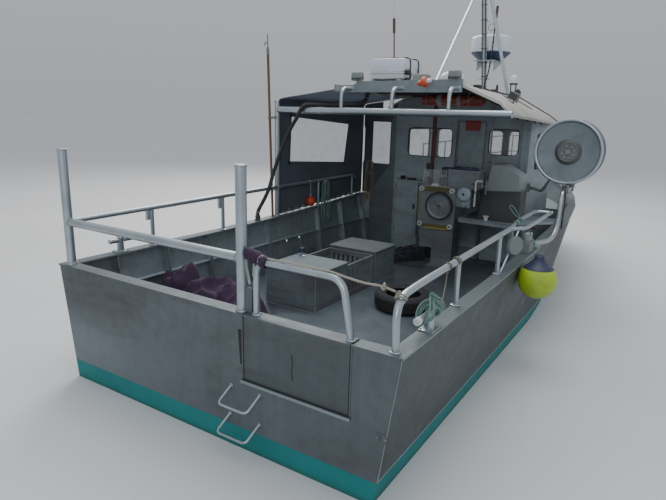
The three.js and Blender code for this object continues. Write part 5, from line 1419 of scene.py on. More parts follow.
class BOAT_OT_gallows(bpy.types.Operator):
    """Stern gallows: two posts and their cross tube"""
    bl_idname = "boat.gallows"
    bl_label = "Stern gallows"

    def execute(self, context):
        bright = finish(tube)
        piece = Piece("gallows")
        for x, top in ((-GALLOWS_PORT, 2.02), (GALLOWS_STARBOARD, 2.025)):
            foot = 1.0303
            piece.turned([(0, 0), (0.046, 0), (0.046, 0.011), (0.044, 0.014), (0.0382, 0.0145),
                (0.0382, top - foot - 0.01), (0.0412, top - foot - 0.008), (0.0412, top - foot + 0.003),
                (0.038, top - foot + 0.006), (0, top - foot + 0.006)], (x, GALLOWS_Y, foot), UP, bright, 48)
            weld_ring((x, GALLOWS_Y, foot + 0.0165), 0.0395)
        piece.rod((-GALLOWS_PORT, GALLOWS_Y, RAIL_Z), (GALLOWS_STARBOARD, GALLOWS_Y, RAIL_Z), 0.0342, bright,
            0, 40)
        piece.done(slot="tube", replaces=("stern_gallows",))
        weld_ring((-1.5175, GALLOWS_Y, RAIL_Z), 0.0355, ACROSS)
        weld_ring((0.3765, GALLOWS_Y, RAIL_Z), 0.0355, ACROSS)
        return {"FINISHED"}


# Rails

def stanchion(piece, x, y, top, finish_):
    radius = 0.0202
    foot = rim_height(y) + 0.0003
    piece.turned([(0, 0), (0.038, 0), (0.038, 0.008), (0.034, 0.0105), (radius, 0.0108), (radius, top - foot),
        (0, top - foot)], (x, y, foot), UP, finish_, 28)
    weld_ring((x, y, foot + 0.0125), radius + 0.0015)
    weld_ring((x, y, top - 0.013), radius + 0.002)


class BOAT_OT_rails(bpy.types.Operator):
    """Guard rails with the fork on the starboard side, and the bow pulpit"""
    bl_idname = "boat.rails"
    bl_label = "Guard rails"

    def execute(self, context):
        bright = finish(tube)
        port = Piece("rail_port")
        port.tube([(-RAIL_X, 0.0933, RAIL_Z), (-RAIL_X, 2.9377, 1.43)], RAIL_R, bright)
        for y, stub in ((0.95, 0.115), (1.95, 0.135)):
            rail_z = RAIL_Z + 0.025 * (y - 0.0933) / 2.844
            stanchion(port, -RAIL_X, y, rail_z - 0.006, bright)
            port.turned([(0, 0), (0.016, 0), (0.021, 0.004), (0.021, stub), (0, stub)], (-RAIL_X, y - 0.052,
                rail_z - stub), UP, bright, 24)
        port.done(slot="tube", replaces=("guard_rail_port",))
        weld_ring((-RAIL_X, 0.0955, RAIL_Z), 0.0255, AHEAD)

        right = Piece("rail_starboard")
        right.tube([(1.585, 0.0545, 1.0308), (RAIL_X, 0.062, 1.345), (RAIL_X, 0.42, 1.362),
            (RAIL_X, 2.4, FORK_Z)], RAIL_R, bright, 0.15, steps=12)
        right.turned([(0, 0), (0.036, 0), (0.036, 0.006), (0.031, 0.009), (0, 0.009)], (1.584, 0.0555,
            1.0303), UP, bright, 32)
        right.tube([(RAIL_X, 2.375, FORK_Z), (1.515, 2.96, FORK_Z), (1.515, 3.6, FORK_Z),
            (1.695, 3.6, FORK_Z)], 0.0192, bright, 0.075)
        right.tube([(RAIL_X, 2.375, FORK_Z), (1.675, 2.51, FORK_Z), (1.675, 3.6, FORK_Z)], 0.0192, bright,
            0.06)
        right.ball((RAIL_X, 2.39, FORK_Z), 0.0243, bright, 24)
        for y in (1.06, 2.08):
            stanchion(right, RAIL_X, y, 1.362 + 0.023 * (y - 0.42) / 1.98 - 0.006, bright)
        right.done(slot="tube", replaces=("guard_rail_starboard",))
        weld_ring((1.584, 0.0555, 1.0405), 0.0262)
        weld_ring((RAIL_X, 2.405, FORK_Z), 0.0215, (0.1, 1, 0))

        pulpit = Piece("pulpit")
        spots = (0.72, 0.78, 0.84, 0.9, 0.95)
        feet = []
        for t in spots:
            rim = line_point(SHEER, t)
            feet.append(Vector((max(rim.x - 0.055, 0.04), rim.y - 0.03, rim.z)))
        for side in (-1, 1):
            for foot in feet:
                x, y, z = side * foot.x, foot.y, foot.z
                stand = rim_height(y) + 0.0006
                pulpit.turned([(0, 0), (0.028, 0), (0.028, 0.007), (0.0145, 0.008),
                    (0.0145, z + 0.65 - stand), (0, z + 0.65 - stand)], (x, y, stand), UP, bright, 20)
        for height in (0.33, 0.65):
            half = [foot + vec(0, 0, height) for foot in feet]
            nose = vec(0, half[-1].y + 0.06, half[-1].z)
            other = [vec(-p.x, p.y, p.z) for p in reversed(half)]
            pulpit.tube([*half, nose, *other], 0.0162, bright, 0.07, 18)
        pulpit.done(slot="tube", replaces=("bow_pulpit",))
        return {"FINISHED"}


class BOAT_OT_lashings(bpy.types.Operator):
    """Ropes, ties and gear made fast on the rails and the starboard bitt"""
    bl_idname = "boat.lashings"
    bl_label = "Lashings"

    def execute(self, context):
        tan = finish(rope_yarn, "tan_yarn", (0.36, 0.33, 0.27), 0.5)
        green = green_yarn()
        old = finish(rope_yarn, "old_yarn", (0.25, 0.23, 0.18), 0.5)
        gate = Piece("gate_lashing")
        line = catmull([(0.6, 0.055, 1.4372), (0.8, 0.0545, 1.4374), (1.0, 0.0555, 1.4372),
            (1.13, 0.055, 1.435), (1.23, 0.0555, 1.421), (1.36, 0.058, 1.408), (1.47, 0.062, 1.408),
            (1.548, 0.09, 1.384)], 10)
        gate.rope(even(line, 0.006), 0.015, tan, sides=12)
        thing = gate.done(None, "straw_rope", sharp=60)
        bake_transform(thing)
        ties = Piece("rail_ties")
        ties.rope(trefoil((1.487, 0.06, 1.4075), 0.021, ACROSS), 0.012, tan, closed=True, sides=10)
        ties.rope(coil((1.573, 0.118, 1.348), (-0.02, 0.85, 1.0), 0.0318, 2.6, 0.015), 0.014, tan, sides=12)
        ties.rope(coil((RAIL_X, 1.016, 1.374), AHEAD, 0.0292, 4.2, 0.0095), 0.009, old, sides=10)
        ties.rope(coil((RAIL_X, 0.85, 1.3695), AHEAD, 0.0288, 2.3, 0.009), 0.008, old, sides=10)
        ties.rope(trefoil((1.571, 0.835, 1.333), 0.013, (0, 0, 1)), 0.008, old, closed=True, sides=10)
        ties.cord(even(catmull([(1.571, 0.84, 1.332), (1.583, 0.795, 1.262), (1.594, 0.735, 1.185),
            (1.6, 0.702, 1.158)], 8), 0.01), 0.008, old, 8)
        ties.rope(coil((BITT_X, 0.672, 1.144), AHEAD, 0.0308, 2.3, 0.009), 0.008, old, sides=10)
        ties.ball((1.574, 0.745, 1.352), 0.01, shared("white_nylon"), 16)
        ties.rope(trefoil((1.558, 2.8, 1.409), 0.024, (0.4, 1, 0)), 0.011, green, closed=True, sides=10)
        bow = catmull([(1.556, 2.8, 1.415), (1.5, 2.795, 1.45), (1.452, 2.8, 1.5), (1.436, 2.808, 1.525),
            (1.444, 2.812, 1.54), (1.47, 2.808, 1.528), (1.52, 2.804, 1.47), (1.56, 2.802, 1.415)], 8)
        ties.rope(even(bow, 0.006), 0.009, green, sides=10)
        ties.rope(coil((1.547, 2.7, 1.385), (-0.07, 1, 0), 0.0262, 4.4, 0.0125), 0.011, green, sides=10)
        for i in range(7):
            a = 2 * pi * i / 7
            tail = [(1.56, 2.79, 1.4), (1.605 + 0.01 * cos(a), 2.7 + 0.02 * sin(a), 1.345),
                (1.64 + 0.012 * cos(a), 2.64 + 0.02 * sin(a), 1.27), (1.646 + 0.02 * cos(a), 2.61 + 0.03 *
                sin(a), 1.195 + 0.012 * sin(2 * a))]
            ties.rope(even(catmull(tail, 8), 0.008), 0.0075, green, sides=8)
        ties.done(slot="straw_rope", sharp=60)

        made_fast = Piece("bitt_rope")
        x, y, z, d = BITT_X, 0.5, 1.144, 0.0132
        path = []
        for k in range(5 * 40 + 11):
            t = 2 * pi * k / 40
            reach = 0.068 + 0.015 * k / 40
            lift = 0.006 * k / 20 * sin(t) ** 2 + 0.004
            wide = 0.044 + 0.004 * sin(0.37 * t)
            path.append(Vector((x + wide * sin(2 * t) + 0.012 * sin(0.83 * t) * sin(t) ** 2, y + reach *
                cos(t) + 0.01 * sin(0.61 * t), z + lift - (0.04 + 0.05 * (wide - 0.042)) * cos(2 * t))))
        path = even(catmull(path[::2], 3), 0.006)
        made_fast.rope(path, d, green, sides=12)
        thing = made_fast.done(slot="green_rope", sharp=60)
        end = Piece("bitt_rope_knot")
        end.rope(trefoil(path[-1] + vec(0, 0.004, 0.002), 0.024, AHEAD), 0.014, green, closed=True, sides=10)
        knot = end.done(slot="green_rope", sharp=60)
        round(path_length(path), 3)

        purple = purple_mesh()
        wrap = Piece("hoop_wrap")
        route = even(catmull([(0.466, 0.05, 1.452), (0.505, 0.052, 1.44), (0.545, 0.055, 1.424),
            (0.585, 0.055, 1.413), (0.632, 0.055, 1.407)], 8), 0.007)
        count = 28
        rows = []
        frames = frames_along(route)
        for i, (point, (side, up)) in enumerate(zip(route, frames)):
            share = i / (len(route) - 1)
            reach = 0.0335 + 0.01 * sin(pi * share) - 0.01 * exp(-((share - 0.66) / 0.07) ** 2)
            row = []
            for k in range(count):
                a = 2 * pi * k / count
                crease = 0.0085 * noise.noise(Vector((cos(a) * 2.4, sin(a) * 2.4, share * 7.0)))
                crease += 0.0035 * abs(sin(a * 4 + share * 9))
                row.append(wrap.bm.verts.new(point + (reach + crease) * (cos(a) * side + sin(a) * up)))
            rows.append(row)
        faces = []
        for i in range(len(rows) - 1):
            for k in range(count):
                n = (k + 1) % count
                face = wrap.bm.faces.new([rows[i][k], rows[i][n], rows[i + 1][n], rows[i + 1][k]])
                faces.append(face)
                for loop, (ri, ki) in zip(face.loops, ((i, k), (i, k + 1), (i + 1, k + 1), (i + 1, k))):
                    loop[wrap.uv].uv = (ki * 0.009, ri * 0.007)
        bmesh.ops.recalc_face_normals(wrap.bm, faces=faces)
        wrap.use(faces, purple)
        area = sum(face.calc_area() for face in faces)
        cloth = wrap.done("stern_gate", "purple_cloth", sharp=70)
        strips = Piece("wrap_strips")
        pale = finish(woven, "white_webbing", (0.52, 0.52, 0.5), (0.3, 0.3, 0.29), 0.002)
        for route, width in ((((0.488, 0.018, 1.418), (0.494, 0.012, 1.37), (0.503, 0.02, 1.3), (0.509, 0.024,
                1.248)), 0.019), (((0.556, 0.014, 1.398), (0.56, 0.006, 1.37), (0.552, 0.012, 1.335),
                (0.546, 0.018, 1.31)), 0.015)):
            strips.sweep(even(catmull(route, 8), 0.008), flat_section(width / 2, 0.0008), pale, lay=2.0)
        strips.rope(coil((0.588, 0.055, 1.4125), (1, 0, -0.13), 0.0375, 2.2, 0.008), 0.0065, pale, sides=8)
        tails = strips.done("stern_gate", "canvas", sharp=60)
        round(area / 0.19, 3)

        pole = Piece("boathook")
        wood = finish(matt_paint, "boathook_wood", (0.145, 0.088, 0.052), 0.6, 0.6)
        low, top = Vector((-1.612, 2.913, rim_height(2.913) + 0.0006)), vec(-1.688, 2.913, 3.1)
        pole.rod(low, top, 0.0158, wood, 0.004, 20)
        galvanised = finish(steel)
        way = (top - low).normalized()
        pole.turned([(0.016, 0), (0.0182, 0.002), (0.0178, 0.075), (0.012, 0.1), (0.0075, 0.104), (0, 0.104)],
            top - way * 0.055, way, galvanised, 20)
        pole.tube([top + way * 0.045, top + way * 0.15, top + way * 0.175 + vec(0, 0.0, 0.01)], 0.0072,
            galvanised, 0.03, 14)
        pole.tube([top + way * 0.07, top + way * 0.1 + vec(-0.034, 0, 0), top + way * 0.06 + vec(-0.052, 0,
            0)], 0.0062, galvanised, 0.022, 14)
        pole.rope(coil((-1.617, 2.94, 1.395), (-0.03, 0, 1), 0.056, 3.2, 0.01, 28), 0.008, old, sides=8)
        pole.rope(coil((-1.632, 2.945, 2.3), (-0.03, 0, 1), 0.064, 3.2, 0.01, 28), 0.008, old, sides=8)
        pole.done(slot="dark_steel")

        ball = Piece("ball_float")
        red = finish(vinyl_buoy, "ball_red", (0.58, 0.06, 0.02), (0.3, 0.05, 0.03))
        at = vec(-1.5415, 3.67, 1.165)
        ball.ball(at, 0.066, red, 40)
        ball.turned([(0.01, 0.06), (0.022, 0.062), (0.022, 0.078), (0.01, 0.084), (0.01, 0.06)], at, UP, red,
            20)
        ball.rope(trefoil(at + vec(0, 0, 0.094), 0.013, AHEAD), 0.008, shared("white_yarn"), closed=True,
            sides=10)
        hung = ball.done(slot="orange_plastic", sharp=50)
        drop = even(catmull([(-1.5425, 3.67, 1.4115), (-1.542, 3.67, 1.38), (-1.5415, 3.67, 1.3),
            (-1.5415, 3.67, 1.18)], 8), 0.006)
        lanyard = Piece("ball_lanyard")
        lanyard.rope(drop, 0.008, shared("white_yarn"), sides=10)
        thing = lanyard.done(slot="straw_rope", sharp=60)
        round(path_length(drop), 3)
        hitch = Piece("lanyard_hitch")
        hitch.rope(coil((-RAIL_X, 3.67, 1.4362), AHEAD, 0.0285, 2.4, 0.0088), 0.008, shared("white_yarn"),
            sides=10)
        hitch.done(slot="straw_rope", sharp=60)

        block = Piece("fork_gear")
        grey = finish(matt_paint, "gear_grey", (0.2, 0.225, 0.235), 0.45, 0.55)
        block.turned([(0, -0.012), (0.026, -0.012), (0.03, -0.008), (0.082, -0.006), (0.086, 0.0),
            (0.066, 0.012), (0.086, 0.024), (0.082, 0.03), (0, 0.034)], (1.618, 2.39, 1.24), (0.86, -0.5, 0),
            grey, 48)
        block.prism([(1.582, 2.372, 1.372), (1.598, 2.372, 1.372), (1.606, 2.372, 1.222),
            (1.59, 2.372, 1.222)], (0, 0, 0), (0, 0.036, 0), galvanised, 0.002)
        rim = rim_height(3.02) + 0.0008
        block.box((1.552, 2.93, rim), (1.64, 3.105, 1.168), grey, 0.012)
        block.box((1.566, 2.955, 1.1675), (1.626, 3.08, 1.248), shared("grey_box"), 0.01)
        block.rod((1.56, 3.105, 1.115), (1.56, 3.14, 1.115), 0.016, galvanised)
        block.rod((1.586, 2.135, rim_height(2.135) + 0.001), (1.598, 2.64, 1.37), 0.0085, finish(tube),
            sides=16)
        block.done(slot="dark_steel")
        return {"FINISHED"}


# Canopy frame, roof and side curtain

class BOAT_OT_canopy(bpy.types.Operator):
    """Canopy frame that carries the roof's after end"""
    bl_idname = "boat.canopy"
    bl_label = "Canopy frame"

    def execute(self, context):
        bright = finish(tube)
        piece = Piece("canopy_tubes")
        piece.rod((-CORNER_X, CANOPY_Y, CANOPY_Z), (1.33, CANOPY_Y, CANOPY_Z), FRAME_R, bright, 0.003, 40)
        foot = rim_height(CANOPY_Y) + 0.0003
        head = 2.515 - foot
        piece.turned([(0, 0), (0.048, 0), (0.048, 0.009), (0.044, 0.0125), (0.0322, 0.013),
            (0.0322, head - 0.004), (0.029, head), (0, head)], (-CORNER_X, CANOPY_Y, foot), UP, bright, 40)
        for x in (-0.646, 0.008, 0.666):
            piece.tube([(x, CANOPY_Y, 2.412), (x, CANOPY_Y + 0.002, 2.655), (x, 3.1995, 2.655)], 0.0222,
                bright, 0.11, 28)
            weld_ring((x, CANOPY_Y, CANOPY_Z + FRAME_R - 0.001), 0.0238)
            piece.box((x - 0.034, 3.194, 2.623), (x + 0.034, 3.1996, 2.69), bright, 0.001)
        piece.tube([(-RAIL_X, CANOPY_Y, 1.43), (-RAIL_X, 4.84, 1.442), (-RAIL_X, 4.95, 1.37)], RAIL_R, bright,
            0.06)
        for y in (3.9, 4.84):
            stanchion(piece, -RAIL_X, y, 1.43, bright)
        for x in (0.62, -0.93):
            piece.turned(collar(0.0384, 0.0418, -0.04, 0.04), (x, CANOPY_Y, CANOPY_Z), ACROSS, bright, 40)
        piece.done(slot="tube", replaces=("canopy_frame",))
        weld_ring((-CORNER_X, CANOPY_Y, foot + 0.015), 0.034)
        weld_ring((-1.5515, CANOPY_Y, CANOPY_Z), 0.0395, ACROSS)
        return {"FINISHED"}


class BOAT_OT_roof(bpy.types.Operator):
    """Roof with its fascia, flood lamps, raft cradle and edge strips"""
    bl_idname = "boat.roof"
    bl_label = "Roof"

    def execute(self, context):
        top = finish(matt_paint, "roof_paint", tuple(colours().roof), 0.45)
        hem = finish(matt_paint, "roof_hem", tinted(colours().roof, 1.35), 0.3)
        # Painted shade: the roof's underside and its beams are near black
        under = finish(matt_paint, "roof_lining", (0.038, 0.033, 0.032), 0.4)
        grey = finish(plate, "fascia_plate", 1.0, 0.5, 0.35)
        bright = finish(tube)
        shell = shared("lamp_shell")
        eased("roof", top, parts=[(under, lambda at, way: way.z < -0.3 and at.z < 2.68),
            (grey, lambda at, way: at.y < 3.2145 and at.x < 0.72 and at.z < 2.758 and at.z > 2.612),
            (bright, lambda at, way: at.z > 2.703 and at.y > 3.4), (shell, lambda at, way: at.z > 2.7575 and
            at.y < 3.26)])
        trim = Piece("roof_edges")
        aft = [Vector(line[0]) for line in list(ROOF_LINES.values())[1:]]
        for a, b in zip(aft, aft[1:]):
            out = (b - a).cross(UP).normalized()
            out = out if out.y < 0 else -out
            trim.prism([a + vec(0, 0, 0.003), b + vec(0, 0, 0.003), b - vec(0, 0, 0.031),
                a - vec(0, 0, 0.031)], out * 0.0035, out * -0.0045, hem, 0.001)
        fore = [Vector(line[1]) for line in list(ROOF_LINES.values())[1:]]
        for row in (fore, [fore[0], roof_row(4.25)[1]]):
            for a, b in zip(row, row[1:]):
                trim.rod(a + vec(0, 0, 0.006), b + vec(0, 0, 0.006), 0.011, finish(rubber, "edge_rubber",
                    0.8), 0.002, 14)
        for x in (-0.4, 0.26):
            trim.box((x - 0.02, 3.216, 2.6995), (x + 0.02, 6.978, 2.7035), top, 0.0015)
        trim.done(slot="roof_paint")
        for i in range(12):
            for x in (-0.4, 0.26):
                bolt((x, 3.3 + i * 0.32, 2.7035), UP, 0.006)
        for x in (-0.46, -0.16, 0.2, 0.44):
            bolt((x, 3.2, 2.702), ASTERN, 0.006)

        # The beams carry the roof underside's painted shade
        beams = Piece("roof_beams")
        for y in (3.45, 4.05, 4.6, 5.12):
            row = [Vector((max(p.x, -0.738), y, p.z - ROOF_THICK - 0.0004)) for p in roof_row(y)]
            row[-1] = row[-2].lerp(row[-1], 0.93)
            for a, b in zip(row, row[1:]):
                drop = vec(0, 0, 0.035)
                beams.prism([a, b, b - drop, a - drop], (0, -0.015, 0), (0, 0.03, 0), under, 0.002)
        beams.done(slot="roof_paint")

        lens = shared("lamp_lens")
        case = finish(plastic, "lamp_case", (0.27, 0.3, 0.29), 0.5)
        for name, x in (("flood_lamp_port", -0.572), ("flood_lamp_starboard", 0.623)):
            lamp = Piece(name)
            lamp.box((x - 0.058, 3.176, 2.762), (x + 0.058, 3.249, 2.8365), case, 0.006)
            lamp.box((x - 0.0645, 3.1615, 2.782), (x + 0.0645, 3.1795, 2.8425), case, 0.006)
            lamp.box((x - 0.0645, 3.161, 2.756), (x + 0.0645, 3.1795, 2.7815), lens, 0.004)
            lamp.box((x - 0.055, 3.16, 2.786), (x + 0.055, 3.1625, 2.834), finish(plastic, "lamp_glass_grey",
                (0.2, 0.23, 0.22), 0.1, 0.8, 0.1), 0.002)
            for i in range(6):
                at = x - 0.045 + i * 0.018
                lamp.box((at - 0.003, 3.184, 2.8355), (at + 0.003, 3.246, 2.8445), case, 0.001)
            lamp.tube([(x - 0.068, 3.205, 2.8), (x - 0.068, 3.205, 2.751), (x + 0.068, 3.205, 2.751),
                (x + 0.068, 3.205, 2.8)], 0.0045, finish(steel, "lamp_bracket", (0.16, 0.1, 0.08), 0.7), 0.01,
                10)
            lamp.done(slot="black_trim")
        return {"FINISHED"}


class BOAT_OT_curtain(bpy.types.Operator):
    """Side curtain with its clear window, hems, eyelets and lacing"""
    bl_idname = "boat.curtain"
    bl_label = "Side curtain"

    def execute(self, context):
        value = tuple(colours().canvas)
        cloth = finish(woven, "curtain_cloth", value, tinted(value, 0.5))
        sunlit = finish(woven, "curtain_top", tuple(c * gain for c, gain in zip(value, (1.3, 1.7, 2.2))),
            value)
        y0, y1, out, knee = 3.0095, 5.1985, -1.601, 2.49
        window = [vec(0, y, z) for y, z in ((3.288, 2.318), (4.731, 2.222), (4.624, 1.655), (3.261, 1.738))]
        middle = (window[0] + window[2]) / 2
        top_aft, top_fore, low_fore, low_aft = window

        def foot(y):
            aft, fore = rim_height(y0) + 0.006, rim_height(y1) + 0.006
            return aft + (fore - aft) * (y - y0) / (y1 - y0)

        def spot(y, z):
            return vec(0, y, z)
        rows = ([spot(y, foot(y)) for y in (y0, low_aft.y, low_fore.y, y1)], [spot(y0, low_aft.z), low_aft,
            low_fore, spot(y1, low_fore.z)], [spot(y0, top_aft.z), top_aft, top_fore, spot(y1, top_fore.z)],
            [spot(y, knee) for y in (y0, top_aft.y, top_fore.y, y1)])
        across, up = (9, 48, 17), (22, 22, 9)
        bm = bmesh.new()
        uv = bm.loops.layers.uv.new("UVMap")
        grid = {}

        def vert(i, j, at, walked):
            if (i, j) not in grid:
                slack = 0.0
                beside = low_fore.z - 0.05 < at.z < top_aft.z + 0.05
                if at.z < knee - 0.03 and not (beside and low_aft.y - 0.06 < at.y < top_fore.y + 0.06):
                    slack = 0.0034 * noise.noise(Vector((at.y * 2.1, at.z * 3.0, 4.0)))
                wave = 0.25 + 1.1 * abs(noise.noise(Vector((at.y * 2.7, 3.0, 1.0))))
                droop = 0.021 * wave * abs(sin((at.y - y0) / 0.155 * pi)) if j == 0 else 0.0
                grid[i, j] = (bm.verts.new((out + slack if at.x == 0 else at.x, at.y, at.z + droop)),
                    (at.y, walked))
        for tier in range(3):
            for bay in range(3):
                (a, b), (d, c) = (rows[k][bay:bay + 2] for k in (tier, tier + 1))
                i0, j0 = sum(across[:bay]), sum(up[:tier])
                for j in range(up[tier] + 1):
                    for i in range(across[bay] + 1):
                        s, t = i / across[bay], j / up[tier]
                        at = a.lerp(b, s).lerp(d.lerp(c, s), t)
                        vert(i0 + i, j0 + j, at, at.z)
        profile = [(out, knee), (-1.577, 2.529), (-1.484, 2.549), (-1.087, 2.601), (-0.7705, 2.645)]
        slope = even([vec(x, 0, z) for x, z in profile], 0.045)
        wide, tall = sum(across), sum(up)
        marks = [grid[i, tall][1][0] for i in range(wide + 1)]
        walked = knee
        for k, point in enumerate(slope[1:], 1):
            walked += (point - slope[k - 1]).length
            for i, y in enumerate(marks):
                share = k / (len(slope) - 1)
                sag = 0.012 * sin(pi * share) * sin(pi * (y - y0) / (y1 - y0))
                vert(i, tall + k, vec(point.x, y, point.z - sag), walked)
        for j in range(tall + len(slope) - 1):
            for i in range(wide):
                if across[0] <= i < across[0] + across[1] and up[0] <= j < up[0] + up[1]:
                    continue
                corners = (grid[i, j], grid[i + 1, j], grid[i + 1, j + 1], grid[i, j + 1])
                face = bm.faces.new([corner[0] for corner in corners])
                face.material_index = 1 if j > tall + 1 else 0
                for loop, corner in zip(face.loops, corners):
                    loop[uv].uv = corner[1]
        bmesh.ops.delete(bm, geom=[v for v in bm.verts if not v.link_faces], context="VERTS")
        mesh = bpy.data.meshes.new("curtain")
        bm.to_mesh(mesh)
        bm.free()
        mesh.materials.append(cloth)
        mesh.materials.append(sunlit)
        curtain = settle("curtain", mesh, replaces=("side_curtain",), sharp=60)
        thick = curtain.modifiers.new("thickness", "SOLIDIFY")
        thick.thickness = 0.0016
        thick.offset = 0

        hem = Piece("curtain_hems")
        web = finish(woven, "hem_webbing", tinted(value, 0.8), tinted(value, 0.4), 0.002)
        inside = vec(0.0026, 0, 0)
        for a, b in zip(window, window[1:] + window[:1]):
            way = (b - a).normalized()
            side = vec(0, -way.z, way.y)
            centre = (a + b) / 2
            outward = side if (centre + side - middle).length > (centre - side - middle).length else -side
            corners = [a - way * 0.04, b + way * 0.04, b + way * 0.04 + outward * 0.04, a - way * 0.04 +
                outward * 0.04]
            hem.prism([c - outward * 0.003 for c in corners], vec(out + 0.0012, 0, 0), inside, web, 0.0006)
        for shift in (0.0012, -0.0038):
            low = [Vector((0, y, foot(y) + dz)) for y, dz in ((y0, 0.022), (y1, 0.022), (y1, 0.06),
                (y0, 0.06))]
            hem.prism(low, vec(out + shift, 0, 0), inside, web, 0.0006)
        for ya, yb in ((y0, y0 + 0.042), (y1 - 0.042, y1)):
            edge = [Vector((0, ya, foot(ya) + 0.03)), Vector((0, yb, foot(yb) + 0.03)),
                vec(0, yb, knee - 0.02), vec(0, ya, knee - 0.02)]
            hem.prism(edge, vec(out + 0.0012, 0, 0), inside, web, 0.0006)
        hem.done(slot="canvas")
        pale = finish(rope_yarn, "hem_cord", (0.55, 0.57, 0.6), 0.1)
        piping = Piece("curtain_piping")
        for y in (y0 + 0.004, y1 - 0.006):
            piping.cord([vec(x, y, z + 0.0035) for x, z in profile], 0.013, pale, 10)
        piped = piping.done(slot="canvas")
        lines = []
        for off in (0.006, 0.034):
            ring = [p + (p - middle).normalized() * off * 1.25 for p in window]
            lines += [[vec(out + 0.0042, p.y, p.z) for p in (a, b)] for a, b in zip(ring, ring[1:] +
                ring[:1])]
        for rise in (0.027, 0.055):
            lines.append([(out + 0.0042, y, foot(y) + rise) for y in (y0 + 0.01, y1 - 0.01)])
        thread = finish(rope_yarn, "pale_thread", (0.2, 0.21, 0.23), 0.1)
        stitches = grown("curtain_stitches", path_mesh("stitch_rows", lines), stitch_tree(), {"Pitch": 0.011,
            "Thread": 0.0009, "Material": thread})

        pane_piece = Piece("curtain_pane")
        clear = finish(pane, "clear_vinyl", (0.78, 0.8, 0.82), 0.1, 0.12)
        pane_piece.prism([p + (p - middle).normalized() * 0.03 for p in window], vec(out - 0.0026, 0, 0),
            (0.0014, 0, 0), clear)
        vinyl = pane_piece.done(slot="clear_vinyl", replaces=("curtain_window",))

        lacing = Piece("curtain_lacing")
        old = finish(rope_yarn, "lacing_cord", (0.44, 0.43, 0.38), 0.3)
        brass = finish(steel, "eyelet", (0.5, 0.48, 0.42), 0.15, 0.3, 0.9)
        y = y0 + 0.08
        route = []
        while y < y1 - 0.1:
            eye = Vector((out + 0.0065, y, foot(y) + 0.041))
            lacing.turned([(0.0065, -0.0025), (0.0115, -0.0025), (0.0125, 0), (0.0115, 0.0025),
                (0.0065, 0.0025), (0.0065, -0.0025)], eye, ACROSS, brass, 16)
            hook_y = y + 0.078
            hook = Vector((-1.588, hook_y, rim_height(hook_y) + 0.022))
            lacing.tube([hook + vec(0, -0.014, -0.0215), hook + vec(0, -0.014, 0.006), hook + vec(0, 0.014,
                0.006), hook + vec(0, 0.014, -0.0215)], 0.0032, brass, 0.012, 8)
            route += [eye + vec(0.005, 0, 0), hook + vec(0.004, 0, 0.004)]
            y += 0.155
        lacing.cord(catmull(route, 5), 0.006, old, 8)
        laced = lacing.done(slot="straw_rope")
        drop = path_length(slope) + knee - (foot(y0) + foot(y1)) / 2
        opening = (window[1] - window[3]).cross(window[0] - window[2]).length / 2
        round((y1 - y0) * drop - opening, 3)
        return {"FINISHED"}


# Wheelhouse

def framed(corners, bend, section, finish_, piece):
    """A moulding that runs round a window, from its corners and a flat section."""
    piece.sweep(rounded(corners, bend, 6, closed=True), section, finish_, closed=True)


def flat_ring(width, thick, edge=0.002):
    w, t = width / 2, thick / 2
    return [(-w, -t + edge), (-w + edge, -t), (w - edge, -t), (w, -t + edge), (w, t - edge), (w - edge, t),
        (-w + edge, t), (-w, t - edge)]


AFT_WINDOWS = ((-0.8, -0.105, 1.785, 2.2), (0.44, 0.85, 1.868, 2.218))
FRONT_WINDOWS = ((-0.93, -0.305), (-0.2, 0.2), (0.305, 0.93))


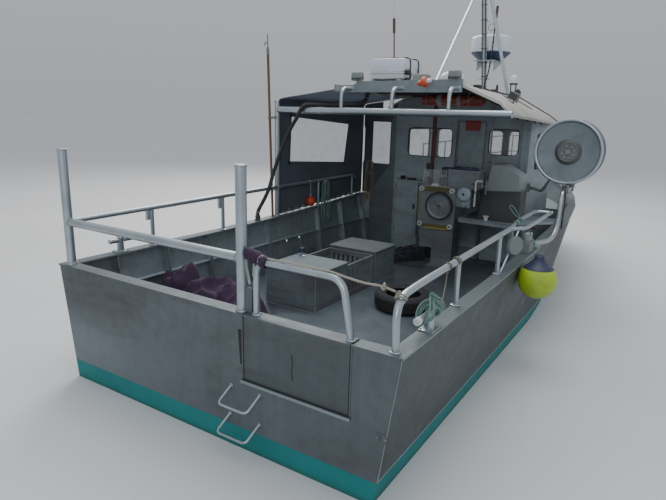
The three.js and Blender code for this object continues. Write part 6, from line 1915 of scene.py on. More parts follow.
class BOAT_OT_wheelhouse(bpy.types.Operator):
    """Wheelhouse walls, window rubbers, panes, door and the passage screen"""
    bl_idname = "boat.wheelhouse"
    bl_label = "Wheelhouse"

    def execute(self, context):
        skin = shared("house_plate")
        inner = finish(matt_paint, "house_lining", (0.3, 0.31, 0.31), 0.2)
        black = shared("window_rubber")
        parts = [(inner, lambda at, way: 5.238 < at.y < 6.682 and abs(at.x) < 0.962 and at.z > 0.34)]
        for node in ("house_aft_wall", "house_front_wall", "house_port_wall", "house_starboard_wall"):
            eased(node, skin, parts=parts)
        for node in ("glass_aft_port", "glass_aft_starboard", "glass_front", "glass_port", "glass_starboard"):
            clad(node, finish(pane))
        rubbers = Piece("window_rubbers")
        section = flat_ring(0.007, 0.03)
        turned = [(b, a) for a, b in section]
        for x0, x1, z0, z1 in AFT_WINDOWS:
            framed([(x0, AFT_RUBBER_Y, z0), (x1, AFT_RUBBER_Y, z0), (x1, AFT_RUBBER_Y, z1), (x0, AFT_RUBBER_Y,
                z1)], 0.075, turned, black, rubbers)
        for x0, x1 in FRONT_WINDOWS:
            framed([(x0, FRONT_RUBBER_Y, 1.67), (x1, FRONT_RUBBER_Y, 1.67), (x1, FRONT_RUBBER_Y, 2.16),
                (x0, FRONT_RUBBER_Y, 2.16)], 0.075, turned, black, rubbers)
        for x in (-SIDE_RUBBER_X, SIDE_RUBBER_X):
            framed([(x, 5.6, 1.67), (x, 6.48, 1.67), (x, 6.48, 2.16), (x, 5.6, 2.16)], 0.075, turned, black,
                rubbers)
        rubbers.done(slot="rubber")

        seams = Piece("wall_angles")
        for x in (-1.0, 0.43, 0.985):
            head = 2.54 if x < -0.9 else roof_height(x + 0.016, 5.2) - ROOF_THICK - 0.006
            seams.box((x - 0.016, 5.1965, 0.36), (x + 0.016, WALL_SEAT, head), skin, 0.001)
        for x in (-0.062, 0.402):
            seams.box((x, 5.19, 0.445), (x + 0.016, WALL_SEAT, 2.345), skin, 0.002)
        seams.box((-0.062, 5.19, 2.33), (0.418, WALL_SEAT, 2.346), skin, 0.002)
        seams.box((-0.062, 5.185, 0.436), (0.418, WALL_SEAT, 0.452), skin, 0.002)
        seams.box((0.9, 5.17, 0.9), (0.93, WALL_SEAT, 2.455), skin, 0.003)
        seams.rod((0.475, 5.18, 1.1), (0.475, 5.18, 2.62), 0.011, finish(plastic, "conduit",
            (0.3, 0.31, 0.31)), sides=16)
        for z in (1.3, 1.75, 2.35):
            seams.box((0.458, 5.165, z), (0.492, WALL_SEAT, z + 0.02), finish(steel), 0.002)
        seams.done(slot="house_plate")
        weld((-1.0, 5.1995, 0.36), (-1.0, 5.1995, 2.54))
        weld((1.0, 5.1995, 0.36), (1.0, 5.1995, 2.42))
        weld((-0.98, 5.1985, 0.334), (-0.06, 5.1985, 0.334))
        weld((0.42, 5.1985, 0.334), (0.98, 5.1985, 0.334))

        eased("house_door", skin, 0.004, "house_door", cuts=[((0, 5.2095, 1), ASTERN)])
        door = Piece("door_fittings")
        door.tube([(0.015, 5.212, 1.38), (0.015, 5.167, 1.38), (0.105, 5.167, 1.38)], 0.0095, finish(steel),
            0.02, 16)
        door.turned([(0, 0), (0.03, 0), (0.03, 0.004), (0.024, 0.009), (0, 0.009)], (0.015, 5.2105, 1.38),
            ASTERN, finish(steel), 28)
        for z in (0.92, 1.52):
            door.box((0.05, 5.2065, z), (0.31, 5.2102, z + 0.012), skin, 0.001)
        section = flat_ring(0.006, 0.012, 0.0015)
        framed([(-0.02, 5.2085, 0.475), (0.378, 5.2085, 0.475), (0.378, 5.2085, 2.305), (-0.02, 5.2085,
            2.305)], 0.03, [(b, a) for a, b in section], shared("window_rubber"), door)
        door.done("house_door", "dark_steel")
        sign = Piece("blank_sign")
        red = finish(matt_paint, "sign_red", (0.34, 0.055, 0.045), 0.5, 0.45)
        sign.box((0.078, 5.2068, 2.182), (0.3, 5.2098, 2.326), red, 0.0012)
        sign.done("house_door", "red_paint")
        for x in (0.086, 0.292):
            for z in (2.19, 2.318):
                bolt((x, 5.2068, z), ASTERN, 0.003, "house_door")

        dark = finish(woven, "screen_cloth", tuple(colours().canvas), tinted(colours().canvas, 0.5))
        eased("passage_screen", finish(plate, "screen_plate", 0.85, 0.5, 0.3),
            parts=[(dark, lambda at, way: at.z > 1.55)])
        screen = Piece("screen_pane")
        screen.box((-1.445, 5.2255, 1.605), (-1.09, 5.2295, 2.285), finish(pane, "screen_glass",
            (0.62, 0.68, 0.71), 0.2), 0)
        screen.done(slot="window_glass")
        ring = Piece("screen_rubber")
        framed([(-1.43, 5.2035, 1.62), (-1.105, 5.2035, 1.62), (-1.105, 5.2035, 2.27), (-1.43, 5.2035, 2.27)],
            0.012, [(b, a) for a, b in flat_ring(0.006, 0.026)], black, ring)
        ring.done(slot="rubber")
        return {"FINISHED"}


class BOAT_OT_helm(bpy.types.Operator):
    """Inside of the wheelhouse: console, wheel and seat"""
    bl_idname = "boat.helm"
    bl_label = "Helm"

    def execute(self, context):
        grey = finish(matt_paint, "console_paint", (0.2, 0.21, 0.215), 0.25)
        black = shared("black_moulding")
        eased("helm_console", grey, 0.008)
        dials = Piece("helm_dials")
        glow = finish(plastic, "screen_face", (0.02, 0.035, 0.05), 0.1, 0.8, 0.05)
        for x in (0.12, 0.4):
            dials.box((x, 6.4, 1.331), (x + 0.24, 6.44, 1.52), black, 0.01)
            dials.box((x + 0.015, 6.398, 1.346), (x + 0.225, 6.402, 1.505), glow, 0.001)
        dials.box((0.1, 6.44, 1.33), (0.86, 6.62, 1.338), black, 0.003)
        for x in (0.155, 0.26, 0.365):
            dials.turned([(0, 0), (0.034, 0), (0.034, 0.006), (0.029, 0.008), (0.029, 0.004), (0, 0.004)],
                (x, 6.335, DIAL_Z), (0, -0.8, 0.6), black, 32)
        dials.turned([(0, 0), (0.02, 0), (0.012, 0.02), (0.008, 0.09), (0.016, 0.1), (0.016, 0.13),
            (0, 0.135)], (0.52, 6.345, DIAL_Z), (0, -0.5, 0.85), black, 24)
        dials.done(slot="black_trim")
        wheel = Piece("wheel_rim")
        ring = [(0.17 + 0.0145 * cos(2 * pi * i / 20), 0.0145 * sin(2 * pi * i / 20)) for i in range(20)]
        wheel.turned([*ring, ring[0]], WHEEL_HUB, AHEAD, black, 72)
        for i in range(3):
            angle = 2 * pi * i / 3 - pi / 2
            way = Vector((cos(angle), 0, sin(angle)))
            wheel.rod(Vector(WHEEL_HUB) + way * 0.02, Vector(WHEEL_HUB) + way * 0.162, 0.0075, finish(steel),
                0.001, 16)
        wheel.turned([(0, -0.016), (0.026, -0.015), (0.0345, -0.006), (0.0345, 0.04), (0.0165, 0.042),
            (0.0165, 0.2), (0, 0.2)], WHEEL_HUB, AHEAD, finish(steel), 40)
        wheel.done("helm_wheel", "black_trim", ("helm_wheel",))
        vinyl = finish(plastic, "seat_vinyl", (0.035, 0.037, 0.042), 0.42, 0.0, 0.35)
        seat = Piece("seat_post")
        x, y = 0.7, 5.72
        seat.turned([(0, 0), (0.17, 0), (0.17, 0.012), (0.155, 0.016), (0.046, 0.017), (0.046, 0.3),
            (0.04, 0.302), (0.04, 0.63), (0, 0.63)], (x, y, 0.3303), UP, finish(steel), 48)
        seat.done(slot="dark_steel", replaces=("helm_seat",))
        for name, low, high in (("seat_cushion", (x - 0.225, y - 0.205, 0.958), (x + 0.225, y + 0.225,
                1.038)), ("seat_back", (x - 0.215, y - 0.226, 1.045), (x + 0.215, y - 0.152, 1.495))):
            pad = Piece(name)
            pad.box(low, high, vinyl, 0.0)
            bm = pad.bm
            bmesh.ops.subdivide_edges(bm, edges=bm.edges[:], cuts=9, use_grid_fill=True)
            middle = (Vector(low) + Vector(high)) / 2
            half = (Vector(high) - Vector(low)) / 2
            thin = min(range(3), key=lambda k: half[k])
            wide = [k for k in range(3) if k != thin]
            for vert in bm.verts:
                share = [(vert.co[k] - middle[k]) / half[k] for k in range(3)]
                reach = max(abs(share[k]) for k in wide)
                crown = max(0.0, (1 - share[wide[0]] ** 4) * (1 - share[wide[1]] ** 4))
                vert.co[thin] = middle[thin] + share[thin] * half[thin] * (0.52 + 0.48 * crown ** 0.5)
                for k in wide:
                    pull = 1 - 0.05 * (1 - share[wide[0] if k == wide[1] else wide[1]] ** 2) * reach ** 3
                    vert.co[k] = middle[k] + share[k] * half[k] * (pull - 0.03 * abs(share[thin]) * reach)
            thing = pad.done(slot="black_trim", sharp=80)
            smooth = thing.modifiers.new("smooth", "SUBSURF")
            smooth.levels = smooth.render_levels = 1
        return {"FINISHED"}


class BOAT_OT_locker(bpy.types.Operator):
    """Locker on the wheelhouse's after wall"""
    bl_idname = "boat.locker"
    bl_label = "Locker"

    def execute(self, context):
        skin = shared("house_plate")
        eased("aft_locker", skin, 0.004)
        trim = Piece("locker_fittings")
        dark = shared("black_moulding")
        for z in (0.62, 1.28):
            trim.rod((-0.905, LOCKER_FACE, z), (-0.905, LOCKER_FACE, z + 0.07), 0.008, finish(steel),
                sides=16)
        trim.box((-0.615, 5.062, 0.98), (-0.585, 5.075, 1.06), dark, 0.004)
        trim.tube([(-0.6, LOCKER_FACE, 1.0), (-0.6, 5.045, 1.0), (-0.6, 5.045, 1.04), (-0.6, LOCKER_FACE,
            1.04)], 0.004, finish(steel), 0.01, 10)
        trim.turned([(0, 0), (0.033, 0), (0.038, 0.052), (0.034, 0.052), (0.03, 0.006), (0, 0.006)],
            (-0.83, 5.13, 1.4175), UP, dark, 28)
        trim.box((-0.74, 5.1, 1.4172), (-0.62, 5.17, 1.445), dark, 0.008)
        trim.done(slot="dark_steel")
        return {"FINISHED"}


# Fishing gear under the roof

class BOAT_OT_hauler(bpy.types.Operator):
    """Line hauler with its disc, sheave, rollers, yellow edging and controls"""
    bl_idname = "boat.hauler"
    bl_label = "Line hauler"

    def execute(self, context):
        grey = finish(plate, "hauler_plate", 1.0, 0.6, 0.5)
        nylon = shared("white_nylon")
        blue_grey = finish(plastic, "sheave_nylon", (0.36, 0.42, 0.47), 0.5)
        dark = finish(rubber)
        yellow = finish(matt_paint, "yellow_edging", (0.5, 0.4, 0.045), 0.6, 0.6)
        ochre = finish(matt_paint, "ochre_panel", (0.15, 0.125, 0.05), 0.8, 0.6)
        lime = finish(matt_paint, "lime_edging", (0.22, 0.23, 0.05), 0.7, 0.6)
        eased("hauler_stand", grey, 0.003)
        edging = Piece("hauler_edging")
        edging.box((-0.2275, 4.396, 0.9), (-0.22, 4.4015, 1.375), lime, 0.001)
        edging.box((-0.2, 4.3975, 0.96), (-0.19, 4.4012, 1.36), lime, 0.001)
        edging.box((-0.2275, 4.3965, 0.9), (-0.2245, 4.64, 1.375), lime, 0.001)
        edging.box((-0.14, 4.396, 1.445), (0.215, 4.4015, 1.4525), finish(tube), 0.001)
        edging.box((-0.14, 4.3975, 1.372), (0.215, 4.4012, 1.4445), ochre, 0.001)
        edging.box((-0.14, 4.3975, 0.88), (0.222, 4.4012, 0.93), ochre, 0.001)
        edging.box((-0.14, 4.394, 0.8675), (0.222, 4.4015, 0.88), yellow, 0.001)
        edging.box((-0.14, 4.3965, 0.8672), (0.222, 4.45, 0.8705), yellow, 0.001)
        edging.done(slot="black_trim")
        rollers = Piece("hauler_rollers")
        for x, z in ((-0.18, 1.405), (0.255, 1.405), (-0.18, 0.918), (0.255, 0.918)):
            rollers.turned([(0.019, -0.034), (0.024, -0.038), (0.031, -0.036), (0.037, -0.028),
                (0.037, -0.01), (0.03, -0.002), (0.019, -0.002), (0.019, -0.034)], (x, ROLLER_Y, z), AHEAD,
                nylon, 32)
            rollers.turned([(0, -0.03), (0.012, -0.03), (0.0188, -0.026), (0.0188, 0.003), (0, 0.003)],
                (x, ROLLER_Y, z), AHEAD, dark, 24)
        rollers.turned([(0.014, -0.04), (0.02, -0.043), (0.0305, -0.034), (0.0305, 0.018), (0.014, 0.018),
            (0.014, -0.04)], SIDE_ROLLER, AHEAD, blue_grey, 28)
        rollers.turned(plug(0.0138, -0.036, 0.017), SIDE_ROLLER, AHEAD, dark, 20)
        rollers.done(slot="house_plate")

        disc = Piece("hauler_face")
        face = finish(steel, "disc_face", (0.235, 0.26, 0.28), 0.1, 0.42, 0.55)
        rings = [(0, -0.026), (0.018, -0.026), (0.02, -0.02), (0.03, -0.019), (0.032, -0.0165)]
        for r in (0.055, 0.082, 0.108, 0.134):
            rings += [(r - 0.003, -0.0165), (r, -0.0145), (r + 0.003, -0.0165)]
        disc.turned([*rings, (0.158, -0.0165), (0.166, -0.022), (0.1705, -0.024), (0.1705, 0.012),
            (0.151, 0.02), (0, 0.02)], DISC_HUB, AHEAD, face, 72)
        disc.turned([(0.1706, -0.026), (0.1745, -0.0335), (0.182, -0.037), (0.189, -0.0365), (0.1905, -0.033),
            (0.1905, -0.002), (0.188, 0.0005), (0.1706, 0.0118), (0.1706, -0.026)], DISC_HUB, AHEAD, dark, 72)
        disc.turned(plug(0.0202, 0.02, 0.1155), DISC_HUB, AHEAD, finish(steel), 24)
        disc.turned([(0, -0.031), (0.011, -0.031), (0.015, -0.026), (0, -0.026)], DISC_HUB, AHEAD, dark, 20)
        disc.done("hauler_disc", "dark_steel", ("hauler_disc",))
        for i in range(6):
            angle = 2 * pi * i / 6 + 0.2
            bolt((0.093 + 0.043 * cos(angle), 4.3575, 1.194 + 0.043 * sin(angle)), ASTERN, 0.004,
                "hauler_disc")

        sheave = Piece("sheave_face")
        sheave.turned([(0, -0.018), (0.024, -0.018), (0.028, -0.014), (0.03, -0.009), (0.05, -0.0088),
            (0.053, -0.011), (0.056, -0.0088), (0.078, -0.0085), (0.0835, -0.0045), (0.0862, 0.0),
            (0.061, 0.0135), (0.0862, 0.0275), (0.079, 0.0342), (0, 0.0342)], SHEAVE_HUB, AHEAD, blue_grey,
            56)
        sheave.turned(plug(0.0162, 0.034, 0.0675), SHEAVE_HUB, AHEAD, finish(steel), 24)
        sheave.turned([(0, -0.026), (0.012, -0.026), (0.017, -0.018), (0, -0.018)], SHEAVE_HUB, AHEAD, dark,
            20)
        sheave.done("hauler_sheave", "dark_steel", ("hauler_sheave",))

        post = Piece("red_post")
        red = finish(matt_paint, "post_red", (0.085, 0.014, 0.018), 0.5, 0.5)
        post.turned([(0, 0), (0.045, 0), (0.045, 0.008), (0.0252, 0.01), (0.0252, 1.1894), (0.04, 1.19),
            (0.04, 1.1994), (0, 1.1994)], (-0.11, 4.52, 1.4503), UP, red, 36)
        post.done(slot="red_paint", replaces=("red_stanchion",))

        controls = Piece("hauler_controls")
        black = shared("black_moulding")
        grey_box = shared("grey_box")
        controls.box((-0.175, 4.47, 1.64), (-0.085, 4.488, 1.745), black, 0.006)
        controls.box((0.05, 4.475, 1.6), (0.19, 4.6, 1.7), black, 0.01)
        controls.box((-0.15, 4.46, 1.4512), (-0.09, 4.53, 1.56), black, 0.01)
        controls.box((0.02, 4.46, 1.4512), (0.105, 4.56, 1.565), black, 0.016)
        controls.box((-0.06, 4.42, 1.4505), (0.04, 4.5, 1.478), nylon, 0.006)
        controls.box((0.146, 4.4565, 1.676), (0.579, 4.704, 1.684), grey_box, 0.003)
        controls.done(slot="black_trim")
        tray = Piece("clear_tray")
        clear = finish(pane, "clear_tray", (0.62, 0.66, 0.68), 0.1, 0.1)
        x0, x1, y0, y1, z0, z1 = -0.184, 0.142, 4.425, 4.62, 1.4508, 1.665
        for low, high in (((x0, y0, z0), (x1, y0 + 0.003, z1)), ((x0, y1 - 0.003, z0), (x1, y1, z1)),
                ((x0, y0 + 0.0032, z0), (x0 + 0.003, y1 - 0.0032, z1)), ((x1 - 0.003, y0 + 0.0032, z0),
                (x1, y1 - 0.0032, z1))):
            tray.box(low, high, clear, 0.0008)
        tray.tube([(x0, y0, z1), (x1, y0, z1), (x1, y1, z1), (x0, y1, z1)], 0.0035, blue_grey, 0.02, 10,
            closed=True)
        for x, y in ((x0, y0), (x1, y0), (x1, y1), (x0, y1)):
            tray.rod((x, y, z0), (x, y, z1), 0.0032, blue_grey, sides=10)
        tray.done(slot="clear_vinyl")

        navy = finish(woven, "navy_cloth", (0.02, 0.032, 0.09), (0.008, 0.01, 0.03), 0.003, 0.3, 0.5, 0.85)
        mounds = ((0.24, 4.55, 0.16, 0.16, 0.046), (0.4, 4.57, 0.22, 0.14, 0.036), (0.52, 4.52, 0.12, 0.12,
            0.03))
        mesh = crumpled("navy_cloth", (0.165, 4.466), (0.572, 4.69), mounds, navy, 0.5, 14.0, (70, 44), 1.7,
            1.6862)
        thing = settle("navy_cloth", mesh, sharp=50)

        valve = Piece("wash_valve")
        white = finish(plastic, "white_pipe", (0.6, 0.61, 0.6), 0.4)
        valve.tube([(0.56, 4.41, 1.23), (0.56, 4.41, 1.565), (0.64, 4.41, 1.565)], 0.0125, white, 0.03, 20)
        valve.turned(plug(0.019, 0, 0.03), (0.56, 4.41, 1.4), UP, finish(steel), 24)
        valve.rod((0.64, 4.41, 1.47), (0.64, 4.41, 1.6), 0.0115, finish(steel), sides=16)
        valve.rod((0.69, 4.42, 1.4), (0.69, 4.42, 1.585), 0.01, finish(steel), sides=16)
        valve.rod((0.57, 4.414, 1.5), (0.7, 4.414, 1.5), 0.01, finish(steel), sides=16)
        valve.rod((0.52, 4.416, 1.3), (0.56, 4.41, 1.3), 0.01, finish(steel), sides=16)
        valve.box((0.595, ROLLER_Y, 1.24), (0.625, 4.43, 1.4), black, 0.004)
        valve.rod((0.499, 4.43, 1.52), (0.56, 4.41, 1.52), 0.011, finish(steel), sides=16)
        valve.done(slot="tube")
        return {"FINISHED"}


class BOAT_OT_table(bpy.types.Operator):
    """Sorting table, its covered sorter and what lies on it"""
    bl_idname = "boat.table"
    bl_label = "Sorting table"

    def execute(self, context):
        skin = finish(plate, "table_plate", 1.15, 0.6, 0.6)
        # Painted shade: the sorter's faces that do not face up are near black
        shaded = finish(matt_paint, "sorter_dark", (0.075, 0.077, 0.082), 0.4, 0.6)
        hood = finish(matt_paint, "grey_cover", (0.315, 0.35, 0.37), 0.35, 0.75)
        eased("sorting_table", skin, parts=[(shaded, lambda at, way: at.z > 1.075 and at.y
            > 4.44 and way.z < 0.7)])
        eased("sorter_hood", hood, 0.012, sharp=40)
        bits = Piece("table_litter")
        brown = finish(matt_paint, "bait_scrap", (0.14, 0.08, 0.055), 0.6, 0.7)
        white = finish(plastic, "white_cup", (0.66, 0.67, 0.66), 0.4)
        rng = random.Random(12)
        for _ in range(34):
            x, y = rng.uniform(0.5, 1.35), rng.uniform(4.43, 4.7)
            size = rng.uniform(0.01, 0.03)
            bits.ball((x, y, 1.0098 + size * 0.28), size, brown, 8, 0.45)
        bits.turned([(0, 0), (0.022, 0), (0.026, 0.01), (0.026, 0.085), (0.04, 0.09), (0.04, 0.098),
            (0.02, 0.098), (0.018, 0.01), (0, 0.01)], (0.7, 4.5, 1.0102), UP, white, 32)
        bits.done(slot="house_plate", sharp=60)
        edge = Piece("table_edge")
        outline = [(0.36, 4.4), (1.09, 4.36), (1.49, 4.72), (1.49, 5.19)]
        for (xa, ya), (xb, yb) in zip(outline, outline[1:]):
            edge.tube([(xa, ya, 1.0595), (xb, yb, 1.0595)], 0.0085, skin, sides=12)
        edge.done(slot="house_plate")
        return {"FINISHED"}


# Boxes on deck

class BOAT_OT_boxes(bpy.types.Operator):
    """Stowage boxes with their lids, and the slatted bin between them"""
    bl_idname = "boat.boxes"
    bl_label = "Deck boxes"

    def execute(self, context):
        skin = finish(plate, "box_plate", 1.05, 0.8, 0.6)
        lid = finish(plate, "lid_plate", 0.95, 0.3, 0.5)
        eased("box_aft", skin)
        eased("box_fore", skin)
        eased("slatted_bin", finish(plate, "bin_plate", 1.1, 0.7, 0.8), 0.002)
        eased("box_aft_lid", lid, 0.003, "box_aft_lid", cuts=[((0, 0, 0.7578), (0, 0, 1))])
        eased("box_fore_lid", lid, 0.003, "box_fore_lid")
        knob = Piece("lid_knob")
        chrome = finish(steel, "chrome", (0.55, 0.56, 0.57), 0.05, 0.18, 1.0)
        navy = finish(plastic, "navy_knob", tuple(colours().navy), 0.3, 0.4)
        at = (-0.775, 2.405, 0.7573)
        knob.turned([(0, 0), (0.04, 0), (0.04, 0.004), (0.018, 0.01), (0.0165, 0.048), (0, 0.048)], at, UP,
            chrome, 32)
        knob.turned([(0, 0.044), (0.026, 0.044), (0.035, 0.052), (0.035, 0.07), (0.031, 0.074),
            (0.035, 0.078), (0.035, 0.09), (0.028, 0.0955), (0, 0.097)], at, UP, navy, 40)
        knob.done("box_aft_lid", "black_trim")
        for name, y0, y1, low, body in (("aft", 1.85, 2.482, 0.7353, "box_aft_lid"), ("fore", 3.14, 3.67,
                0.7223, "box_fore_lid")):
            trim = Piece("lid_fittings_" + name)
            trim.rod((-0.87, y0 + 0.06, low + 0.01), (-0.87, y1 - 0.06, low + 0.01), 0.0095, finish(steel),
                sides=20)
            for i in range(5):
                y = y0 + 0.09 + (y1 - y0 - 0.2) * i / 4
                trim.turned(collar(0.0096, 0.0108, 0, 0.014), (-0.87, y, low + 0.01), AHEAD, finish(steel),
                    20)
            trim.done(body, "dark_steel")
            hasp = Piece("hasp_" + name)
            y = (y0 + y1) / 2
            hasp.box((-0.1985, y - 0.022, low - 0.09), (-0.1955, y + 0.022, low - 0.03), finish(steel), 0.001)
            hasp.tube([(-0.196, y - 0.012, low - 0.045), (-0.182, y - 0.012, low - 0.045), (-0.182, y + 0.012,
                low - 0.045), (-0.196, y + 0.012, low - 0.045)], 0.003, finish(steel), 0.008, 8)
            for z in (0.42, 0.6):
                hasp.box((-0.849, y0 - 0.0025, z), (-0.201, y0 + 0.001, z + 0.006), skin, 0.001)
            hasp.done(slot="dark_steel")
            for x in (-0.85, -0.2):
                weld((x, y0 + 0.001, 0.335), (x, y0 + 0.001, low - 0.006))
            weld((-0.85, y0 - 0.001, 0.333), (-0.2, y0 - 0.001, 0.333))
            weld((-0.199, y0, 0.333), (-0.199, y1, 0.333))
        return {"FINISHED"}


# Net hauler

class BOAT_OT_net_hauler(bpy.types.Operator):
    """Net hauler drum with its bracket, motor and pipes"""
    bl_idname = "boat.net_hauler"
    bl_label = "Net hauler"

    def execute(self, context):
        spun = finish(spun_plate)
        rough = finish(steel, "hub_steel", (0.2, 0.21, 0.22), 0.35, 0.5, 0.6)
        bright = finish(tube)
        x, y, z = 1.684, 4.1, 2.015
        drum = Piece("net_drum")
        drum.turned([(0, 0.0), (0.15, 0.0295), (0.16, 0.03), (0.325, 0.0065), (0.3315, -0.003),
            (0.338, -0.0125), (0.346, -0.0145), (0.358, -0.0145), (0.3645, -0.0115), (0.3652, -0.004),
            (0.3652, 0.0145), (0.335, 0.0305), (0.27, 0.05), (0.204, 0.0695), (0.1935, 0.085), (0.1898, 0.11),
            (0.1935, 0.135), (0.204, 0.1505), (0.335, 0.1905), (0.3652, 0.2065), (0.3652, 0.2165),
            (0.325, 0.2165), (0, 0.2005)], (x, y, z), AHEAD, spun, 120)
        drum.turned([(0, -0.0105), (0.03, -0.0105), (0.032, -0.0075), (0.094, -0.0075), (0.098, -0.0115),
            (0.11, -0.0115), (0.1132, -0.008), (0.118, 0.005), (0.15, 0.0312), (0.15, 0.036), (0, 0.036)],
            (x, y, z), AHEAD, rough, 72)
        drum.turned([(0.337, -0.013), (0.346, -0.018), (0.3585, -0.018), (0.3668, -0.0125), (0.3668, -0.003),
            (0.36, -0.012), (0.346, -0.014), (0.337, -0.013)], (x, y, z), AHEAD, bright, 120)
        drum.turned(plug(0.0302, 0.2, 0.3502), (x, y, z), AHEAD, finish(steel), 36)
        lining = finish(rubber, "drum_lining", 1.2)
        drum.turned([(0.335, 0.0325), (0.204, 0.0715), (0.1955, 0.085), (0.1918, 0.11), (0.1955, 0.135),
            (0.204, 0.1485), (0.335, 0.1885), (0.335, 0.1915), (0.2, 0.1515), (0.186, 0.135), (0.184, 0.11),
            (0.186, 0.085), (0.2, 0.069), (0.335, 0.029), (0.335, 0.0325)], (x, y, z), AHEAD, lining, 120)
        drum.done("net_hauler_drum", "dark_steel", ("net_hauler_drum",))
        for i in range(8):
            angle = 2 * pi * i / 8 + 0.3
            bolt((x + 0.066 * cos(angle), y - 0.0075, z + 0.066 * sin(angle)), ASTERN, 0.0075,
                "net_hauler_drum")
        bolt((x, y - 0.0105, z), ASTERN, 0.017, "net_hauler_drum")

        eased("net_hauler_bracket", finish(steel, "bracket_steel", (0.4, 0.42, 0.43), 0.3, 0.45, 0.55), 0.002)
        foot = sheer_height(3.3)
        pipes = Piece("bracket_pipes")
        pipes.tube([(1.6, 3.28, foot + 0.042), (1.72, 3.54, foot + 0.052), (1.738, 3.72, foot + 0.19),
            (1.74, 3.74, 1.61), (1.735, 4.44, 1.6), (x, 4.44, 1.92)], 0.0276, bright, 0.12, 28)
        pipes.tube([(x - 0.06, 4.48, z - 0.06), (1.33, 4.7, 1.48), (1.04, 5.32, 1.44)], 0.0226, bright, 0.09,
            24)
        for dx, dz in ((-0.045, 0), (0.045, 0)):
            pipes.tube([(x + dx, 4.4, z - 0.118), (x + dx, 4.395, 1.66), (1.735 + dx * 0.3, 4.33, 1.648),
                (1.738 + dx * 0.3, 3.8, 1.652), (1.765 + dx * 0.3, 3.735, 1.56), (1.765 + dx * 0.3, 3.72,
                1.2)], 0.0085, finish(rubber), 0.05, 12)
        for yy in (3.88, 4.2):
            pipes.box((1.704, yy - 0.01, 1.57), (1.778, yy + 0.01, 1.664), finish(steel), 0.003)
        pipes.box((1.555, 3.195, foot + 0.0165), (1.655, 3.365, foot + 0.0305), bright, 0.003)
        pipes.done(slot="dark_steel")
        motor = Piece("drum_motor")
        motor.turned([(0, 0), (0.076, 0), (0.08, 0.004), (0.08, 0.03), (0.066, 0.034), (0.066, 0.128),
            (0.058, 0.136), (0, 0.136)], (x, 4.5203, z), AHEAD, finish(matt_paint, "motor_paint",
            (0.05, 0.055, 0.06), 0.4), 40)
        motor.box((x - 0.112, y + 0.3, z - 0.122), (x + 0.112, y + 0.312, z + 0.122), finish(steel), 0.002)
        motor.done(slot="dark_steel")
        for dx in (-0.09, 0.09):
            for dz in (-0.09, 0.09):
                bolt((x + dx, y + 0.2298, z + dz), ASTERN, 0.011)
        weld_ring((1.6, 3.285, foot + 0.031), 0.034)
        weld_ring((1.0505, 5.32, 1.44), 0.03, ACROSS)
        return {"FINISHED"}


# On the roof

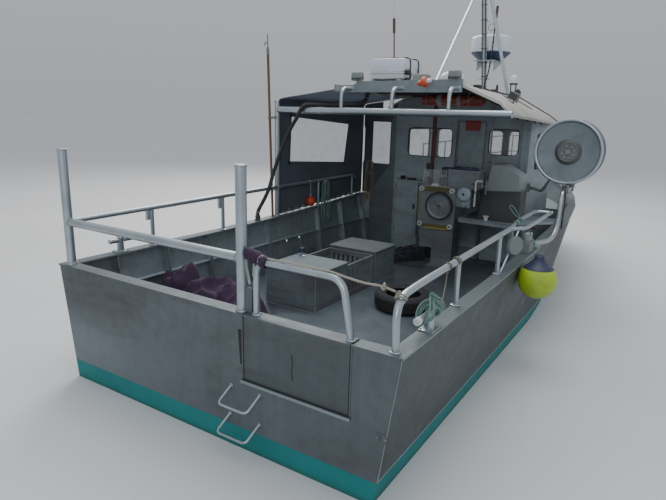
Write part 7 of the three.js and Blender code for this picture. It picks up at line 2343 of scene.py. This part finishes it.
class BOAT_OT_mast(bpy.types.Operator):
    """Mast with its leg, stay, lamps, radome and whip aerials"""
    bl_idname = "boat.mast"
    bl_label = "Mast"

    def execute(self, context):
        bright = finish(tube)
        pale = finish(tube, "pale_tube", 1.35)
        white = shared("white_gelcoat")
        navy = finish(plastic, "radome_base", (0.035, 0.055, 0.13), 0.4)
        black = shared("black_moulding")
        foot, top = vec(0, 6.15, ROOF_SEAT), vec(0, 5.64, 4.56)
        mast = Piece("mast_tubes")
        mast.rod(foot, top, 0.0386, bright, 0.003, 36)
        mast.rod((0.394, 6.08, ROOF_SEAT), (0.02, 5.66, 4.47), 0.0245, pale, 0.002, 28)
        mast.rod((0.362, 3.29, ROOF_SEAT), (0, 5.69, 4.33), 0.0172, pale, 0.001, 24)
        for px, py, r in ((0.362, 3.29, 0.0172), (0.394, 6.08, 0.0245), (0, 6.15, 0.0386)):
            mast.box((px - 0.036, py - 0.05, ROOF_SEAT), (px + 0.036, py + 0.05, 2.7125), bright, 0.003)
            weld_ring((px, py, 2.7135), r * 1.06)
            corner_bolts(px, py, 2.7125, 0.026, 0.04, 0.005)
        mast.box((-0.14, 5.95, 3.203), (0.17, 6.455, 3.2165), bright, 0.002)
        for side in (-0.115, 0.145):
            mast.prism([(side, 6.4, 3.203), (side, 6.02, 3.203), (side, 6.02, 3.06)], (0, 0, 0),
                (0.008, 0, 0), bright, 0.001)
        mast.rod((-0.33, 5.74, 4.18), (0.33, 5.74, 4.18), 0.0142, bright, 0.002, 20)
        for z in (2.95, 3.35, 3.75, 4.05):
            share = (z - foot.z) / (top.z - foot.z)
            at = foot.lerp(top, share)
            mast.rod(at + vec(-0.085, 0.004, 0), at + vec(0.085, 0.004, 0), 0.008, bright, 0.001, 14)
        mast.turned([(0, -0.03), (0.03, -0.03), (0.03, 0.012), (0.037, 0.016), (0.037, 0.024), (0, 0.024)],
            top, UP, black, 32)
        mast.done(slot="tube", replaces=("mast",))
        lamp = Piece("masthead_lamp")
        lamp.turned([(0, 0.0242), (0.033, 0.0242), (0.034, 0.04), (0.034, 0.082), (0.031, 0.092), (0, 0.092)],
            top, UP, finish(plastic, "lamp_glass", (0.6, 0.62, 0.62), 0.1, 0.8, 0.1), 32)
        lamp.turned([(0, 0.092), (0.036, 0.092), (0.034, 0.104), (0.012, 0.11), (0, 0.11)], top, UP, black,
            32)
        for x in (-0.31, 0.31):
            lamp.turned([(0, 0), (0.024, 0), (0.026, 0.02), (0.026, 0.062), (0.02, 0.074), (0, 0.076)],
                (x, 5.74, 4.1945), UP, white, 28)
        lamp.done(slot="white_gelcoat")
        lines = Piece("mast_cables")
        wire = shared("cable_sheath")
        for turn, r in ((-0.5, 0.0045), (0.7, 0.0055)):
            out = Vector((sin(turn), -cos(turn), -0.27 * cos(turn))) * 0.0435
            lines.cord([foot.lerp(top, s) + out for s in (0.02, 0.25, 0.5, 0.75, 0.98)], 2 * r, wire, 10)
        for i in range(9):
            at = foot.lerp(top, 0.05 + 0.105 * i)
            way = (top - foot).normalized()
            lines.turned(collar(0.0388, 0.0478, 0, 0.006), at, way, black, 24)
        lines.done(slot="black_trim")

        dome = Piece("radome_shell")
        at = (-0.012, 6.335, 3.395)
        dome.turned([(0, -0.042), (0.296, -0.042), (0.3055, -0.03), (0.3062, 0.144), (0.302, 0.164),
            (0.29, 0.184), (0.262, 0.199), (0.21, 0.209), (0.12, 0.2145), (0, 0.2155)], at, UP, white, 64)
        dome.turned([(0, -0.1785), (0.15, -0.1785), (0.16, -0.174), (0.299, -0.048), (0.301, -0.0418),
            (0, -0.0418)], at, UP, navy, 48)
        dome.done(slot="white_gelcoat", replaces=("radome",), sharp=18)

        whips = Piece("whip_aerials")
        fibre = finish(plastic, "whip_fibre", (0.52, 0.54, 0.55), 0.4)
        taped = finish(plastic, "whip_sleeve", (0.085, 0.06, 0.055), 0.6)
        a, b = vec(-0.64, 4.3, ROOF_SEAT), vec(-0.706, 4.3, 3.86)
        whips.rod(a, a.lerp(b, 0.34), 0.012, black, 0.001, 20)
        whips.rod(a.lerp(b, 0.3), a.lerp(b, 0.66), 0.009, taped, 0.001, 18)
        whips.rod(a.lerp(b, 0.62), a.lerp(b, 0.78), 0.0185, taped, 0.006, 22)
        whips.rod(a.lerp(b, 0.78), b + (b - a) * 0.72, 0.0055, fibre, 0.001, 14)
        whips.turned([(0, 0), (0.035, 0), (0.035, 0.006), (0.018, 0.012), (0.014, 0.06), (0, 0.06)], a, UP,
            finish(steel), 28)
        bend = catmull([(0.035, 6.02, ROOF_SEAT), (0.037, 6.0, 2.826), (0.083, 6.0, 3.04), (0.106, 6.0, 3.27),
            (0.122, 6.0, 3.64), (0.131, 6.0, 3.841), (0.137, 6.0, 4.005), (0.15, 6.0, 4.4)], 8)
        cut = len(bend) * 5 // 7
        whips.cord(bend[:cut + 1], 0.019, black, 14)
        whips.cord(bend[cut:], 0.011, fibre, 12)
        whips.rod((0.1295, 6.0, 3.8), (0.1355, 6.0, 3.975), 0.0195, taped, 0.006, 22)
        for share in (0.18, 0.34, 0.5, 0.62):
            spot = bend[int(len(bend) * share)]
            whips.turned(collar(0.009, 0.0135, 0, 0.018), spot, (0.1, 0, 1), black, 16)
        whips.done(slot="black_trim")
        loop = Piece("aerial_coil")
        ring = circle((0.078, 5.985, 3.679), 0.047, (0.2, -1, 0.1), 40)[:-1]
        loop.cord(ring, 0.007, wire, 10, closed=True)
        loop.done(slot="black_trim")
        return {"FINISHED"}


class BOAT_OT_roof_gear(bpy.types.Operator):
    """Liferaft canister, float, small domes, lamps and boxes on and under the roof"""
    bl_idname = "boat.roof_gear"
    bl_label = "Roof gear"

    def execute(self, context):
        white = shared("white_gelcoat")
        black = shared("black_moulding")
        orange = finish(plastic, "orange_shell", tuple(colours().orange), 0.4, 0.2, 0.45)
        x0, x1, y0, y1, z0, z1 = -0.59, -0.105, 3.48, 3.98, 2.787, 3.025
        raft = Piece("raft_canister")
        raft.box((x0 - 0.004, y0, z0 + 0.072), (x1 + 0.004, y1, z1), white, 0.062)
        raft.box((x0 + 0.01, y0 + 0.012, z0), (x1 - 0.01, y1 - 0.012, z0 + 0.086), white, 0.05)
        raft.box((x0 - 0.012, y0 - 0.008, z0 + 0.064), (x1 + 0.012, y1 + 0.008, z0 + 0.076), white, 0.005)
        raft.done(slot="white_gelcoat", replaces=("liferaft",), sharp=50)
        straps = Piece("raft_straps")
        web = finish(woven, "strap_web", (0.045, 0.048, 0.055), (0.03, 0.03, 0.035), 0.002)
        for y in (3.615, 3.845):
            ring = [(x0 - 0.0145, y, z0 - 0.002), (x1 + 0.0145, y, z0 - 0.002), (x1 + 0.0145, y, z0 + 0.07),
                (x1 + 0.0065, y, z0 + 0.085), (x1 + 0.0065, y, z1 + 0.0025), (x0 - 0.0065, y, z1 + 0.0025),
                (x0 - 0.0065, y, z0 + 0.085), (x0 - 0.0145, y, z0 + 0.07)]
            straps.sweep(rounded(ring, 0.058, 6, True), flat_section(0.0012, 0.0125), web, closed=True)
        straps.done(slot="black_trim")
        release = Piece("raft_release")
        release.turned([(0, -0.03), (0.026, -0.03), (0.03, -0.022), (0.03, 0.022), (0.026, 0.03), (0, 0.03)],
            (x1 + 0.03, 3.5, 2.86), ACROSS, black, 28)
        release.box((x1 + 0.006, 3.475, 2.76), (x1 + 0.04, 3.525, 2.8), black, 0.006)
        release.rod((x1 + 0.022, 3.5, 2.7), (x1 + 0.022, 3.5, 2.78), 0.007, finish(steel), sides=14)
        release.done(slot="black_trim")
        cradle = Piece("cradle_rails")
        for x in (x0 + 0.07, x1 - 0.07):
            cradle.box((x - 0.016, y0 - 0.02, 2.758), (x + 0.016, y1 + 0.02, 2.7865), finish(tube), 0.002)
        cradle.done(slot="tube")

        float_piece = Piece("float_body")
        z, y = 2.5562, 3.75
        # Painted shade: the float hanging under the roof is a dim, dark orange
        shell = finish(plastic, "float_orange", (0.2, 0.03, 0.018), 0.4, 0.2, 0.45)
        float_piece.turned([(0, 0.035), (0.045, 0.035), (0.06, 0.042), (0.064, 0.056), (0.064, 0.769),
            (0.06, 0.783), (0.045, 0.79), (0, 0.79)], (0, y, z), ACROSS, shell, 48)
        band = finish(woven, "float_band", (0.22, 0.25, 0.24), (0.14, 0.15, 0.15), 0.002)
        for low, high in ((0.23, 0.29), (0.48, 0.52)):
            float_piece.turned(collar(0.064, 0.0682, low, high), (0, y, z), ACROSS, band, 48)
        float_piece.done(slot="orange_plastic", replaces=("orange_float",))
        sling = Piece("float_slings")
        cord = finish(rope_yarn, "sling_cord", (0.36, 0.3, 0.24), 0.4)
        for x in (0.1, 0.62):
            loop = [Vector((x, y + 0.071 * sin(a), z - 0.071 * cos(a))) for a in [pi * (-0.62 + 1.24 * i / 24)
                for i in range(25)]]
            loop = [vec(x, y - 0.045, ROOF_UNDER - 0.0008), *loop, vec(x, y + 0.045, ROOF_UNDER - 0.0008)]
            sling.cord(loop, 0.007, cord, 8)
        sling.cord(catmull([(0.155, 3.672, 2.59), (0.28, 3.664, 2.53), (0.43, 3.664, 2.508),
            (0.58, 3.666, 2.53), (0.7, 3.675, 2.6)], 10), 0.006, cord, 8)
        sling.done(slot="straw_rope")

        small = Piece("roof_boxes")
        beige = finish(plastic, "beige_box", (0.31, 0.335, 0.315), 0.5)
        small.box((0.105, 3.26, ROOF_SEAT), (0.25, 3.42, 2.825), beige, 0.016)
        small.box((0.098, 3.252, 2.797), (0.257, 3.428, 2.808), beige, 0.003)
        small.turned([(0, 0), (0.146, 0), (0.15, 0.006), (0.15, 0.085), (0.144, 0.125), (0.118, 0.165),
            (0.07, 0.186), (0, 0.193)], SMALL_DOME, UP, white, 56)
        small.turned(collar(0.1495, 0.153, 0.02, 0.03), SMALL_DOME, UP, black, 56)
        dark_steel = finish(steel, "dark_bracket", (0.09, 0.095, 0.1), 0.3, 0.5, 0.6)
        for x in (0.555, 0.625):
            small.rod((x, 5.6, roof_height(x, 5.6) - 0.004), (x, 5.6, 2.85), 0.008, dark_steel, sides=16)
        small.box((0.535, 5.585, 2.832), (0.645, 5.615, 2.852), dark_steel, 0.003)
        small.turned([(0, 0), (0.046, 0), (0.054, 0.008), (0.056, 0.055), (0.048, 0.092), (0.028, 0.112),
            (0, 0.118)], (0.59, 5.6, 2.8515), UP, white, 36)
        small.turned([(0, -0.004), (0.019, -0.004), (0.017, 0.1), (0.01, 0.118), (0, 0.12)],
            (0.45, 5.3, roof_height(0.45, 5.3)), UP, dark_steel, 24)
        small.box((0.395, 5.2, roof_height(0.43, 5.25) - 0.004), (0.47, 5.29, roof_height(0.43, 5.25) +
            0.052), black, 0.01)
        small.box((0.585, 3.9, roof_height(0.62, 3.95) - 0.002), (0.665, 4.02, roof_height(0.62, 3.95) +
            0.04), black, 0.012)
        at = Vector((0.8, 5.05, roof_height(0.64, 5.05) + 0.05))
        small.turned([(0, -0.03), (0.03, -0.03), (0.045, -0.016), (0.047, 0.01), (0.036, 0.034), (0, 0.042)],
            at, (0.1, -1, 0.15), black, 32)
        small.turned([(0, -0.0335), (0.028, -0.0325), (0.04, -0.0185), (0.04, -0.016), (0, -0.016)], at,
            (0.1, -1, 0.15), shared("lamp_lens"), 32)
        small.rod((0.8, 5.055, roof_height(0.8, 5.055) - 0.004), (0.8, 5.055, at.z - 0.03), 0.009, dark_steel,
            sides=14)
        small.done(slot="white_gelcoat")

        light = Piece("lifebuoy_light")
        a, b = vec(0.252, 3.0745, 2.702), vec(0.425, 3.0745, 2.742)
        way = (b - a).normalized()
        light.turned([(0, 0), (0.016, 0.001), (0.022, 0.012), (0.0285, 0.03), (0.0285, 0.056), (0.046, 0.064),
            (0.053, 0.074), (0.053, 0.104), (0.046, 0.114), (0, 0.114)], a, way, orange, 36)
        light.turned([(0, 0.1142), (0.022, 0.1142), (0.024, 0.122), (0.024, 0.148), (0.016, 0.16),
            (0, 0.162)], a, way, white, 32)
        light.box((0.3, 3.078, 2.69), (0.335, 3.096, 2.72), finish(steel), 0.003)
        light.done(slot="orange_plastic")

        slope = Piece("side_flood_lamp")
        grey = shared("lamp_shell")
        x, y = 0.95, 4.36
        ground = roof_height(x, y)
        tilt = (radians(24), AHEAD)
        centre = vec(x, y, ground + 0.085)
        slope.box(centre + vec(-0.06, -0.045, -0.045), centre + vec(0.06, 0.045, 0.045), grey, 0.008, tilt,
            centre)
        slope.box(centre + vec(-0.053, -0.0485, -0.038), centre + vec(0.053, -0.04, 0.038),
            shared("lamp_lens"), 0.003, tilt, centre)
        slope.rod((x, y, ground - 0.004), (x, y, ground + 0.05), 0.01, finish(steel), sides=14)
        slope.done(slot="black_trim")
        cable = Piece("roof_cables")
        wire = shared("cable_sheath")
        for route in (((0.03, 6.06), (0.2, 5.75), (0.44, 5.45), (0.66, 5.0), (0.84, 4.6), (0.93, 4.4)),
                ((0.6, 5.56), (0.62, 5.35), (0.7, 5.15), (0.64, 5.06)), ((0.1, 6.2), (0.34, 6.1), (0.62, 5.8),
                (0.88, 5.6))):
            cable.cord([Vector((p.x, p.y, roof_height(p.x, p.y) + 0.0055)) for p in
                even(catmull([(x, y, 0) for x, y in route], 8), 0.04)], 0.01, wire, 10)
        cable.done(slot="black_trim")
        return {"FINISHED"}


# Loose gear

class BOAT_OT_tyre(bpy.types.Operator):
    """Car tyre laid on the deck as a fender"""
    bl_idname = "boat.tyre"
    bl_label = "Tyre"

    def execute(self, context):
        x, y, base = 0.45, 2.6, 0.3303
        black = finish(rubber, "tyre_rubber", 0.9)
        tyre = Piece("tyre_carcass")
        tyre.turned([(0.195, 0.014), (0.204, 0.006), (0.218, 0.001), (0.236, 0.0), (0.262, 0.0015),
            (0.28, 0.006), (0.295, 0.016), (0.3035, 0.03), (0.3055, 0.04), (0.3055, 0.14), (0.3035, 0.15),
            (0.295, 0.164), (0.28, 0.174), (0.262, 0.1785), (0.236, 0.18), (0.218, 0.179), (0.204, 0.174),
            (0.195, 0.166), (0.187, 0.16), (0.187, 0.154), (0.206, 0.146), (0.23, 0.137), (0.262, 0.126),
            (0.2755, 0.118), (0.2755, 0.062), (0.262, 0.054), (0.23, 0.043), (0.206, 0.034), (0.187, 0.026),
            (0.187, 0.02), (0.195, 0.014)], (x, y, base), UP, black, 96)
        for r, z in ((0.222, 0.1796), (0.272, 0.1766), (0.288, 0.1694)):
            tyre.turned([(r, z), (r + 0.002, z + 0.0012), (r + 0.004, z), (r + 0.002, z - 0.003), (r, z)],
                (x, y, base), UP, black, 96)
        tyre.done(slot="rubber", replaces=("tyre_fender",))
        rows = []
        for row, z in enumerate((0.05, 0.078, 0.106, 0.134)):
            for i in range(56):
                angle = 2 * pi * (i + 0.5 * (row % 2)) / 56
                rows.append(((x + 0.307 * cos(angle), y + 0.307 * sin(angle), base + z),
                    (cos(angle), sin(angle), 0)))
        grown("tyre_tread", point_mesh("tread_points", rows), tread_tree(), {"Width": 0.026, "Height": 0.02,
            "Depth": 0.007, "Seed": 3, "Material": black}, sharp=30)
        return {"FINISHED"}


class BOAT_OT_buoy(bpy.types.Operator):
    """Lime buoy with its navy head, hung over the starboard side"""
    bl_idname = "boat.buoy"
    bl_label = "Buoy"

    def execute(self, context):
        lime = finish(vinyl_buoy, "buoy_lime", tuple(colours().lime), (0.22, 0.27, 0.03))
        navy = finish(vinyl_buoy, "buoy_navy", tuple(colours().navy), (0.05, 0.055, 0.07))
        r = BUOY_R
        rows = []
        for i in range(33):
            a = pi * i / 32 * 0.8
            rows.append((r * sin(a), -r * cos(a)))
        split = next(i for i, (_, z) in enumerate(rows) if z > 0.108)
        waist = rows[split]
        low = [(0, -r), *rows[1:split + 1], (0, waist[1])]
        neck = [(0.098, 0.1455), (0.08, 0.166), (0.062, 0.184), (0.05, 0.2), (0.0455, 0.216), (0.044, 0.232),
            (0.036, 0.24), (0, 0.2438)]
        head = [(0, waist[1] + 0.0002), (waist[0] + 0.0004, waist[1] + 0.0002), *[(rr + 0.0004, zz) for rr,
            zz in rows[split + 1:] if zz < 0.14], *neck]
        buoy = Piece("buoy_ball")
        buoy.turned(low, BUOY_AT, UP, lime, 64)
        buoy.turned(head, BUOY_AT, UP, navy, 64)
        buoy.turned([(waist[0] - 0.002, waist[1] - 0.006), (waist[0] + 0.0035, waist[1] - 0.002),
            (waist[0] + 0.0035, waist[1] + 0.002), (waist[0] - 0.002, waist[1] + 0.006), (waist[0] - 0.002,
            waist[1] - 0.006)], BUOY_AT, UP, navy, 64)
        buoy.turned([(0, -0.183), (0.014, -0.183), (0.02, -0.178), (0.02, -0.174), (0, -0.174)], BUOY_AT, UP,
            navy, 24)
        buoy.done(slot="lime_vinyl", replaces=("buoy_starboard",), sharp=50)
        return {"FINISHED"}


class BOAT_OT_foredeck(bpy.types.Operator):
    """Foredeck with its hatch and mooring post"""
    bl_idname = "boat.foredeck"
    bl_label = "Foredeck"

    def execute(self, context):
        skin = finish(plate, "fore_plate", 1.0, 0.6)
        eased("fore_body", skin, 0.004)
        eased("foredeck_hatch", finish(plate, "hatch_plate", 1.15, 0.5), 0.003, "foredeck_hatch")
        post = Piece("mooring_post")
        bright = finish(tube)
        z = 0.96
        post.turned([(0, 0), (0.088, 0), (0.088, 0.01), (0.084, 0.013), (0.0505, 0.0135), (0.0505, 0.252),
            (0.054, 0.256), (0.054, 0.2605), (0.048, 0.2635), (0, 0.2635)], (0, POST_Y, z + 0.0002), UP,
            bright, 48)
        post.rod((-0.1505, POST_Y, z + 0.19), (0.1505, POST_Y, z + 0.19), 0.0165, bright, 0.003, 28)
        post.done(slot="tube")
        weld_ring((0, POST_Y, z + 0.015), 0.052)
        for i in range(6):
            angle = 2 * pi * i / 6
            bolt((0.07 * cos(angle), POST_Y + 0.07 * sin(angle), z + 0.0128), UP, 0.007)
        dogs = Piece("hatch_dogs")
        for x in (-0.2, 0.2):
            dogs.box((x - 0.014, 7.128, 1.006), (x + 0.014, 7.15, 1.018), bright, 0.003)
            dogs.rod((x, 7.13, 0.985), (x, 7.13, 1.05), 0.006, finish(steel), sides=14)
            dogs.box((x - 0.022, 7.122, 1.0405), (x + 0.022, 7.17, 1.0525), finish(steel), 0.004)
        for x in (-0.18, 0.18):
            dogs.rod((x - 0.045, 7.728, 1.032), (x + 0.045, 7.728, 1.032), 0.0125, finish(steel), 0.002, 24)
        dogs.done("foredeck_hatch", "dark_steel")
        return {"FINISHED"}


class BOAT_OT_hanks(bpy.types.Operator):
    """Ropes made up in hanks inside the port rail and before the screen"""
    bl_idname = "boat.hanks"
    bl_label = "Rope hanks"

    def execute(self, context):
        for name, node, value, diameter, centre, wide_way, top, length, turns, wide in (("green_hank",
                "rope_hank_green", (0.18, 0.31, 0.265), 0.011, (-1.5157, 4.01), (0, 1), 1.44, 0.64, 7, 0.066),
                ("straw_hank", "rope_hank_straw", tuple(colours().straw_rope), 0.011, (-1.44, 5.1747), (1, 0),
                1.665, 0.69, 7, 0.064)):
            yarn = finish(rope_yarn, name + "_yarn", value)
            side = Vector((*wide_way, 0))
            deep = vec(wide_way[1], wide_way[0], 0)
            middle = Vector((*centre, 0))
            seed = len(name)
            path = []
            for k in range(turns * 40 + 1):
                t = k / 40
                reach = wide * (1 + 0.2 * sin(1.9 * t + seed))
                tall = length / 2 - 0.01 - 0.045 * (0.5 + 0.5 * sin(1.35 * t + 1.0))
                a = 2 * pi * t
                straight = tall - reach
                across = reach * sin(a)
                rise = reach * cos(a) + straight * tanh(3.2 * cos(a)) / tanh(3.2)
                across *= 1 - 0.3 * exp(-((rise - length * 0.2) / 0.11) ** 2)
                sway = 0.022 * sin(0.9 * t + seed) * (0.5 - rise / length)
                path.append(middle + side * (across + sway) + deep * (0.0085 * (t - turns / 2) + 0.004 *
                    sin(a + 2 * t)) + vec(0, 0, top - 0.01 - tall + rise))
            path = even(catmull(path[::2], 3), 0.007)
            slot = "green_rope" if "green" in name else "straw_rope"
            wrap = Piece(name + "_wrap")
            neck = top - length * 0.3
            spin = []
            for i in range(5 * 20 + 1):
                a = 2 * pi * i / 20
                spin.append(middle + deep * 0.037 * cos(a) + side * (wide * 0.95) * sin(a) +
                    Vector((0, 0, neck + 0.035 - 0.0125 * i / 20)))
            wrap.rope(spin, diameter * 0.9, yarn, sides=12)
            band = wrap.done(slot=slot, sharp=60)
            hank = Piece(name)
            hank.rope(path, diameter, yarn, sides=12)
            thing = hank.done(slot=slot, replaces=(node,), sharp=60)
            round(path_length(path), 3)
        return {"FINISHED"}


class BOAT_OT_heap(bpy.types.Operator):
    """Heap of stiff purple mesh cloth on the after deck, and the net before the wheelhouse, whose near-black
    colour is partly painted shade
    """
    bl_idname = "boat.heap"
    bl_label = "Purple cloth and net"

    def execute(self, context):
        cloth = purple_mesh()
        mounds = ((-1.47, 1.1, 0.24, 0.32, 0.5), (-1.26, 1.08, 0.22, 0.32, 0.585), (-0.76, 1.04, 0.42, 0.31,
            0.54), (-0.38, 1.0, 0.2, 0.3, 0.5), (-1.05, 0.74, 0.55, 0.4, 0.33), (-0.5, 0.7, 0.34, 0.34, 0.28))
        mesh = crumpled("purple_cloth", (-1.6, 0.34), (-0.22, 1.31), mounds, cloth, 0.34, 3.4, (130, 100),
            2.3)
        for vert in mesh.vertices:
            vert.co.x = max(vert.co.x, 0.03 - side_point(vert.co.y / 9.6, vert.co.z).x)
        thing = settle("purple_cloth", mesh, replaces=("purple_heap",), sharp=40)
        # The net's near-black colour is partly its own and partly painted shade
        net = finish(woven, "dark_net", (0.012, 0.016, 0.03), (0.006, 0.007, 0.01), 0.012, 0.2, 0.6, 0.85)
        mounds = ((-0.42, 4.72, 0.24, 0.34, 0.19), (-0.28, 4.95, 0.24, 0.2, 0.15), (-0.5, 4.45, 0.16, 0.22,
            0.11))
        mesh = crumpled("deck_net", (-0.72, 4.16), (-0.03, 5.14), mounds, net, 0.45, 7.0, (90, 110), 5.1)
        thing = settle("deck_net", mesh, sharp=50)
        return {"FINISHED"}


# What the rows gathered

class BOAT_OT_rows(bpy.types.Operator):
    """Weld ripples and bolt heads that the pieces asked for"""
    bl_idname = "boat.rows"
    bl_label = "Welds and bolts"

    def execute(self, context):
        bead = finish(tube, "weld_metal", 0.85)
        head = finish(steel, "bolt_metal", (0.34, 0.35, 0.36), 0.35)
        beads, studs = bead_tree(), stud_tree()
        for body, paths in WELDS.items():
            width = sizes().weld
            grown("weld_ripples_" + body, path_mesh("weld_paths", paths), beads, {"Width": width,
                "Pitch": width * 0.6, "Seed": 4, "Material": bead}, body, 60)
        for (body, size), rows in BOLTS.items():
            grown("bolt_heads_%s_%d" % (body, round(size * 10000)), point_mesh("bolt_points", rows), studs,
                {"Radius": size, "Height": size * 0.62, "Sides": 6, "Material": head}, body, 30)
        return {"FINISHED"}


OPERATORS = (
    BOAT_OT_stage, BOAT_OT_cords, BOAT_OT_hull, BOAT_OT_topsides, BOAT_OT_stern, BOAT_OT_gallows,
    BOAT_OT_rails, BOAT_OT_lashings, BOAT_OT_canopy, BOAT_OT_roof, BOAT_OT_curtain,
    BOAT_OT_wheelhouse, BOAT_OT_helm,
    BOAT_OT_locker, BOAT_OT_hauler, BOAT_OT_table, BOAT_OT_boxes, BOAT_OT_net_hauler, BOAT_OT_mast,
    BOAT_OT_roof_gear, BOAT_OT_tyre, BOAT_OT_buoy, BOAT_OT_foredeck, BOAT_OT_hanks, BOAT_OT_heap,
    BOAT_OT_rows,
)


class BOAT_PT_panel(bpy.types.Panel):
    """Lists the boat's pieces in the order they are made"""
    bl_label = "Fishing boat"
    bl_idname = "BOAT_PT_panel"
    bl_space_type = "VIEW_3D"
    bl_region_type = "UI"
    bl_category = "Fishing boat"

    def draw(self, context):
        layout = self.layout
        for group in (context.scene.boat_colours, context.scene.boat_sizes):
            box = layout.box()
            for name in group.__annotations__:
                box.prop(group, name)
        column = layout.column(align=True)
        for operator in OPERATORS:
            column.operator(operator.bl_idname)


CLASSES = (BoatColours, BoatSizes, *OPERATORS, BOAT_PT_panel)


def register():
    for each in CLASSES:
        bpy.utils.register_class(each)
    bpy.types.Scene.boat_colours = bpy.props.PointerProperty(type=BoatColours)
    bpy.types.Scene.boat_sizes = bpy.props.PointerProperty(type=BoatSizes)


def unregister():
    del bpy.types.Scene.boat_colours
    del bpy.types.Scene.boat_sizes
    for each in reversed(CLASSES):
        bpy.utils.unregister_class(each)


def plain(value):
    if isinstance(value, dict):
        return {key: plain(part) for key, part in value.items()}
    return [plain(part) for part in value] if hasattr(value, "__len__") else float(value)


def main():
    register()
    for operator in OPERATORS:
        family, name = operator.bl_idname.split(".")
        getattr(getattr(bpy.ops, family), name)()
    {"cad": plain(CAD_BOX), "visual": plain(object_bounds())}


if __name__ == "__main__":
    main()
